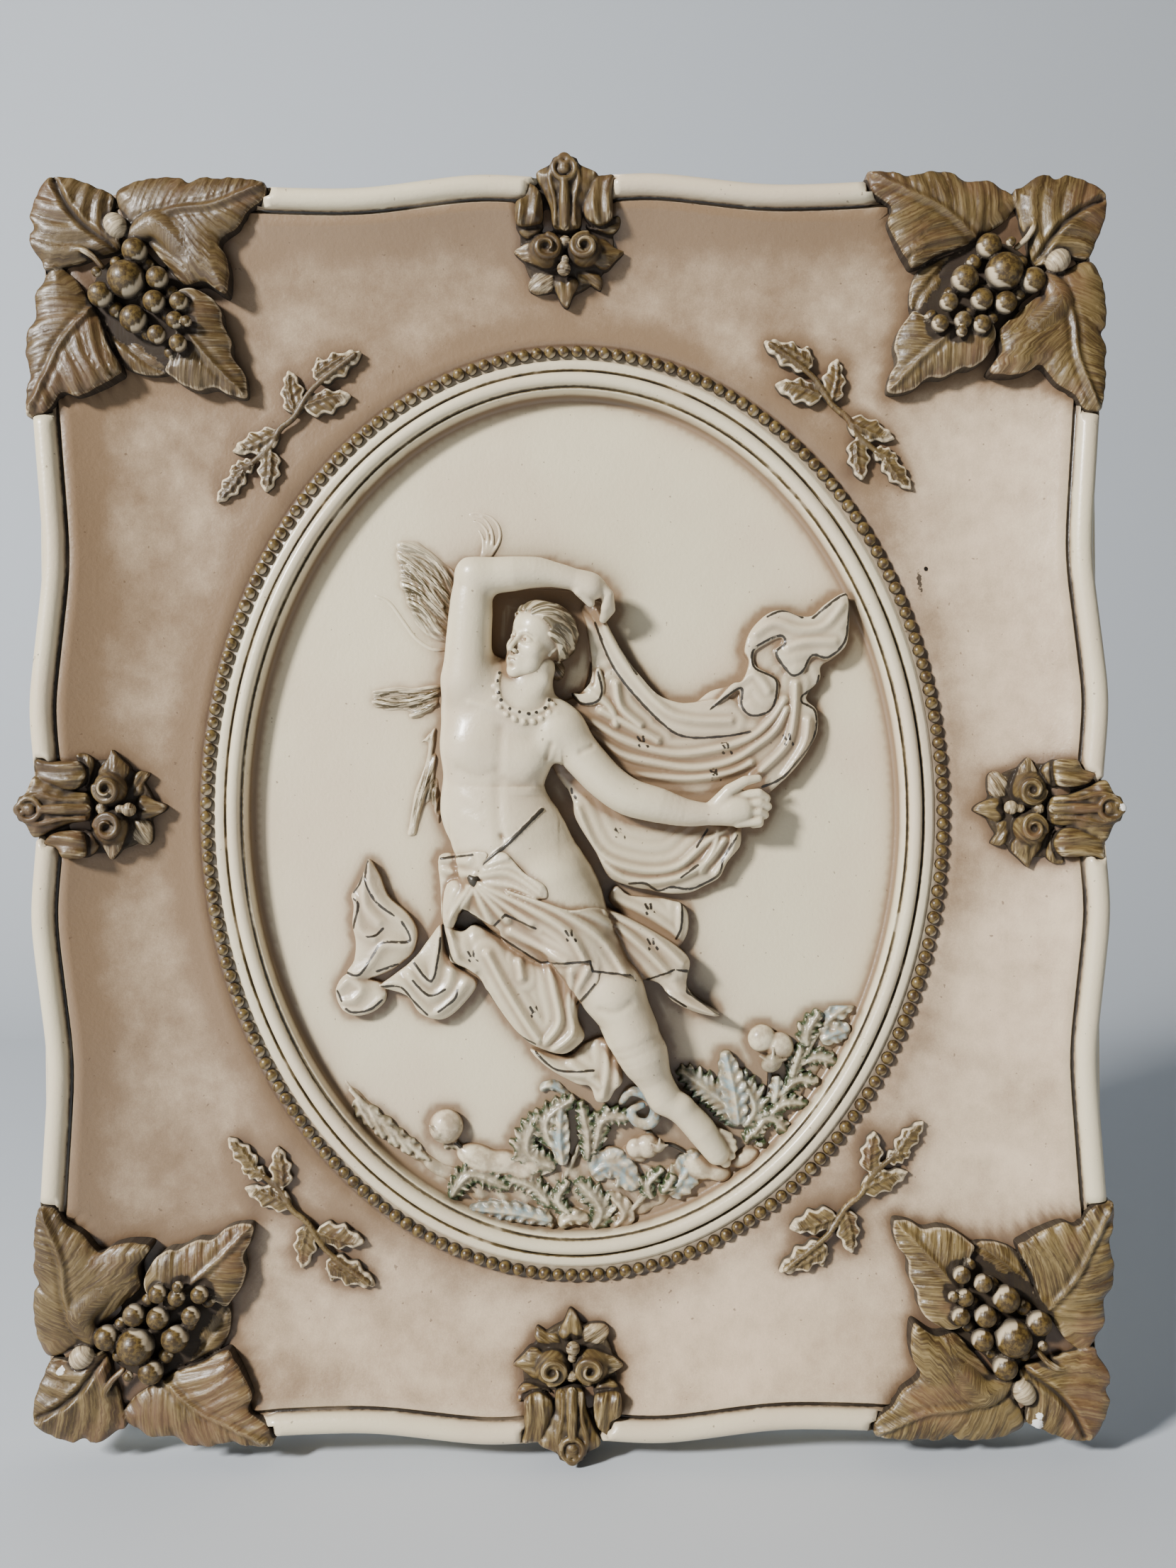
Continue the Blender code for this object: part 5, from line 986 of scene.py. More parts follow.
cloths = [
    ("backing", [(-12.8, 36.0), (-10.8, 36.9), (0.8, 36.5), (3.5, 34.8), (3.4, 22.5), (-1.7, 15.9), (-12.3, 22.0)],
     0.0178, 0.0012, False, [], {}),
    ("veil", [(1.9, 33.2), (3.4, 34.6), (5.5, 34.3), (6.0, 31.9), (7.6, 28.5), (9.8, 24.8), (11.9, 22.1), (14.5, 19.3),
              (17.8, 18.0), (20.4, 18.0), (23.0, 19.8), (26.3, 20.7), (28.1, 21.4), (29.2, 24.3), (28.5, 26.2),
              (29.3, 29.1), (31.1, 31.3), (33.0, 32.6), (35.2, 32.9), (37.4, 32.0), (39.6, 31.9), (41.8, 33.8),
              (44.8, 35.4), (45.7, 34.5), (45.8, 29.7), (45.1, 26.4), (43.2, 24.6), (41.4, 23.5), (41.2, 21.3),
              (38.9, 18.5), (40.6, 16.5), (40.7, 12.8), (39.0, 9.5), (36.8, 6.6), (33.8, 3.7), (32.0, 2.0),
              (32.3, -0.3), (30.5, -2.5), (28.3, -2.7), (27.9, -5.8), (25.7, -8.4), (24.5, -10.9), (21.9, -12.4),
              (19.4, -13.5), (15.7, -13.6), (12.7, -13.0), (9.4, -12.3), (6.1, -10.8), (4.0, -6.7), (0.7, -1.2),
              (0.0, 2.5), (-3.3, 7.7), (-3.9, 12.8), (-2.1, 17.6), (1.3, 19.4), (3.5, 22.3), (2.8, 30.1)],
     0.0205, 0.0024, False,
     [[(-1.3, 16.8), (3.4, 14.8), (9.3, 11.6), (16.6, 9.5), (23.2, 10.0), (29.1, 11.8), (32.7, 14.7), (35.0, 18.0)],
      [(3.4, 13.1), (8.5, 9.4), (14.4, 7.9), (20.2, 7.1), (26.1, 8.1), (30.5, 10.7), (33.5, 13.2), (35.3, 16.5)],
      [(6.2, 8.0), (10.0, 6.4), (14.0, 5.7), (20.2, 5.4), (26.1, 6.3), (29.4, 7.8)],
      [(5.2, 16.6), (10.2, 13.9), (14.3, 11.6)], [(7.6, 20.9), (8.4, 17.0), (11.5, 14.1)],
      [(2.4, 20.8), (6.6, 17.0), (7.6, 14.4)],
      [(1.1, 0.7), (4.7, -6.7), (11.3, -9.4), (17.2, -9.0), (21.6, -5.4), (25.3, -2.9)],
      [(2.5, -5.2), (8.4, -10.8), (15.7, -11.2), (21.6, -8.7), (25.0, -4.7)],
      [(24.0, -2.6), (23.4, -6.0), (21.2, -9.5)], [(27.0, -3.4), (26.2, -6.6), (23.6, -10.2)],
      [(34.9, 5.6), (38.2, 10.6), (38.9, 14.7)], [(30.0, 5.6), (35.2, 10.6), (36.6, 15.8), (36.9, 20.6)]],
     dict(height=0.0024, width=0.0017, ripple=0.0004)),
    ("veilCollar", [(0.2, 19.6), (2.0, 17.3), (4.8, 17.6), (5.9, 20.3), (5.2, 23.5), (4.2, 23.3), (3.8, 20.8), (2.2, 19.5)],
     0.0232, 0.0014, False, [], dict(rim=0.0004)),
    ("veilFold", [(2.2, 33.6), (3.4, 34.6), (5.5, 34.3), (6.0, 31.9), (7.6, 28.5), (9.8, 24.8), (11.9, 22.1),
                  (14.5, 19.3), (17.8, 18.0), (20.4, 18.0), (23.2, 18.4), (26.4, 18.6), (29.6, 15.4), (31.6, 13.8),
                  (29.4, 12.6), (25.0, 11.9), (19.5, 11.8), (15.7, 13.4), (10.1, 19.1), (6.5, 24.3), (4.0, 30.9)],
     0.0225, 0.0018, False,
     [[(4.7, 32.9), (7.6, 26.8), (10.9, 21.8), (15.9, 16.4), (20.6, 14.9), (26.2, 14.7)],
      [(5.6, 32.6), (8.3, 28.4), (11.2, 23.4), (14.2, 19.8)]], dict(height=0.0014, width=0.0016)),
    ("veilTip", [(22.6, 16.4), (26.2, 20.7), (28.1, 21.4), (29.2, 24.3), (28.5, 26.2), (29.3, 29.1), (31.1, 31.3),
                 (33.0, 32.6), (35.2, 32.9), (37.4, 32.0), (39.6, 31.9), (41.8, 33.8), (44.8, 35.6), (45.8, 34.5),
                 (45.9, 29.7), (45.1, 26.4), (42.1, 24.4), (39.8, 24.8), (38.3, 22.3), (36.6, 21.5), (35.2, 22.5),
                 (33.2, 25.8), (34.6, 27.3), (34.2, 27.9), (31.0, 26.3), (30.3, 25.2), (30.7, 23.6), (33.7, 21.9),
                 (34.3, 19.9), (33.3, 16.3), (29.9, 15.0), (27.6, 16.7), (27.6, 19.3), (26.4, 18.7)],
     0.0228, 0.0022, False,
     [[(24.0, 17.8), (27.4, 20.6), (30.2, 22.2), (32.4, 19.6)], [(30.2, 28.8), (33.4, 30.6), (37.6, 29.4), (41.6, 30.0), (44.6, 33.4)],
      [(35.6, 26.6), (38.8, 27.4), (43.2, 27.4)]], dict(height=0.0011, width=0.0018, rim=0.0008)),
    ("tail", [(5.9, -14.4), (7.4, -11.9), (9.6, -13.5), (14.0, -13.8), (16.9, -14.5), (18.1, -14.9), (19.3, -16.8),
              (19.1, -20.1), (17.2, -22.3), (13.2, -19.7), (9.2, -17.4)], 0.0195, 0.0020, False,
     [[(7.0, -14.0), (12.5, -16.6), (17.6, -20.2)], [(18.0, -15.6), (17.6, -19.4)]], dict(height=0.0010)),
    ("lowerTail", [(-7.1, -38.4), (-1.0, -39.7), (1.8, -37.7), (5.4, -36.9), (7.8, -40.6), (8.4, -43.8), (7.0, -45.6),
                   (5.8, -47.4), (3.7, -47.4), (2.7, -45.0), (0.5, -44.5), (-4.3, -41.7)], 0.0210, 0.0026, False,
     [[(-0.2, -40.9), (4.6, -44.6)], [(-5.4, -39.6), (-1.4, -42.4), (3.2, -42.8)], [(5.6, -37.8), (5.6, -42.0), (4.8, -46.4)],
      [(7.2, -40.6), (7.4, -44.6)]], dict(height=0.0018)),
    ("swirl", [(-33.2, -7.1), (-31.3, -9.8), (-29.9, -13.3), (-27.0, -16.0), (-25.5, -18.1), (-25.1, -20.1),
               (-25.8, -22.8), (-27.3, -24.2), (-29.4, -25.7), (-32.4, -26.9), (-34.7, -27.3), (-37.1, -26.1),
               (-35.9, -23.9), (-35.6, -20.9), (-36.1, -18.0), (-35.8, -15.0), (-36.2, -13.2), (-35.2, -11.5),
               (-34.0, -9.1)], 0.0195, 0.0020, False,
     [[(-33.1, -8.2), (-32.8, -11.5), (-30.6, -15.0), (-27.4, -17.6), (-26.0, -19.4), (-26.5, -21.6), (-30.6, -21.4),
       (-32.9, -24.4), (-35.4, -26.4)], [(-33.9, -11.0), (-33.6, -15.0), (-31.4, -17.6)], [(-35.3, -14.0), (-34.6, -18.8), (-32.2, -20.2)]],
     dict(height=0.0017, width=0.0014, ripple=0.0)),
    ("swirlFold", [(-25.3, -22.8), (-23.5, -20.4), (-21.1, -17.8), (-20.5, -22.5), (-18.8, -24.9), (-15.3, -27.6),
                   (-17.7, -31.4), (-20.6, -33.7), (-23.0, -33.7), (-25.3, -32.5), (-27.1, -29.9), (-31.5, -28.3),
                   (-29.4, -26.3), (-27.0, -24.5)], 0.0205, 0.0020, False,
     [[(-26.2, -23.6), (-23.1, -27.3), (-21.9, -22.6), (-21.2, -19.4)], [(-26.6, -26.2), (-23.3, -29.8), (-20.4, -28.2), (-19.6, -25.6)],
      [(-30.8, -27.6), (-27.8, -27.6), (-25.4, -30.6), (-22.8, -32.8), (-19.4, -30.4), (-17.4, -27.6)]],
     dict(height=0.0017, width=0.0014, ripple=0.0)),
    ("swirlEnd", [(-38.9, -28.6), (-37.0, -26.0), (-33.6, -26.8), (-30.6, -28.0), (-30.4, -30.6), (-32.6, -32.6),
                  (-35.8, -33.2), (-38.2, -31.6)], 0.0190, 0.0018, False,
     [[(-38.2, -28.6), (-36.4, -27.0), (-34.4, -28.4), (-35.6, -30.2), (-37.4, -30.6)],
      [(-37.4, -32.0), (-34.0, -32.4), (-31.2, -30.2)]], dict(height=0.0016, width=0.0013, ripple=0.0)),
    ("underskirt", [(-20.8, -17.9), (-17.9, -19.0), (-15.7, -18.0), (-11.5, -20.2), (-5.2, -23.9), (3.2, -23.2),
                    (4.6, -26.0), (3.6, -28.0), (1.4, -31.2), (1.2, -33.8), (2.2, -36.3), (0.9, -38.1), (-1.7, -39.4),
                    (-6.0, -38.1), (-8.9, -35.9), (-11.8, -32.2), (-14.0, -28.9), (-15.2, -26.7), (-17.2, -25.2),
                    (-19.8, -24.1), (-20.1, -21.6)], 0.0245, 0.0052, True,
     [[(-3.7, -24.5), (-2.7, -28.9), (-2.0, -33.6), (-4.2, -36.9)], [(-0.1, -25.3), (-0.3, -30.7), (0.2, -35.4), (-2.8, -38.2)],
      [(2.6, -24.8), (0.6, -28.8), (0.2, -32.6)], [(-8.4, -23.8), (-8.0, -26.4)], [(-13.5, -22.6), (-11.0, -27.5), (-8.0, -32.6), (-5.4, -36.6)],
      [(-19.6, -19.0), (-18.4, -23.4), (-15.8, -25.6)]], dict(height=0.0024, width=0.0017, ripple=0.0004)),
    ("leftWrap", [(-21.6, -6.8), (-18.0, -6.2), (-14.4, -5.7), (-12.9, -6.6), (-14.9, -10.4), (-16.5, -15.0),
                  (-19.8, -17.9), (-21.2, -17.9), (-21.5, -12.0)], 0.0225, 0.0020, True,
     [[(-20.8, -9.2), (-15.6, -9.8)], [(-15.3, -10.8), (-19.9, -17.0)], [(-21.0, -7.4), (-16.4, -7.6)], [(-15.4, -11.0), (-17.6, -16.0)]],
     dict(height=0.0010, width=0.0014)),
    ("gather", [(-15.0, -9.9), (-12.4, -6.6), (-10.2, -6.0), (-7.2, -9.2), (-3.9, -11.2), (-3.7, -13.6), (-7.4, -13.4),
                (-11.4, -12.2)], 0.0240, 0.0010, True,
     [[(-14.6, -10.0), (-9.8, -9.4), (-4.8, -12.6)], [(-13.9, -9.2), (-9.0, -8.4), (-4.6, -11.6)], [(-13.2, -8.2), (-10.0, -7.0)],
      [(-14.0, -11.0), (-9.4, -11.4), (-5.6, -13.2)]], dict(height=0.0012, width=0.0009, ripple=0.0, rim=0.0003)),
    ("overskirt", [(-15.9, -10.4), (-12.6, -11.0), (-9.4, -12.1), (-4.3, -13.7), (0.0, -15.1), (3.6, -14.8),
                   (6.5, -15.7), (10.8, -17.7), (16.3, -21.0), (19.1, -23.6), (19.2, -25.8), (18.8, -27.9),
                   (20.2, -30.1), (24.4, -33.1), (20.5, -32.8), (16.2, -30.8), (14.0, -27.9), (10.2, -27.2),
                   (9.3, -26.1), (3.5, -25.4), (3.0, -23.8), (-0.1, -24.5), (-5.2, -24.5), (-8.8, -22.8),
                   (-11.5, -20.3), (-12.0, -18.6), (-15.2, -17.3), (-17.7, -15.8), (-19.0, -18.6), (-20.9, -17.9),
                   (-20.3, -11.3)], 0.0262, 0.0046, True,
     [[(-14.6, -11.4), (-7.2, -14.7), (-0.7, -18.6), (2.4, -23.7)], [(-9.6, -12.3), (-2.0, -15.3), (4.7, -19.7), (8.6, -25.4)],
      [(-1.4, -14.3), (5.8, -17.2), (11.2, -21.4), (15.2, -25.6)], [(5.8, -15.9), (12.6, -19.4), (18.0, -24.4)],
      [(-15.0, -11.8), (-10.2, -17.0)], [(-15.4, -12.2), (-13.0, -17.4)], [(-15.8, -12.2), (-17.6, -15.2)],
      [(-16.4, -11.8), (-19.4, -17.0)], [(-14.2, -12.0), (-6.4, -17.6)], [(15.0, -29.4), (19.0, -31.2), (23.0, -32.8)],
      [(-9.8, -19.0), (-4.6, -21.8), (-1.0, -23.6)]], dict(height=0.0023, width=0.0016, ripple=0.0004, rim=0.0008)),
]


def over(px, pz):
    return np.maximum(topAt(bodySoft, px, pz) + 0.0012, topAt(bodyTop, px, pz) + 0.0009)


def makeCloths():
    parts = {"veil": ((-0.0420, -0.0420, 0.0126), (0.1270, 0.1010, 0.0330)),
             "skirts": ((-0.1090, -0.1350, 0.0126), (0.0700, -0.0120, 0.0460))}
    hemLines = [smooth(onFigure(line), closed=False) if key[0] not in "h" or key in ("h5", "h6", "h7") else onFigure(line)
                for key, line in hem.items()]
    hemLines += [onFigure(np.array(dash) * 0.85 + spot) for spot in sprigs for dash in dashes]
    for part, (low, high) in parts.items():
        clay = Clay(low, high, figure["cell"])
        for name, outline, level, rise, lies, folds, look in cloths:
            if (name[:4] in ("veil", "back")) != (part == "veil"):
                continue
            relief = foldRelief(folds, **look)
            line = smooth(onFigure(outline), steps=4)
            clay.plate(line, level, rise, under=0.0126, soft=0.0026, edge=0.0010, blend=0.0006, relief=relief,
                       over=over if lies else None, kind="cloth")
        points, faces, owner = clay.skin(figure["floor"])
        inBox = [line for line in hemLines if (line.max(axis=0) > np.array(low)[:2]).all() and (line.min(axis=0) < np.array(high)[:2]).all()]
        gaps = np.full(len(points), 0.05)
        for line in inBox:
            near = (np.abs(points[:, :2] - (line.min(axis=0) + line.max(axis=0)) / 2) < np.ptp(line, axis=0) / 2 + 0.003).all(axis=1)
            gaps[near] = np.minimum(gaps[near], lineGap(points[near, 0], points[near, 1], line))
        keepPiece("figure" + part.capitalize(), points, faces, "ivory", figure["keep"], lineGap=gaps, figure=np.full(len(points), 0.5))


makeCloths()


# the head: calm and classical, of the maker's own proportions, in shares of its height from under the chin
head = {
    "chin": (-6.7, 21.3), "level": 0.0272, "height": 0.0345, "tilt": 17, "turn": 42, "nod": 3, "cell": 0.00034, "keep": 0.55,
    "low": (-0.0345, 0.0520, 0.0140), "high": (0.0125, 0.0960, 0.0455),
}


def makeHead():
    h = head
    clay = Clay(h["low"], h["high"], h["cell"])
    tilt, turn = math.radians(h["tilt"]), math.radians(h["turn"])
    up = np.array([math.sin(tilt), math.cos(tilt), 0])
    across = np.array([math.cos(tilt), -math.sin(tilt), 0])
    out = np.array([0, 0, 1.0])
    ahead = -math.sin(turn) * across + math.cos(turn) * out
    side = math.cos(turn) * across + math.sin(turn) * out
    nod = math.radians(h["nod"])
    ahead, up = ahead * math.cos(nod) - up * math.sin(nod), up * math.cos(nod) + ahead * math.sin(nod)
    start = np.append(onFigure([h["chin"]])[0], h["level"])

    def own(x, z, level):
        d = (x - start[0], z - start[1], level - start[2])
        return [(d[0] * v[0] + d[1] * v[1] + d[2] * v[2]) / h["height"] for v in (side, up, ahead)]

    cells, grid = clay.window(h["low"], h["high"])
    x, y, z = own(*grid)
    state = {"gap": np.full(x.shape, 1.0)}

    def join(gap, blend):
        old = state["gap"]
        mix = clip01(0.5 + 0.5 * (old - gap) / blend)
        state["gap"] = old * (1 - mix) + gap * mix - blend * mix * (1 - mix)

    def cut(gap, blend):
        old, gap = state["gap"], -gap
        mix = clip01(0.5 - 0.5 * (old - gap) / blend)
        state["gap"] = old * (1 - mix) + gap * mix + blend * mix * (1 - mix)

    def egg(at, radii):
        radii = np.broadcast_to(radii, 3)
        size = np.sqrt(((x - at[0]) / radii[0]) ** 2 + ((y - at[1]) / radii[1]) ** 2 + ((z - at[2]) / radii[2]) ** 2)
        return (size - 1) * radii.min()

    def stick(places, radii):
        places = np.array(places, float)
        radii = np.interp(np.linspace(0, 1, len(places)), np.linspace(0, 1, len(np.atleast_1d(radii))), np.atleast_1d(radii))
        best = np.full(x.shape, 1.0)
        for a, b, ra, rb in zip(places[:-1], places[1:], radii[:-1], radii[1:]):
            e = b - a
            along = clip01(((x - a[0]) * e[0] + (y - a[1]) * e[1] + (z - a[2]) * e[2]) / (e @ e))
            off = np.sqrt((x - a[0] - along * e[0]) ** 2 + (y - a[1] - along * e[1]) ** 2 + (z - a[2] - along * e[2]) ** 2)
            best = np.minimum(best, off - ra - (rb - ra) * along)
        return best

    # the skull, forehead, cheeks, jaw and chin
    join(egg((0, 0.62, -0.06), (0.335, 0.355, 0.41)), 0.01)
    join(egg((0, 0.39, 0.085), (0.262, 0.395, 0.275)), 0.06)
    join(egg((0, 0.70, 0.150), (0.245, 0.190, 0.205)), 0.08)
    join(egg((0, 0.125, 0.185), (0.150, 0.105, 0.155)), 0.10)
    join(egg((0, 0.062, 0.285), (0.075, 0.062, 0.065)), 0.06)
    for s in (-1, 1):
        join(egg((0.165 * s, 0.385, 0.205), (0.100, 0.085, 0.100)), 0.08)
        join(egg((0.150 * s, 0.215, 0.160), (0.105, 0.110, 0.110)), 0.08)
    # brow, sockets, eyes and lids
    join(stick([(-0.185, 0.535, 0.225), (-0.10, 0.568, 0.312), (0, 0.555, 0.345), (0.10, 0.568, 0.312), (0.185, 0.535, 0.225)], 0.026), 0.05)
    for s in (-1, 1):
        cut(egg((0.122 * s, 0.492, 0.405), (0.082, 0.046, 0.100)), 0.05)
        join(egg((0.120 * s, 0.486, 0.272), (0.068, 0.056, 0.062)), 0.006)
        lid = [(0.052, 0.484, 0.305), (0.080, 0.513, 0.328), (0.120, 0.522, 0.334), (0.160, 0.508, 0.312), (0.188, 0.480, 0.268)]
        join(stick([(s * a, b, c) for a, b, c in lid], [0.010, 0.014, 0.011]), 0.010)
        lid = [(0.056, 0.478, 0.303), (0.090, 0.461, 0.322), (0.130, 0.458, 0.318), (0.176, 0.472, 0.280)]
        join(stick([(s * a, b, c) for a, b, c in lid], [0.007, 0.010, 0.008]), 0.012)
    # nose
    join(stick([(0, 0.560, 0.335), (0, 0.470, 0.368), (0, 0.365, 0.425), (0, 0.335, 0.436)], [0.024, 0.026, 0.034, 0.036]), 0.035)
    for s in (-1, 1):
        join(egg((0.042 * s, 0.322, 0.392), (0.028, 0.026, 0.034)), 0.018)
        cut(egg((0.020 * s, 0.297, 0.420), (0.012, 0.010, 0.020)), 0.010)
    # lips, closed and calm
    join(egg((0, 0.215, 0.300), (0.105, 0.075, 0.075)), 0.06)
    join(stick([(-0.078, 0.216, 0.328), (-0.030, 0.236, 0.372), (0, 0.230, 0.380), (0.030, 0.236, 0.372), (0.078, 0.216, 0.328)], [0.010, 0.018, 0.018, 0.018, 0.010]), 0.010)
    join(stick([(-0.066, 0.206, 0.330), (0, 0.190, 0.372), (0.066, 0.206, 0.330)], [0.010, 0.024, 0.010]), 0.010)
    cut(stick([(-0.088, 0.213, 0.335), (-0.03, 0.214, 0.384), (0, 0.211, 0.392), (0.03, 0.214, 0.384), (0.088, 0.213, 0.335)], 0.006), 0.008)
    cut(egg((0, 0.143, 0.395), (0.060, 0.026, 0.050)), 0.04)
    face = state["gap"].copy()
    # ears
    for s in (-1, 1):
        join(stick([(0.262 * s, 0.400, 0.010), (0.292 * s, 0.440, -0.012), (0.308 * s, 0.500, -0.045), (0.300 * s, 0.525, -0.015), (0.282 * s, 0.500, 0.020), (0.276 * s, 0.455, 0.020)], [0.020, 0.018, 0.018]), 0.014)
        join(egg((0.268 * s, 0.388, 0.010), (0.022, 0.030, 0.024)), 0.012)
    # hair swept back in waves to a knot low behind the head
    back, front = np.array([0, 0.30, -0.44]), np.array([0, 0.70, 0.42])
    axis = (front - back) / np.linalg.norm(front - back)
    along = (x - back[0]) * axis[0] + (y - back[1]) * axis[1] + (z - back[2]) * axis[2]
    lift = -(z - back[2]) * axis[1] + (y - back[1]) * axis[2]
    round_ = np.arctan2(x, lift) + 0.10 * np.sin(along * 15)
    line = z - 0.035 - 0.95 * (y - 0.55) - 0.05 * np.cos(round_ * 9)
    hair = egg((0, 0.635, -0.085), (0.392, 0.398, 0.450))
    hair = hair + 0.011 * np.cos(round_ * 15) + 0.0045 * np.cos(round_ * 41 + 3 * np.sin(along * 9))
    hair = np.maximum(hair, line * 0.72)
    hair = np.maximum(hair, (0.20 - y) * 0.9)
    roll = egg((0, 0.74, 0.02), (0.36, 0.285, 0.335)) + 0.012 * np.cos(round_ * 15 + 1)
    roll = np.maximum(roll, line * 0.72)
    join(np.minimum(hair, roll), 0.012)
    knot = (0, 0.235, -0.400)
    turnKnot = np.arctan2(y - knot[1], x - knot[0])
    farKnot = np.sqrt((x - knot[0]) ** 2 + (y - knot[1]) ** 2 + (z - knot[2]) ** 2)
    join(egg(knot, (0.165, 0.150, 0.140)) + 0.011 * np.cos(3 * turnKnot + farKnot * 70), 0.015)
    isHair = state["gap"] < face - 0.002
    clay.gap[cells] = state["gap"] * h["height"]
    points, faces, _ = clay.skin(0.0150)
    px, py, pz = own(points[:, 0], points[:, 1], points[:, 2])
    near = np.clip(np.round((points - clay.low) / clay.cell).astype(int), 0, np.array(clay.shape) - 1)
    inHair = isHair[tuple(near.T)] & ((pz < 0.05 + 0.95 * (py - 0.52)) | (py < 0.42)) & ~((np.abs(px) > 0.24) & (py < 0.54) & (pz > -0.07))
    around = np.arctan2(px, -(pz - back[2]) * axis[1] + (py - back[1]) * axis[2])
    run = (pz - back[2]) * axis[2] + (py - back[1]) * axis[1]
    total = len(points)
    tintLips = ease(0.020, 0.006, np.sqrt((py - 0.213) ** 2 + 0.25 * (np.abs(px) - 0.03).clip(0) ** 2) - 0.010) * (pz > 0.30) * (np.abs(px) < 0.085)
    eyes = np.min([np.hypot(px - 0.112 * s, py - 0.488) for s in (-1, 1)], axis=0)
    brows = np.min([lineGap(px, py, np.array([(0.060 * s, 0.560), (0.12 * s, 0.582), (0.185 * s, 0.556)])) for s in (-1, 1)], axis=0)
    shade = 0.42 * tintLips + 0.60 * ease(0.026, 0.016, eyes) * (pz > 0.25) + 0.28 * ease(0.012, 0.004, brows) * (pz > 0.15)
    keepPiece("figureHead", points, faces, "ivory", h["keep"], brush=np.where(inHair, 0.85, 0.0), grainA=around * 0.0075,
              grainL=run * 0.02, face=np.clip(shade, 0, 1), figure=np.ones(total))


makeHead()


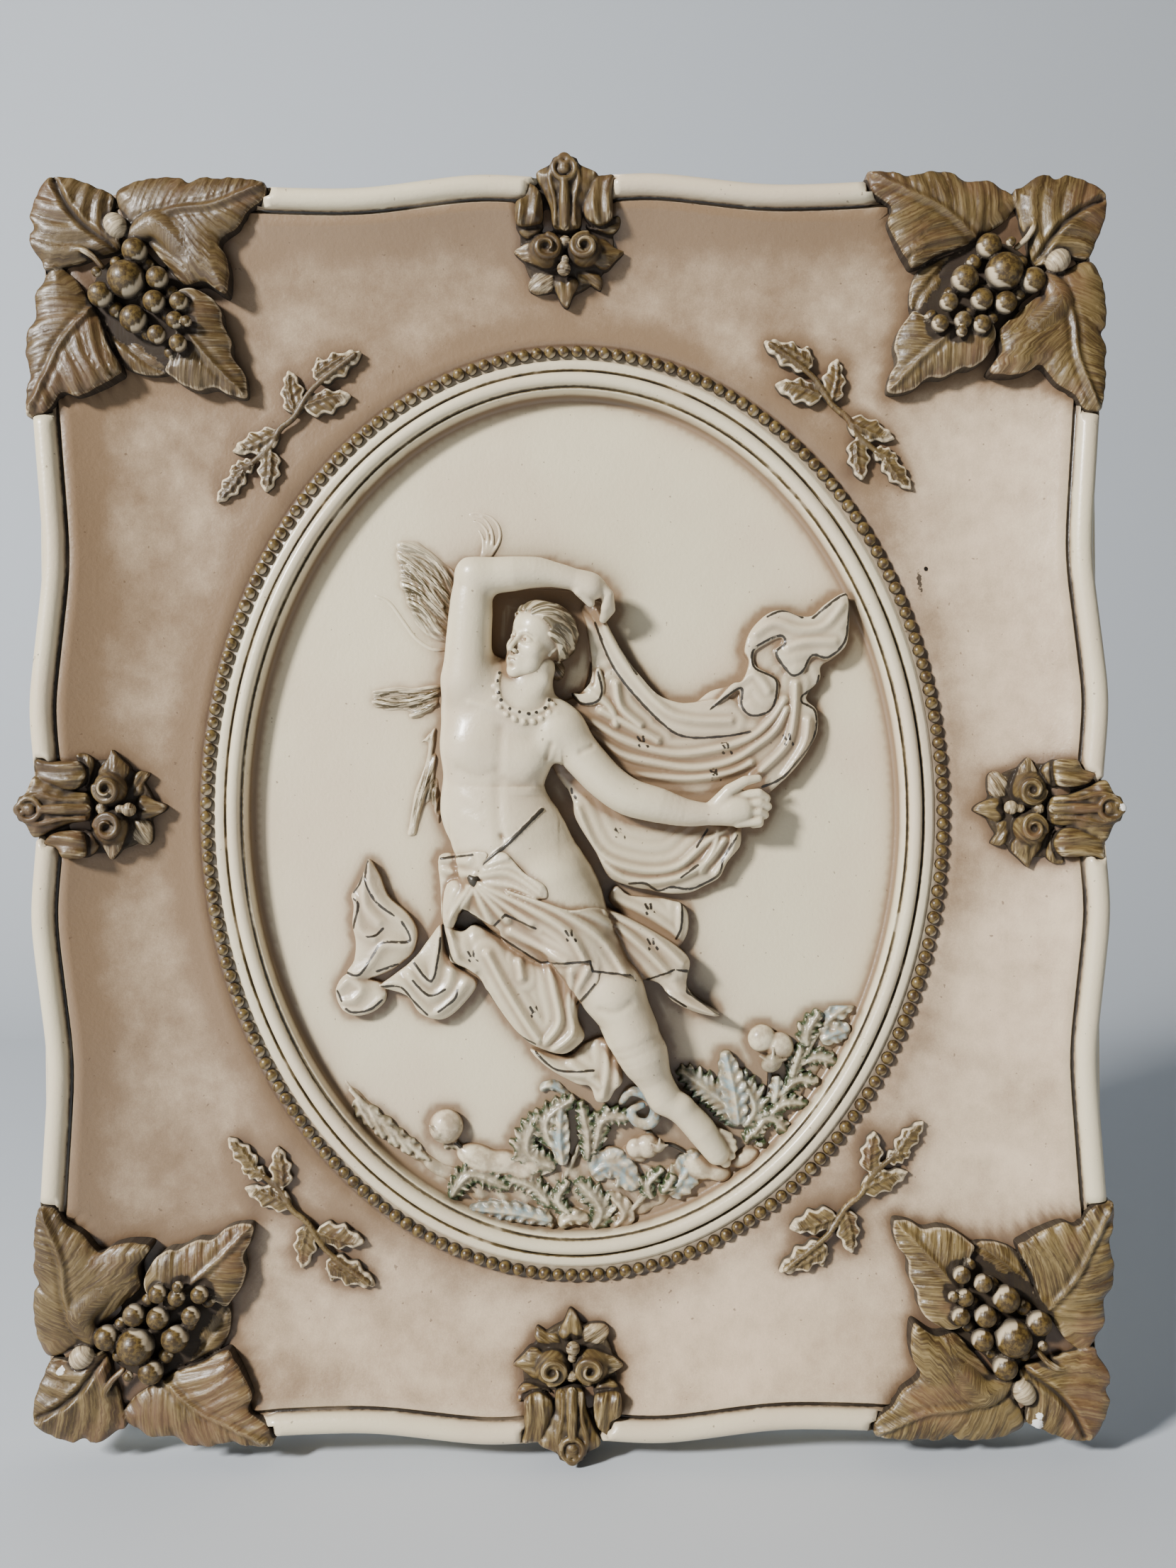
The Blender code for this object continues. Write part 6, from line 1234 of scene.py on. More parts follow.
# leaves, buds and rocks round the foot: each leaf is base, bend and tip, half width, level and colouring
foliage = {
    "cell": 0.0005, "keep": 0.37, "low": (-0.1080, -0.1900, 0.0126), "high": (0.1270, -0.0880, 0.0320), "seed": 11,
    "mound": [(-38.0, -43.5), (-35.0, -45.5), (-31.5, -49.0), (-27.0, -53.2), (-23.0, -56.4), (-19.2, -58.0),
              (-15.7, -56.0), (-11.1, -56.6), (-7.0, -56.4), (-3.5, -55.2), (3.4, -56.5), (8.0, -57.4), (13.0, -58.0),
              (18.5, -58.2), (22.8, -58.8), (27.3, -55.8), (31.8, -50.5), (35.8, -44.5), (39.4, -37.8), (43.6, -32.5),
              (46.4, -31.5), (45.8, -35.5), (42.5, -41.0), (38.0, -46.9), (32.4, -53.0), (25.4, -59.2), (19.6, -62.6),
              (13.8, -65.6), (8.0, -68.2), (2.2, -69.2), (-3.6, -68.7), (-9.4, -67.5), (-15.2, -65.0), (-20.9, -61.4),
              (-25.5, -58.0), (-30.3, -54.6), (-35.2, -50.0)],
    "leaves": [
        ((-20.6, -63.8), (-16.9, -59.4), (-10.8, -61.6), 0.0068, 0.0190, "moss"),
        ((-3.4, -65.3), (-6.5, -61.6), (-11.2, -60.0), 0.0062, 0.0185, "moss"),
        ((-3.0, -67.2), (-10.0, -65.6), (-17.0, -65.0), 0.0052, 0.0192, "cool"),
        ((-2.2, -58.6), (-7.6, -55.6), (-5.6, -49.4), 0.0088, 0.0192, "moss"),
        ((-3.2, -55.4), (-4.4, -50.6), (0.0, -47.0), 0.0070, 0.0200, "moss"),
        ((-1.7, -58.4), (-2.2, -53.2), (-2.0, -48.8), 0.0052, 0.0208, "cool"),
        ((2.3, -57.8), (2.4, -53.0), (1.2, -47.6), 0.0056, 0.0198, "moss"),
        ((3.4, -56.0), (5.0, -50.6), (9.4, -50.2), 0.0066, 0.0196, "moss"),
        ((2.2, -60.2), (6.0, -58.0), (10.2, -61.4), 0.0084, 0.0188, "cool"),
        ((-5.9, -45.8), (-3.4, -45.0), (-0.6, -46.8), 0.0032, 0.0172, "cool"),
        ((27.6, -52.4), (24.4, -47.6), (17.8, -42.6), 0.0096, 0.0186, "frill"),
        ((27.4, -52.4), (29.8, -48.6), (26.6, -42.6), 0.0086, 0.0190, "frill"),
        ((27.2, -52.2), (26.4, -46.0), (25.1, -39.8), 0.0066, 0.0204, "cool"),
        ((28.0, -54.9), (29.6, -52.9), (31.0, -55.0), 0.0052, 0.0184, "moss"),
        ((29.0, -54.2), (31.8, -50.6), (35.4, -53.0), 0.0060, 0.0188, "moss"),
        ((31.2, -51.2), (34.6, -48.2), (38.4, -48.2), 0.0052, 0.0186, "moss"),
        ((32.6, -48.6), (33.4, -46.4), (33.6, -43.8), 0.0042, 0.0188, "cool"),
        ((34.4, -46.6), (36.8, -44.4), (40.2, -44.6), 0.0052, 0.0186, "moss"),
        ((35.8, -44.4), (36.6, -41.6), (37.6, -38.8), 0.0056, 0.0190, "moss"),
        ((37.8, -41.6), (40.4, -40.6), (43.4, -41.6), 0.0054, 0.0186, "moss"),
        ((38.6, -39.4), (38.6, -36.4), (40.6, -33.2), 0.0060, 0.0190, "moss"),
        ((40.2, -38.2), (42.8, -36.8), (45.4, -36.0), 0.0056, 0.0186, "cool"),
        ((41.4, -35.4), (43.4, -33.4), (46.2, -31.6), 0.0050, 0.0180, "cool"),
        ((-36.0, -46.4), (-34.9, -48.4), (-33.0, -51.6), 0.0044, 0.0174, "wash"),
        ((-34.0, -47.6), (-32.6, -50.2), (-31.2, -53.2), 0.0046, 0.0178, "wash"),
        ((-31.9, -49.4), (-30.4, -51.9), (-29.0, -54.6), 0.0046, 0.0178, "wash"),
        ((-29.8, -51.4), (-28.5, -53.5), (-26.9, -55.8), 0.0044, 0.0176, "wash"),
        ((-27.8, -53.0), (-26.5, -54.8), (-24.6, -56.8), 0.0040, 0.0172, "wash"),
        ((-21.8, -55.2), (-20.0, -54.6), (-17.8, -55.8), 0.0032, 0.0168, "wash"),
        ((13.2, -64.0), (12.2, -61.4), (14.6, -58.8), 0.0050, 0.0190, "moss"),
        ((15.0, -63.6), (17.6, -60.6), (20.2, -56.4), 0.0080, 0.0186, "cool"),
        ((13.8, -62.8), (15.4, -61.4), (16.4, -59.6), 0.0040, 0.0206, "moss"),
        ((-0.2, -66.2), (-2.6, -63.8), (-1.0, -60.6), 0.0052, 0.0194, "moss"),
        ((2.8, -69.0), (4.4, -65.2), (0.8, -60.6), 0.0078, 0.0188, "moss"),
        ((5.6, -69.0), (8.2, -66.2), (6.0, -62.8), 0.0056, 0.0184, "cream"),
        ((-2.8, -68.4), (-0.7, -66.6), (2.2, -66.8), 0.0044, 0.0198, "cream"),
        ((-6.4, -67.6), (-5.0, -66.4), (-3.6, -68.2), 0.0036, 0.0186, "cream"),
        ((12.0, -52.2), (12.6, -53.6), (11.8, -55.0), 0.0026, 0.0172, "cool")],
    "curl": [(8.0, -47.6), (9.6, -45.9), (12.2, -46.6), (13.6, -48.8), (12.6, -51.0), (10.4, -50.8), (9.6, -49.0), (11.4, -48.2)],
    "rocks": [((-15.4, -56.9), 0.0110, 0.0060, 0.0052), ((-11.6, -57.6), 0.0090, 0.0056, 0.0046), ((-7.8, -58.6), 0.0080, 0.0050, 0.0046),
              ((20.4, -58.4), 0.0080, 0.0058, 0.0050), ((23.8, -59.4), 0.0060, 0.0044, 0.0042), ((28.2, -57.2), 0.0070, 0.0040, 0.0036),
              ((10.2, -56.2), 0.0060, 0.0040, 0.0034), ((6.4, -56.4), 0.0050, 0.0036, 0.0032)],
    "buds": [((31.1, -37.4), 0.0062), ((34.0, -38.7), 0.0062), ((-20.9, -51.4), 0.0076), ((12.2, -54.9), 0.0054), ((10.3, -55.2), 0.0044)],
    "calyxes": [((32.6, -41.2), 0.0050, "brown"), ((-21.6, -52.0), 0.0044, "brown"), ((14.0, -54.8), 0.0030, "brown")],
    "stems": [[(32.4, -42.4), (32.2, -45.4), (31.3, -50.4)], [(-19.6, -53.9), (-18.4, -55.0), (-17.2, -56.2)],
              [(14.4, -54.7), (16.4, -54.9), (18.6, -56.2)]],
    "stalks": [[(8.6, -66.4), (11.4, -63.4), (13.8, -60.2)], [(-1.6, -60.4), (-0.2, -57.4), (1.0, -54.6)],
               [(28.4, -54.6), (33.4, -48.8), (37.2, -42.2), (40.6, -36.4), (45.0, -31.8)],
               [(-36.6, -45.4), (-32.6, -49.6), (-28.2, -53.4), (-23.8, -57.0)]],
}


def jagged(rib, half, teeth, deep, lean=0.3):
    # a leaf outline round a bent rib, with pointed lobes along both edges
    t = np.linspace(0, 1, 15 * teeth)
    place01 = t * (len(rib) - 1)
    i = np.minimum(place01.astype(int), len(rib) - 2)
    middle = rib[i] + (rib[i + 1] - rib[i]) * (place01 - i)[:, None]
    way = np.gradient(middle, axis=0)
    way /= np.hypot(way[:, 0], way[:, 1])[:, None]
    across = np.column_stack([-way[:, 1], way[:, 0]])
    shape = np.sin(np.pi * np.clip(t * 0.94 + 0.06, 0, 1)) ** 0.55
    tooth = (t * teeth) % 1
    wave = 1 - deep * (1 - np.where(tooth < 0.7, (tooth / 0.7) ** 0.8, (1 - tooth) / 0.3))
    width = np.maximum(half * shape * wave, 0.0002)[:, None]
    step = way * half * lean * wave[:, None]
    return np.vstack([middle + across * width + step, (middle - across * width + step)[::-1]])


def frill(rib, half, teeth, rim, fold):
    # raised folds out from the rib to each lobe, and an edge that curls up and down
    length = np.hypot(*np.diff(rib, axis=0).T).sum()

    def relief(px, pz, side):
        gap, run, hand = lineFrame(px, pz, rib)
        phase = (run - 0.55 * gap) / length * teeth + 0.2 * hand
        out = 0.0007 * np.exp(-(gap / 0.0009) ** 2) - 0.0005 * np.exp(-((gap - 0.0022) / 0.0012) ** 2)
        out += fold * np.cos(2 * np.pi * phase) * ease(0.0005, half * 0.6, gap)
        out += rim * np.exp(-(np.minimum(side, 0) / 0.0011) ** 2) * (0.65 + 0.35 * np.cos(2 * np.pi * phase + 0.8))
        return out
    return relief


def makeFoliage():
    f = foliage
    chance = np.random.default_rng(f["seed"])
    clay = Clay(f["low"], f["high"], f["cell"])

    def lumps(px, pz, side):
        return 0.0006 * np.sin(px * 310 + 2 * np.sin(pz * 190)) * np.sin(pz * 420 + 1.5 * np.sin(px * 230)) \
            + 0.0004 * np.sin(px * 720 + pz * 260)

    clay.plate(smooth(onFigure(f["mound"])), 0.0150, 0.0016, under=0.0126, soft=0.0040, edge=0.0014, blend=0.001,
               relief=lumps, kind="mound")
    for at, wide, high, tall in f["rocks"]:
        clay.ball(onFigure([at])[0], 0.0152, (wide, high, tall), blend=0.0015, lean=chance.uniform(-0.5, 0.5), kind="rock")
    for stalk in f["stalks"]:
        clay.limb(smooth(onFigure(stalk), closed=False), [0.0162, 0.0172, 0.0166], [0.0010, 0.0012, 0.0008], blend=0.0008, kind="stalk")
    for base, bend, tip, half, level, kind in f["leaves"]:
        rib = smooth(onFigure([base, bend, tip]), closed=False, steps=8)
        length = np.hypot(*np.diff(rib, axis=0).T).sum()
        teeth = max(3, int(round(length / (0.0034 if kind in ("frill", "moss") else 0.0050))))
        deep = {"frill": 0.42, "moss": 0.36, "wash": 0.20, "cool": 0.16, "cream": 0.10}[kind]
        clay.plate(jagged(rib, half, teeth, deep), level - 0.0016, 0.0018, under=0.0126, soft=0.0016, edge=0.0008,
                   blend=0.0004, relief=frill(rib, half, teeth, 0.0010 if kind != "cream" else 0.0004, 0.0007), kind=kind)
    clay.limb(smooth(onFigure(f["curl"]), closed=False), [0.0172, 0.0190, 0.0196, 0.0190, 0.0184], [0.0016, 0.0024, 0.0028, 0.0022, 0.0014],
              blend=0.0006, kind="cool")
    for at, radius in f["buds"]:
        clay.ball(onFigure([at])[0], 0.0175, (radius, radius, radius * 0.82), blend=0.0006, kind="bud")
    for at, radius, kind in f["calyxes"]:
        clay.ball(onFigure([at])[0], 0.0205, (radius, radius * 0.8, 0.0030), blend=0.0005, lean=0.6, kind=kind)
        spot = onFigure([at])[0]
        for turn in (0.3, 1.5, 2.6):
            tip = spot + radius * 1.3 * np.array([math.cos(turn), math.sin(turn)])
            clay.limb([spot, tip], [0.0228, 0.0222], [0.0010, 0.0005], blend=0.0006, kind=kind)
    for stem in f["stems"]:
        clay.limb(smooth(onFigure(stem), closed=False), [0.0172, 0.0168, 0.0166], [0.0011, 0.0010, 0.0008], blend=0.0004, kind="stem")
    points, faces, owner = clay.skin(figure["floor"])
    total = len(points)
    cool, moss, dark, line = np.zeros(total), np.zeros(total), np.zeros(total), np.full(total, 0.05)
    amounts = {"moss": (0.12, 0.85), "frill": (0.30, 0.75), "cool": (0.85, 0.30), "wash": (0.12, 0.45),
               "cream": (0.0, 0.25), "brown": (0.0, 0.30), "mound": (0.06, 0.10), "stalk": (0.10, 0.30)}
    for index, shape in enumerate(clay.shapes, start=1):
        kind, mine = shape["kind"], owner == index
        if not mine.any():
            continue
        if kind == "stem":
            line[mine] = 0.0
        if kind not in amounts:
            continue
        cool[mine], moss[mine] = amounts[kind]
        if "outline" in shape and kind != "mound":
            p = points[mine]
            edge = -outlineGap(p[:, 0], p[:, 1], shape["outline"])
            moss[mine] *= 0.45 + 0.85 * ease(0.0026, 0.0008, edge)
            cool[mine] *= 0.45 + 0.55 * ease(0.0008, 0.0030, edge)
        dark[mine] = kind == "brown"
    keepPiece("figureFoliage", points, faces, "ivory", f["keep"], cool=cool, moss=moss, shade=0.55 * dark, lineGap=line,
              leafy=np.ones(total))


makeFoliage()


# feathers beside the arm and the side, and faint wisps above the elbow
feathers = {
    "cell": 0.0005, "keep": 0.33, "low": (-0.0960, -0.0200, 0.0126), "high": (-0.0260, 0.1360, 0.0210),
    "patches": [
        ([(-28.8, 45.0), (-25.5, 45.4), (-22.9, 44.0), (-20.4, 41.8), (-18.2, 39.6), (-18.4, 36.9), (-18.8, 33.2),
          (-19.2, 30.3), (-19.6, 27.4), (-22.7, 28.1), (-24.9, 30.0), (-26.7, 32.9), (-28.1, 37.0), (-28.6, 41.3)], 0.0160,
         [[(-27.3, 44.4), (-23.3, 42.8), (-20.4, 39.8), (-18.9, 36.9)], [(-28.2, 42.4), (-24.8, 40.2), (-21.5, 37.3), (-19.3, 34.7)],
          [(-27.7, 37.7), (-24.8, 36.6), (-21.9, 34.0), (-19.6, 31.8)], [(-26.3, 34.8), (-23.8, 33.3), (-21.6, 30.3), (-20.0, 28.9)],
          [(-26.6, 40.6), (-23.4, 37.3), (-20.8, 34.0)], [(-25.5, 45.3), (-21.8, 43.5), (-19.3, 40.9), (-18.4, 39.4)]]),
        ([(-33.0, 20.2), (-31.2, 21.0), (-28.2, 21.5), (-25.3, 21.2), (-20.6, 21.7), (-20.8, 19.4), (-21.4, 17.2),
          (-23.4, 15.8), (-26.1, 15.0), (-27.2, 16.3), (-29.7, 16.2), (-32.7, 17.3)], 0.0157,
         [[(-32.3, 20.2), (-28.6, 20.5), (-25.3, 20.5), (-21.3, 21.2)], [(-32.3, 18.4), (-28.6, 18.0), (-25.0, 18.7), (-21.7, 19.8)],
          [(-26.8, 15.8), (-24.3, 16.7), (-21.9, 18.1)]]),
        ([(-21.6, 14.6), (-23.7, 13.2), (-25.7, 10.7), (-23.8, 11.4), (-24.5, 7.4), (-26.0, 3.7), (-26.6, 0.1),
          (-27.3, -3.6), (-25.5, -4.1), (-24.6, -1.4), (-23.5, 1.2), (-22.5, -0.7), (-21.7, -2.5), (-20.6, 0.4),
          (-21.0, 3.7), (-21.6, 8.4)], 0.0158,
         [[(-22.4, 13.9), (-23.2, 10.6), (-24.5, 6.3), (-25.9, 1.9), (-26.6, -3.2)], [(-22.3, 9.2), (-23.6, 5.5), (-24.9, 1.2), (-25.7, -3.2)],
          [(-25.4, 10.7), (-23.4, 12.5), (-22.4, 13.9)], [(-22.2, 3.7), (-22.2, 0.4), (-21.7, -2.1)]])],
    "wisps": [[(-13.8, 42.2), (-13.3, 44.3), (-13.4, 46.3), (-14.5, 47.8), (-15.6, 48.1)],
              [(-13.5, 42.2), (-12.5, 44.5), (-12.7, 46.7), (-13.9, 48.5), (-16.0, 48.9)],
              [(-12.9, 42.2), (-11.4, 44.8), (-11.4, 47.0), (-12.7, 48.7), (-14.9, 49.5), (-16.3, 49.3)],
              [(-14.3, 42.2), (-14.0, 44.1), (-14.2, 45.6), (-14.8, 46.7)]],
    "ridge": [(-31.8, 35.9), (-29.6, 34.8), (-27.4, 31.8), (-25.3, 28.9), (-22.7, 27.1), (-20.5, 27.0)],
}


def makeFeathers():
    f = feathers
    clay = Clay(f["low"], f["high"], f["cell"])
    strands = []
    for outline, level, folds in f["patches"]:
        lines = [smooth(onFigure(fold), closed=False) for fold in folds]
        strands += lines

        def relief(px, pz, side, lines=lines):
            gap, run, hand = lineFrame(px, pz, np.vstack(lines[:1]))
            least = np.min([lineGap(px, pz, line) for line in lines], axis=0)
            return 0.0013 * np.exp(-(least / 0.0013) ** 2) + 0.0003 * np.cos(gap * 2600 + 3 * np.sin(run * 160)) - 0.0003

        clay.plate(smooth(onFigure(outline)), level - 0.0014, 0.0022, under=0.0126, soft=0.0030, edge=0.0016, blend=0.0006,
                   relief=relief, kind="feather")
    for wisp in f["wisps"]:
        clay.limb(smooth(onFigure(wisp), closed=False), [0.0150, 0.0149, 0.0145], [0.00085, 0.00075, 0.0006], blend=0.0012, kind="wisp")
    clay.limb(smooth(onFigure(f["ridge"]), closed=False), [0.0144, 0.0146, 0.0146], [0.0010], blend=0.0012, kind="wisp")
    points, faces, owner = clay.skin(figure["floor"])
    brush, across, along = np.zeros(len(points)), np.zeros(len(points)), np.zeros(len(points))
    for index, shape in enumerate(clay.shapes, start=1):
        if shape["kind"] != "feather":
            continue
        mine = owner == index
        p = points[mine]
        best = np.full(len(p), 1.0)
        for line in strands:
            gap, run, hand = lineFrame(p[:, 0], p[:, 1], line)
            nearer = gap < best
            best = np.where(nearer, gap, best)
            across[mine] = np.where(nearer, gap * hand, across[mine])
            along[mine] = np.where(nearer, run, along[mine])
        edge = -outlineGap(p[:, 0], p[:, 1], shape["outline"])
        middle = np.exp(-((p[:, 1] - shape["outline"][:, 1].mean()) / 0.020) ** 2)
        brush[mine] = ease(0.0005, 0.0040, edge) * (0.35 + 0.65 * middle)
    keepPiece("figureFeathers", points, faces, "ivory", f["keep"], brush=brush, grainA=across, grainL=along)


makeFeathers()


# a map of the whole front's levels, so that the glaze can lie in hollows and beside raised forms
reliefMap = {"low": (-0.245, -0.290), "count": (491, 581), "pixel": 0.001}


def levelMap():
    low, count, pixel = (reliefMap[k] for k in ("low", "count", "pixel"))
    grid = np.zeros(count)
    for piece in pieces.values():
        p = piece["points"]
        i = clip01((p[:, 0] - low[0]) / pixel / count[0]) * count[0]
        j = clip01((p[:, 1] - low[1]) / pixel / count[1]) * count[1]
        np.maximum.at(grid, (np.minimum(i.astype(int), count[0] - 1), np.minimum(j.astype(int), count[1] - 1)), p[:, 2])
    for _ in range(4):
        wide = np.pad(grid, 1)
        total = sum(wide[a:a + count[0], b:b + count[1]] for a in range(3) for b in range(3))
        known = sum(wide[a:a + count[0], b:b + count[1]] > 0 for a in range(3) for b in range(3))
        grid = np.where(grid == 0, total / np.maximum(known, 1), grid)
    return grid


def sample(grid, p):
    low, pixel = reliefMap["low"], reliefMap["pixel"]
    u = np.clip((p[:, 0] - low[0]) / pixel - 0.5, 0, grid.shape[0] - 1.001)
    v = np.clip((p[:, 1] - low[1]) / pixel - 0.5, 0, grid.shape[1] - 1.001)
    i, j = u.astype(int), v.astype(int)
    u, v = u - i, v - j
    return grid[i, j] * (1 - u) * (1 - v) + grid[i + 1, j] * u * (1 - v) + grid[i, j + 1] * (1 - u) * v \
        + grid[i + 1, j + 1] * u * v


levels = levelMap()
soft = {spread: blurred(levels, spread) for spread in (1.3, 4.0, 10.0)}
motifs = np.zeros(levels.shape)
for name, piece in pieces.items():
    if piece["material"] == "olive":
        p = piece["points"]
        i = np.clip(((p[:, 0] - reliefMap["low"][0]) / reliefMap["pixel"]).astype(int), 0, levels.shape[0] - 1)
        j = np.clip(((p[:, 1] - reliefMap["low"][1]) / reliefMap["pixel"]).astype(int), 0, levels.shape[1] - 1)
        motifs[i, j] = 1
nearMotif = blurred(motifs, 3.0)
roundMotif = blurred(motifs, 12.0)
print("mapped the levels")

for name, piece in pieces.items():
    p = piece["points"]
    a = piece["attributes"]
    a["crevice"] = (sample(soft[1.3], p) - p[:, 2]) * 1000
    a["hollow"] = (sample(soft[4.0], p) - p[:, 2]) * 1000
    a["valley"] = (sample(soft[10.0], p) - p[:, 2]) * 1000

body = pieces["plaqueBody"]
p, a = body["points"], body["attributes"]
railGap = -outlineGap(p[:, 0], p[:, 1], railLine)
ovalGap = -outlineGap(p[:, 0], p[:, 1], ovalLine)
behind = (p[:, 2] < 0.0225) & (ovalGap < 0)
cove = np.where(behind, 0, ease(0.0108, 0.0120, railGap) * ease(-0.0028, -0.0036, ovalGap))
# painted shade: the cove glaze is made heavier towards the left and top and lighter on the side the key light reaches,
# as the light falls; the rest is glaze gathered in hollows and round the motifs
lit = ease(-0.12, 0.16, p[:, 0] - 0.6 * p[:, 1])
glaze = 0.62 + (0.42 - 0.40 * lit) * ease(0.036, 0.012, railGap) + (0.46 - 0.12 * lit) * ease(-0.024, -0.003, ovalGap)
glaze += 0.16 * ease(0.17, 0.25, p[:, 1]) + 0.14 * ease(-0.12, -0.20, p[:, 0]) - 0.27 * lit
glaze += 0.75 * clip01(sample(nearMotif, p) * 1.4) + 0.35 * sample(roundMotif, p)
flat = 0.14 + 0.40 * clip01(a["crevice"] * 1.2) + 0.22 * clip01(a["hollow"] * 0.5) + 0.12 * clip01(a["valley"] * 0.3)
flat = np.where(behind, 0.10, np.where(p[:, 2] < 0.0305, np.maximum(flat, 0.16), flat))
a["glaze"] = flat * (1 - cove) + glaze * cove
a["zone"] = cove
a["railGap"] = np.where(p[:, 2] > 0.0200, railGap, -0.01)
a["ovalGap"] = ovalGap
a["shade"] = 0.85 * cove * clip01(sample(nearMotif, p) * 1.5 - 0.10) + ease(-0.0046, -0.0030, ovalGap) * ease(0.0036, 0.0024, ovalGap)
for name, piece in pieces.items():
    a = piece["attributes"]
    if piece["material"] != "ivory" or name == "plaqueBody":
        continue
    for key in ("railGap", "ovalGap"):
        a[key] = np.full(len(piece["points"]), -0.05)
    for key in ("zone", "shade"):
        a.setdefault(key, np.zeros(len(piece["points"])))
    if "glaze" not in a:
        a["glaze"] = 0.20 + 0.60 * clip01(a["crevice"] * 0.9) + 0.35 * clip01(a["hollow"] * 0.35)
        a["glaze"] += 0.12 * (a.get("figure", np.ones(1))[0] < 0.9)
        a["glaze"] += a.get("face", 0.0)
for name, piece in pieces.items():
    a = piece["attributes"]
    # painted shade: the olive is darkest at the upper left and lightest at the lower right
    a["wear"] = 0.62 * ease(0.46, -0.46, piece["points"][:, 0] * 1.1 - piece["points"][:, 1])
    for key in ("lineGap", "leafy", "cool", "moss", "brush", "grainA", "grainL", "cream", "dark", "berry"):
        start = 0.05 if key == "lineGap" else 0.0
        a.setdefault(key, np.full(len(piece["points"]), start))


# materials: each is built from noise at the object's own coordinates and from what is stored on its points

def tint(red, green, blue):
    def linear(v):
        v /= 255
        return v / 12.92 if v <= 0.04045 else ((v + 0.055) / 1.055) ** 2.4
    return (linear(red), linear(green), linear(blue), 1)


class Mixer:
    def __init__(self, name):
        self.material = bpy.data.materials.new(name)
        self.material.use_nodes = True
        self.tree = self.material.node_tree
        self.shader = self.tree.nodes["Principled BSDF"]
        self.spot = self.tree.nodes.new("ShaderNodeTexCoord").outputs["Object"]

    def put(self, socket, value):
        if isinstance(value, bpy.types.NodeSocket):
            self.tree.links.new(value, socket)
        else:
            socket.default_value = value

    def stored(self, name):
        node = self.tree.nodes.new("ShaderNodeAttribute")
        node.attribute_name = name
        return node.outputs["Fac"]

    def math(self, kind, a, b=0.0, clamp=False):
        node = self.tree.nodes.new("ShaderNodeMath")
        node.operation = kind
        node.use_clamp = clamp
        self.put(node.inputs[0], a)
        self.put(node.inputs[1], b)
        return node.outputs[0]

    def add(self, a, b):
        return self.math("ADD", a, b)

    def times(self, a, b):
        return self.math("MULTIPLY", a, b)

    def noise(self, scale, detail=3.0, rough=0.55, at=None):
        node = self.tree.nodes.new("ShaderNodeTexNoise")
        self.put(node.inputs["Vector"], self.spot if at is None else at)
        node.inputs["Scale"].default_value = scale
        node.inputs["Detail"].default_value = detail
        node.inputs["Roughness"].default_value = rough
        return node.outputs["Fac"]

    def span(self, value, low, high, top=1.0, bottom=0.0):
        node = self.tree.nodes.new("ShaderNodeMapRange")
        node.interpolation_type = "SMOOTHSTEP"
        self.put(node.inputs["Value"], value)
        node.inputs["From Min"].default_value = low
        node.inputs["From Max"].default_value = high
        node.inputs["To Min"].default_value = bottom
        node.inputs["To Max"].default_value = top
        return node.outputs["Result"]

    def mix(self, share, a, b, kind="MIX"):
        node = self.tree.nodes.new("ShaderNodeMix")
        node.data_type = "RGBA"
        node.blend_type = kind
        self.put(node.inputs["Factor"], share)
        self.put(node.inputs[6], a)
        self.put(node.inputs[7], b)
        return node.outputs[2]

    def pack(self, x, y, z=0.0):
        node = self.tree.nodes.new("ShaderNodeCombineXYZ")
        for socket, value in zip(node.inputs, (x, y, z)):
            self.put(socket, value)
        return node.outputs[0]

    def axes(self):
        node = self.tree.nodes.new("ShaderNodeSeparateXYZ")
        self.put(node.inputs[0], self.spot)
        return node.outputs

    def dot(self, x, z, radius, rough=0.0006):
        # a small spot at a place on the plaque, with an uneven edge
        axes = self.axes()
        gap = self.math("SQRT", self.add(self.math("POWER", self.add(axes[0], -x), 2.0),
                                         self.math("POWER", self.add(axes[2], hangerUp - z), 2.0)))
        gap = self.add(gap, self.times(self.add(self.noise(700, 3), -0.5), rough * 4))
        return self.span(gap, radius, radius + 0.0003, 0.0, 1.0)

    def dash(self, x, z, long, wide, turn):
        # a dry brush mark at a place on the plaque, ragged and broken
        across, up = self.add(self.axes()[0], -x), self.add(self.axes()[2], hangerUp - z)
        c, s = math.cos(math.radians(turn)), math.sin(math.radians(turn))
        u = self.add(self.times(across, c / long), self.times(up, s / long))
        v = self.add(self.times(up, c / wide), self.times(across, -s / wide))
        gap = self.math("SQRT", self.add(self.times(u, u), self.times(v, v)))
        gap = self.add(gap, self.times(self.add(self.noise(1000, 2), -0.5), 2.6))
        return self.span(gap, 0.70, 0.95, 0.0, 0.85)

    def finish(self, colour, rough, bump=None, coat=0.0, coatRough=0.2):
        self.put(self.shader.inputs["Base Color"], colour)
        self.put(self.shader.inputs["Roughness"], rough)
        self.shader.inputs["IOR"].default_value = 1.5
        self.shader.inputs["Coat Weight"].default_value = coat
        self.shader.inputs["Coat Roughness"].default_value = coatRough
        if bump is not None:
            node = self.tree.nodes.new("ShaderNodeBump")
            self.put(node.inputs["Height"], bump)
            node.inputs["Strength"].default_value = 0.35
            node.inputs["Distance"].default_value = 0.0004
            self.put(self.shader.inputs["Normal"], node.outputs["Normal"])
        return self.material


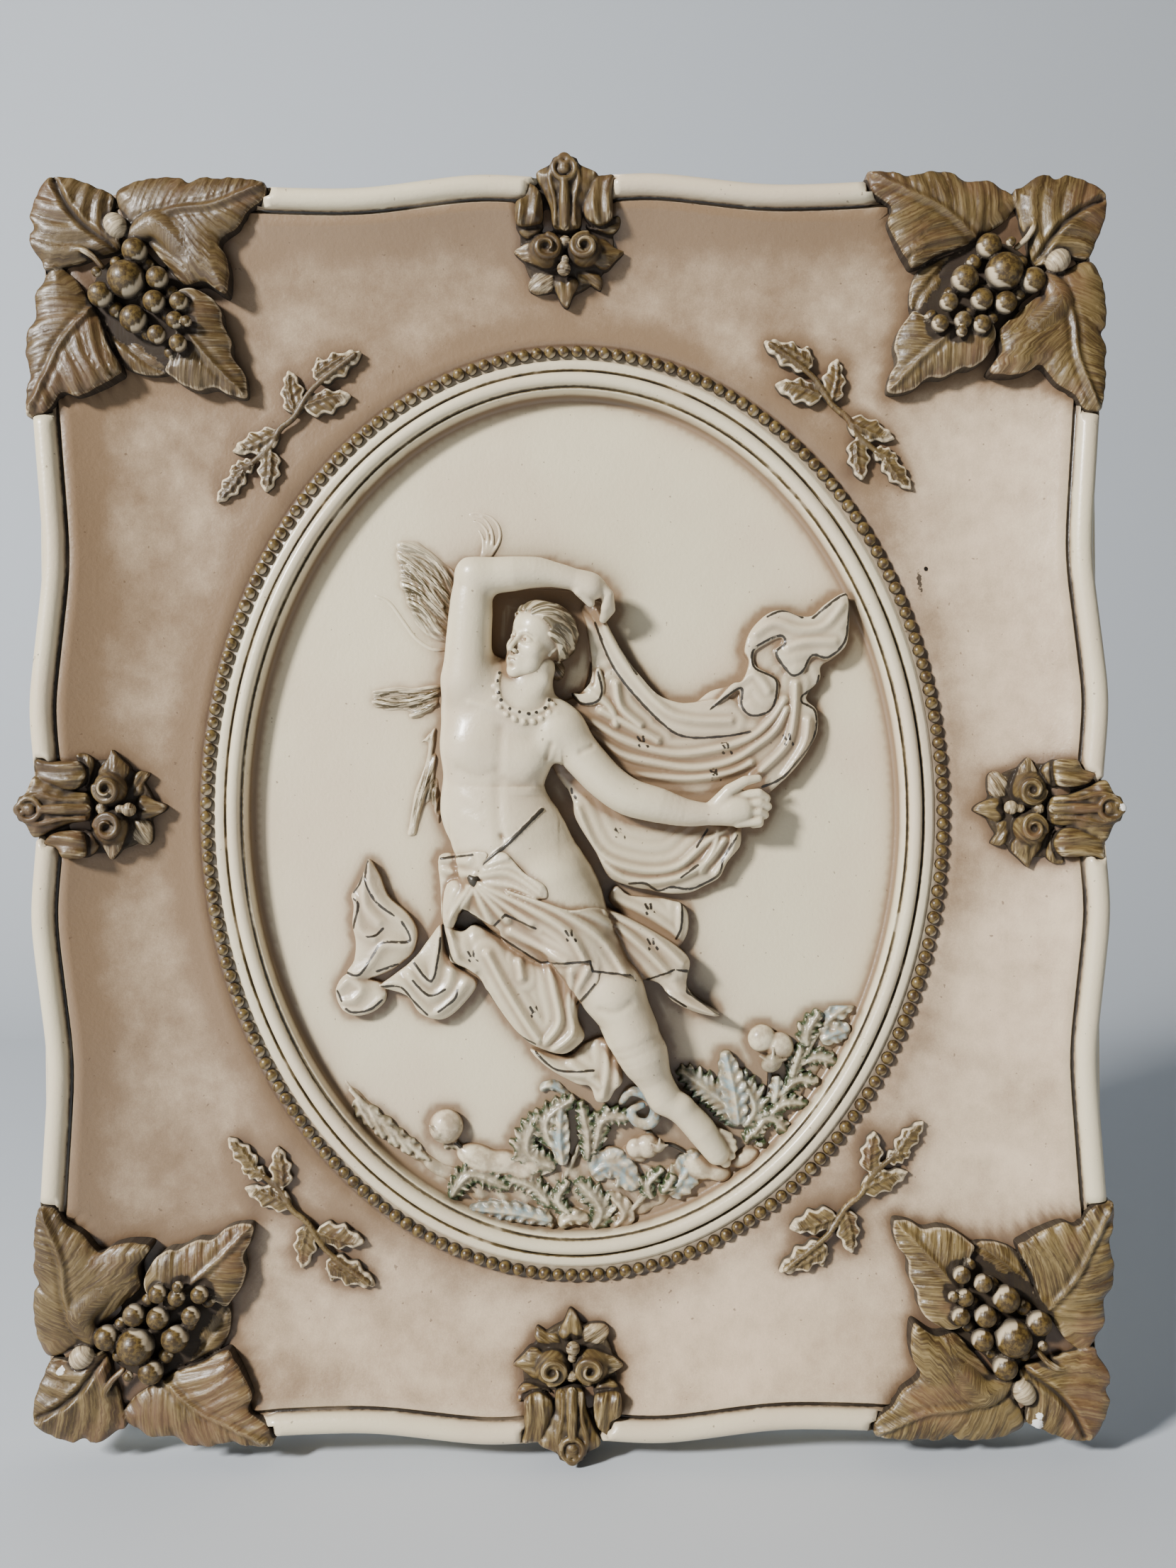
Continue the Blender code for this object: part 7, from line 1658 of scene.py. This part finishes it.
ivoryLook = {
    "ivory": tint(232, 220, 188), "pinkish": tint(226, 209, 180), "tan": tint(134, 110, 84), "blush": tint(230, 204, 174),
    "brown": tint(84, 62, 44), "line": tint(20, 12, 5), "gold": tint(84, 68, 32), "cool": tint(128, 162, 172),
    "moss": tint(62, 72, 44), "strand": tint(66, 54, 24), "plaster": tint(240, 238, 232),
    "chips": [(0.1962, -0.2630, 0.0016), (-0.2180, -0.2365, 0.0012)],
    "pits": [(0.232, -0.040, 0.0009), (0.156, 0.103, 0.0008)],
    "dashes": [(0.1531, 0.0979, 0.0052, 0.0010, -83), (-0.2303, 0.0620, 0.0064, 0.0008, 44),
               (-0.1293, -0.2619, 0.0024, 0.0013, -55), (-0.1238, -0.2696, 0.0035, 0.0009, 14)],
}


def ivoryPaint():
    look = ivoryLook
    m = Mixer("ivoryGlaze")
    zone = m.stored("zone")
    blotch = m.add(m.noise(26, 4, 0.6), -0.5)
    patch = m.add(m.noise(120, 3), -0.5)
    grain = m.add(m.noise(1500, 2), -0.5)
    # the stored glaze amount carries the cove's painted shade as well as the glaze itself
    glaze = m.add(m.stored("glaze"), m.times(m.add(m.times(blotch, 0.80), m.times(patch, 0.34)), m.add(m.times(zone, 0.9), 0.08)))
    glaze = m.add(glaze, m.times(grain, m.add(m.times(zone, 0.16), 0.05)))
    colour = m.mix(m.span(m.noise(14, 2), 0.35, 0.7), look["ivory"], look["pinkish"])
    colour = m.mix(m.times(zone, 0.8), colour, look["blush"])
    colour = m.mix(m.span(glaze, 0.0, 1.0), colour, look["tan"])
    shade = m.add(m.stored("shade"), m.times(patch, 0.5))
    colour = m.mix(m.math("MULTIPLY", m.span(shade, 0.1, 1.0), 0.85), colour, look["brown"])
    strand = m.noise(1.0, 3, 0.6, m.pack(m.times(m.stored("grainA"), 1100.0), m.times(m.stored("grainL"), 90.0)))
    brush = m.times(m.stored("brush"), m.add(0.18, m.span(strand, 0.46, 0.53, 0.82)))
    colour = m.mix(brush, colour, look["strand"])
    colour = m.mix(m.times(m.stored("leafy"), m.span(m.noise(150, 3), 0.40, 0.62, 0.55)), colour, look["tan"])
    leafy = m.noise(260, 3, 0.6)
    colour = m.mix(m.times(m.stored("moss"), m.span(m.add(leafy, m.times(m.stored("crevice"), 0.12)), 0.34, 0.56, 1.0)), colour, look["moss"])
    colour = m.mix(m.times(m.stored("cool"), m.span(leafy, 0.62, 0.36, 0.85)), colour, look["cool"])
    # painted lines: the two round the oval, the one inside the rail and those on the figure
    wander = m.times(m.add(m.noise(9, 2), -0.5), 0.0011)
    broken = m.noise(70, 3)
    for at, thick in ((0.0083, 0.00056), (0.0152, 0.00050)):
        gap = m.math("ABSOLUTE", m.add(m.add(m.stored("ovalGap"), -at), wander))
        edge = m.add(gap, m.times(m.add(m.noise(420, 2), -0.5), 0.0005))
        colour = m.mix(m.times(m.span(edge, thick, thick + 0.00035, 0.0, 1.0), m.span(broken, 0.30, 0.42, 0.95, 0.35)), colour, look["gold"])
        colour = m.mix(m.times(m.span(edge, thick * 0.35, thick * 0.8, 0.0, 1.0), m.span(broken, 0.38, 0.55, 0.95, 0.25)), colour, look["line"])
    edge = m.add(m.math("ABSOLUTE", m.add(m.stored("railGap"), -0.0103)), m.times(m.add(m.noise(300, 2), -0.5), 0.0006))
    colour = m.mix(m.times(m.span(edge, 0.0006, 0.0011, 0.0, 0.95), m.span(m.noise(24, 2), 0.30, 0.45, 1.0, 0.6)), colour, look["line"])
    edge = m.add(m.stored("lineGap"), m.times(m.add(m.noise(340, 2), -0.5), 0.0007))
    colour = m.mix(m.span(edge, 0.00040, 0.00072, 0.0, 0.95), colour, look["line"])
    for mark in look["dashes"]:
        colour = m.mix(m.dash(*mark), colour, look["line"])
    for x, z, radius in look["pits"]:
        colour = m.mix(m.dot(x, z, radius, 0.0003), colour, look["line"])
    for x, z, radius in look["chips"]:
        colour = m.mix(m.dot(x, z, radius), colour, look["plaster"])
    specks = m.span(m.noise(520, 1, 0.3), 0.775, 0.80)
    colour = m.mix(m.times(specks, 0.55), colour, look["brown"])
    rough = m.add(0.30, m.add(m.times(m.noise(60, 2), 0.10), m.times(zone, 0.05)))
    bump = m.add(m.noise(620, 3), m.times(m.noise(90, 2), 1.2))
    return m.finish(colour, rough, bump, coat=0.25, coatRough=0.16)


oliveLook = {
    "deep": tint(70, 52, 30), "olive": tint(113, 94, 53), "light": tint(168, 147, 104), "cream": tint(220, 202, 170),
    "dark": tint(30, 19, 9), "rust": tint(134, 98, 72), "grape": tint(104, 84, 42), "grapeDeep": tint(62, 46, 20), "plaster": tint(242, 240, 234),
    "chips": [(0.1962, -0.2630, 0.0022), (0.1968, -0.2590, 0.0012), (-0.2180, -0.2365, 0.0014), (0.2338, -0.0010, 0.0016)],
}


def olivePaint():
    look = oliveLook
    m = Mixer("oliveBronze")
    fine = m.noise(1.0, 4, 0.65, m.pack(m.times(m.stored("grainA"), 1000.0), m.times(m.stored("grainL"), 90.0)))
    coarse = m.noise(1.0, 3, 0.6, m.pack(m.times(m.stored("grainA"), 330.0), m.times(m.stored("grainL"), 60.0), 3.0))
    patch = m.noise(55, 4)
    crevice = m.stored("crevice")
    raised = m.span(crevice, 0.20, -0.50)
    stroke = m.add(m.times(fine, 0.45), m.add(m.times(coarse, 0.30), m.times(patch, 0.25)))
    colour = m.mix(m.span(stroke, 0.40, 0.56), look["deep"], look["olive"])
    colour = m.mix(m.span(m.noise(38, 3), 0.48, 0.66, 0.4), colour, look["rust"])
    colour = m.mix(m.times(m.span(stroke, 0.47, 0.60), m.add(0.20, m.times(raised, 0.70))), colour, look["light"])
    # painted shade: the olive is darkened towards the upper left of the plaque
    colour = m.mix(m.stored("wear"), colour, look["deep"])
    berry = m.stored("berry")
    skin = m.mix(m.span(m.noise(520, 4, 0.65), 0.40, 0.62), look["grapeDeep"], look["grape"])
    colour = m.mix(berry, colour, skin)
    rub = m.times(m.span(crevice, -0.35, -1.0), m.span(m.add(m.times(fine, 0.6), m.times(patch, 0.9)), 0.70, 0.95))
    rub = m.times(rub, m.add(1.0, m.times(berry, -0.8)))
    rub = m.math("MAXIMUM", rub, m.span(m.add(m.times(m.stored("cream"), 1.0), m.times(m.add(fine, -0.5), 0.9)), 0.22, 0.62))
    colour = m.mix(m.times(rub, 0.85), colour, look["cream"])
    sunk = m.math("MAXIMUM", m.span(m.add(crevice, m.times(m.add(patch, -0.5), 0.5)), 0.20, 1.1), m.stored("dark"))
    colour = m.mix(m.times(sunk, 0.9), colour, look["dark"])
    for x, z, radius in look["chips"]:
        colour = m.mix(m.dot(x, z, radius), colour, look["plaster"])
    rough = m.add(m.span(fine, 0.3, 0.7, 0.48, 0.36), m.times(sunk, 0.45))
    bump = m.add(m.times(fine, 1.3), m.noise(500, 2))
    return m.finish(colour, rough, bump, coat=0.12, coatRough=0.22)


materials = {"ivory": ivoryPaint(), "olive": olivePaint()}
stored = {"ivory": ("leafy", "zone", "glaze", "shade", "grainA", "grainL", "brush", "moss", "cool", "crevice", "railGap",
                    "ovalGap", "lineGap"),
          "olive": ("grainA", "grainL", "crevice", "cream", "dark", "berry", "wear")}


def outOfPlane(points):
    return np.column_stack([points[:, 0], -points[:, 2], points[:, 1] - hangerUp])


def makeObject(name, points, faces, material, keep, attributes):
    mesh = bpy.data.meshes.new(name)
    world = outOfPlane(points)
    faces = faces.tolist() if isinstance(faces, np.ndarray) else faces
    mesh.from_pydata(world.tolist(), [], faces)
    triangles = np.array([(f[0], f[k], f[k + 1]) for f in faces for k in range(1, len(f) - 1)])
    corners = world[triangles]
    volume = np.einsum("ij,ij->i", corners[:, 0], np.cross(corners[:, 1], corners[:, 2])).sum() / 6
    if volume < 0:
        mesh.flip_normals()
    for key in stored[material]:
        layer = mesh.attributes.new(key, "FLOAT", "POINT")
        layer.data.foreach_set("value", np.asarray(attributes[key], np.float32))
    rounded = np.ones(len(faces), bool)
    if name == "plaqueBody":
        rounded[-7:] = False  # the flat back and the nail pocket
    mesh.polygons.foreach_set("use_smooth", rounded)
    mesh.materials.append(materials[material])
    made = bpy.data.objects.new(name, mesh)
    bpy.context.scene.collection.objects.link(made)
    if keep < 1:
        # flat undersides and even places lose their faces first
        lean = made.modifiers.new("lean", "DECIMATE")
        lean.ratio = keep
        graph = bpy.context.evaluated_depsgraph_get()
        plain = bpy.data.meshes.new_from_object(made.evaluated_get(graph))
        made.modifiers.clear()
        made.data = plain
        bpy.data.meshes.remove(mesh)
    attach(made, "root")
    return made


for name, piece in pieces.items():
    made = makeObject(name, piece["points"], piece["faces"], piece["material"], piece["keep"], piece["attributes"])
    print("made", name, "of", len(made.data.polygons), "faces")
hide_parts("plaque")


# the ring of beads: a nodes tree lays small domes at even steps along the oval
beads = {"count": 194, "radius": 0.00272, "level": 0.0243, "uneven": 0.06, "segments": 10, "rings": 6, "seed": 4}


def makeBeads():
    turn = np.linspace(0, 2 * np.pi, 721)[:-1]
    path = np.stack([np.cos(turn), np.sin(turn)], axis=1) * ground["ovalHalf"] + ground["ovalCentre"]
    mesh = bpy.data.meshes.new("beadPath")
    mesh.from_pydata(outOfPlane(np.column_stack([path, np.full(len(path), beads["level"])])).tolist(),
                     [(i, (i + 1) % len(path)) for i in range(len(path))], [])
    made = bpy.data.objects.new("beadRing", mesh)
    bpy.context.scene.collection.objects.link(made)
    tree = bpy.data.node_groups.new("beadRingNodes", "GeometryNodeTree")
    face = tree.interface
    face.new_socket(name="Path", in_out="INPUT", socket_type="NodeSocketGeometry")
    wanted = {}
    for label, kind, key in (("Bead count", "NodeSocketInt", "count"), ("Bead radius", "NodeSocketFloat", "radius"),
                             ("Unevenness", "NodeSocketFloat", "uneven"), ("Seed", "NodeSocketInt", "seed")):
        socket = face.new_socket(name=label, in_out="INPUT", socket_type=kind)
        wanted[socket.identifier] = beads[key]
    face.new_socket(name="Beads", in_out="OUTPUT", socket_type="NodeSocketGeometry")
    new, link = tree.nodes.new, tree.links.new
    start, end = new("NodeGroupInput"), new("NodeGroupOutput")
    curve = new("GeometryNodeMeshToCurve")
    steps = new("GeometryNodeResampleCurve")
    dome = new("GeometryNodeMeshUVSphere")
    dome.inputs["Segments"].default_value = beads["segments"]
    dome.inputs["Rings"].default_value = beads["rings"]
    place_ = new("GeometryNodeInputPosition")
    keep = new("GeometryNodeStoreNamedAttribute")
    keep.data_type = "FLOAT_VECTOR"
    keep.domain = "POINT"
    keep.inputs["Name"].default_value = "onBead"
    unit = new("ShaderNodeVectorMath")
    unit.operation = "NORMALIZE"
    chance = new("FunctionNodeRandomValue")
    chance.data_type = "FLOAT"
    less, more = new("ShaderNodeMath"), new("ShaderNodeMath")
    less.operation, more.operation = "SUBTRACT", "ADD"
    less.inputs[0].default_value = more.inputs[0].default_value = 1.0
    lay = new("GeometryNodeInstanceOnPoints")
    real = new("GeometryNodeRealizeInstances")
    smoothShade = new("GeometryNodeSetShadeSmooth")
    paint = new("GeometryNodeSetMaterial")
    paint.inputs["Material"].default_value = materials["bead"]
    link(start.outputs["Path"], curve.inputs["Mesh"])
    link(curve.outputs["Curve"], steps.inputs["Curve"])
    link(start.outputs["Bead count"], steps.inputs["Count"])
    link(start.outputs["Bead radius"], dome.inputs["Radius"])
    link(dome.outputs["Mesh"], keep.inputs["Geometry"])
    link(place_.outputs["Position"], unit.inputs[0])
    link(unit.outputs["Vector"], keep.inputs["Value"])
    link(start.outputs["Unevenness"], less.inputs[1])
    link(start.outputs["Unevenness"], more.inputs[1])
    link(less.outputs[0], chance.inputs[2])
    link(more.outputs[0], chance.inputs[3])
    link(start.outputs["Seed"], chance.inputs["Seed"])
    link(steps.outputs["Curve"], lay.inputs["Points"])
    link(keep.outputs["Geometry"], lay.inputs["Instance"])
    link(chance.outputs[1], lay.inputs["Scale"])
    link(lay.outputs["Instances"], real.inputs["Geometry"])
    link(real.outputs["Geometry"], smoothShade.inputs["Geometry"])
    link(smoothShade.outputs["Geometry"], paint.inputs["Geometry"])
    link(paint.outputs["Geometry"], end.inputs["Beads"])
    modifier = made.modifiers.new("beads", "NODES")
    modifier.node_group = tree
    for key, value in wanted.items():
        modifier[key] = value
    bpy.context.view_layer.update()
    graph = bpy.context.evaluated_depsgraph_get()
    plain = bpy.data.meshes.new_from_object(made.evaluated_get(graph))
    made.modifiers.clear()
    made.data = plain
    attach(made, "root")
    print("made beadRing of", len(plain.polygons), "faces")


def beadPaint():
    look = oliveLook
    m = Mixer("beadBronze")
    node = m.tree.nodes.new("ShaderNodeAttribute")
    node.attribute_name = "onBead"
    split = m.tree.nodes.new("ShaderNodeSeparateXYZ")
    m.put(split.inputs[0], node.outputs["Vector"])
    up = m.add(m.times(split.outputs[1], -1.0), m.times(m.add(m.noise(330, 3), -0.5), 0.5))
    colour = m.mix(m.span(m.noise(500, 3), 0.4, 0.62), look["olive"], look["deep"])
    side = m.add(m.times(split.outputs[0], 0.5), m.times(split.outputs[2], -0.6))
    colour = m.mix(m.span(m.add(m.times(side, 0.9), m.times(m.add(m.noise(60, 2), -0.5), 0.9)), 0.28, 0.60, 0.8), colour, look["cream"])
    colour = m.mix(m.span(up, 0.55, 0.10), colour, look["dark"])
    return m.finish(colour, 0.36, None, coat=0.1)


materials["bead"] = beadPaint()
makeBeads()


# the stage: a pale sweep under and far behind the plaque, a window-like key light from the upper left, a pale fill
stage = {"floor": -0.5232, "behind": 1.70, "bend": 0.70, "key": (-2.10, -2.05, 1.10), "keySize": 0.42, "keyPower": 205,
         "fill": (1.3, -1.5, -0.1), "fillPower": 0.4, "rear": (-1.2, 2.3, 0.6), "rearPower": 26, "sky": 0.07, "pale": tint(205, 212, 220)}


def makeStage():
    profile = [(-3.0, stage["floor"]), (stage["behind"] - stage["bend"], stage["floor"])]
    for turn in np.radians(np.linspace(0, 90, 13)):
        profile.append((stage["behind"] - stage["bend"] + stage["bend"] * math.sin(turn),
                        stage["floor"] + stage["bend"] * (1 - math.cos(turn))))
    profile.append((stage["behind"], 3.0))
    points = [(x, y, z) for x in (-5.0, 5.0) for y, z in profile]
    count = len(profile)
    faces = [(i, i + count, i + count + 1, i + 1) for i in range(count - 1)]
    mesh = bpy.data.meshes.new("sweep")
    mesh.from_pydata(points, [], faces)
    mesh.shade_smooth()
    paper = bpy.data.materials.new("paleSweep")
    paper.use_nodes = True
    paper.node_tree.nodes["Principled BSDF"].inputs["Base Color"].default_value = stage["pale"]
    paper.node_tree.nodes["Principled BSDF"].inputs["Roughness"].default_value = 0.85
    mesh.materials.append(paper)
    sweep = bpy.data.objects.new("sweep", mesh)
    bpy.context.scene.collection.objects.link(sweep)

    middle = np.array([0, 0, -hangerUp])
    for name, at, size, power, colour in (("key", stage["key"], stage["keySize"], stage["keyPower"], (1.0, 0.98, 0.95)),
                                          ("fill", stage["fill"], 1.6, stage["fillPower"], (1.0, 0.98, 0.95)),
                                          ("rear", stage["rear"], 1.0, stage["rearPower"], (1.0, 0.98, 0.95))):
        light = bpy.data.lights.new(name, "AREA")
        light.size = size
        light.energy = power
        light.color = colour
        lamp = bpy.data.objects.new(name, light)
        bpy.context.scene.collection.objects.link(lamp)
        way = Matrix.Identity(3)
        from mathutils import Vector
        way = (Vector(middle) - Vector(at)).to_track_quat("-Z", "Y")
        lamp.location = at
        lamp.rotation_euler = way.to_euler()
    world = bpy.data.worlds.new("paleRoom")
    world.use_nodes = True
    world.node_tree.nodes["Background"].inputs["Color"].default_value = (1.0, 0.97, 0.93, 1)
    world.node_tree.nodes["Background"].inputs["Strength"].default_value = stage["sky"]
    bpy.context.scene.world = world


makeStage()
view = {"at": (0.0078, -0.642, -0.2335), "lens": 32.55, "roll": -0.5}
lens = bpy.data.cameras.new("front")
lens.lens = view["lens"]
lens.sensor_width = 36
lens.clip_start = 0.01
eye = bpy.data.objects.new("front", lens)
bpy.context.scene.collection.objects.link(eye)
eye.matrix_world = Matrix.Translation(view["at"]) @ Matrix.Rotation(math.radians(90), 4, "X") \
    @ Matrix.Rotation(math.radians(view["roll"]), 4, "Z")
bpy.context.scene.camera = eye
print("staged")
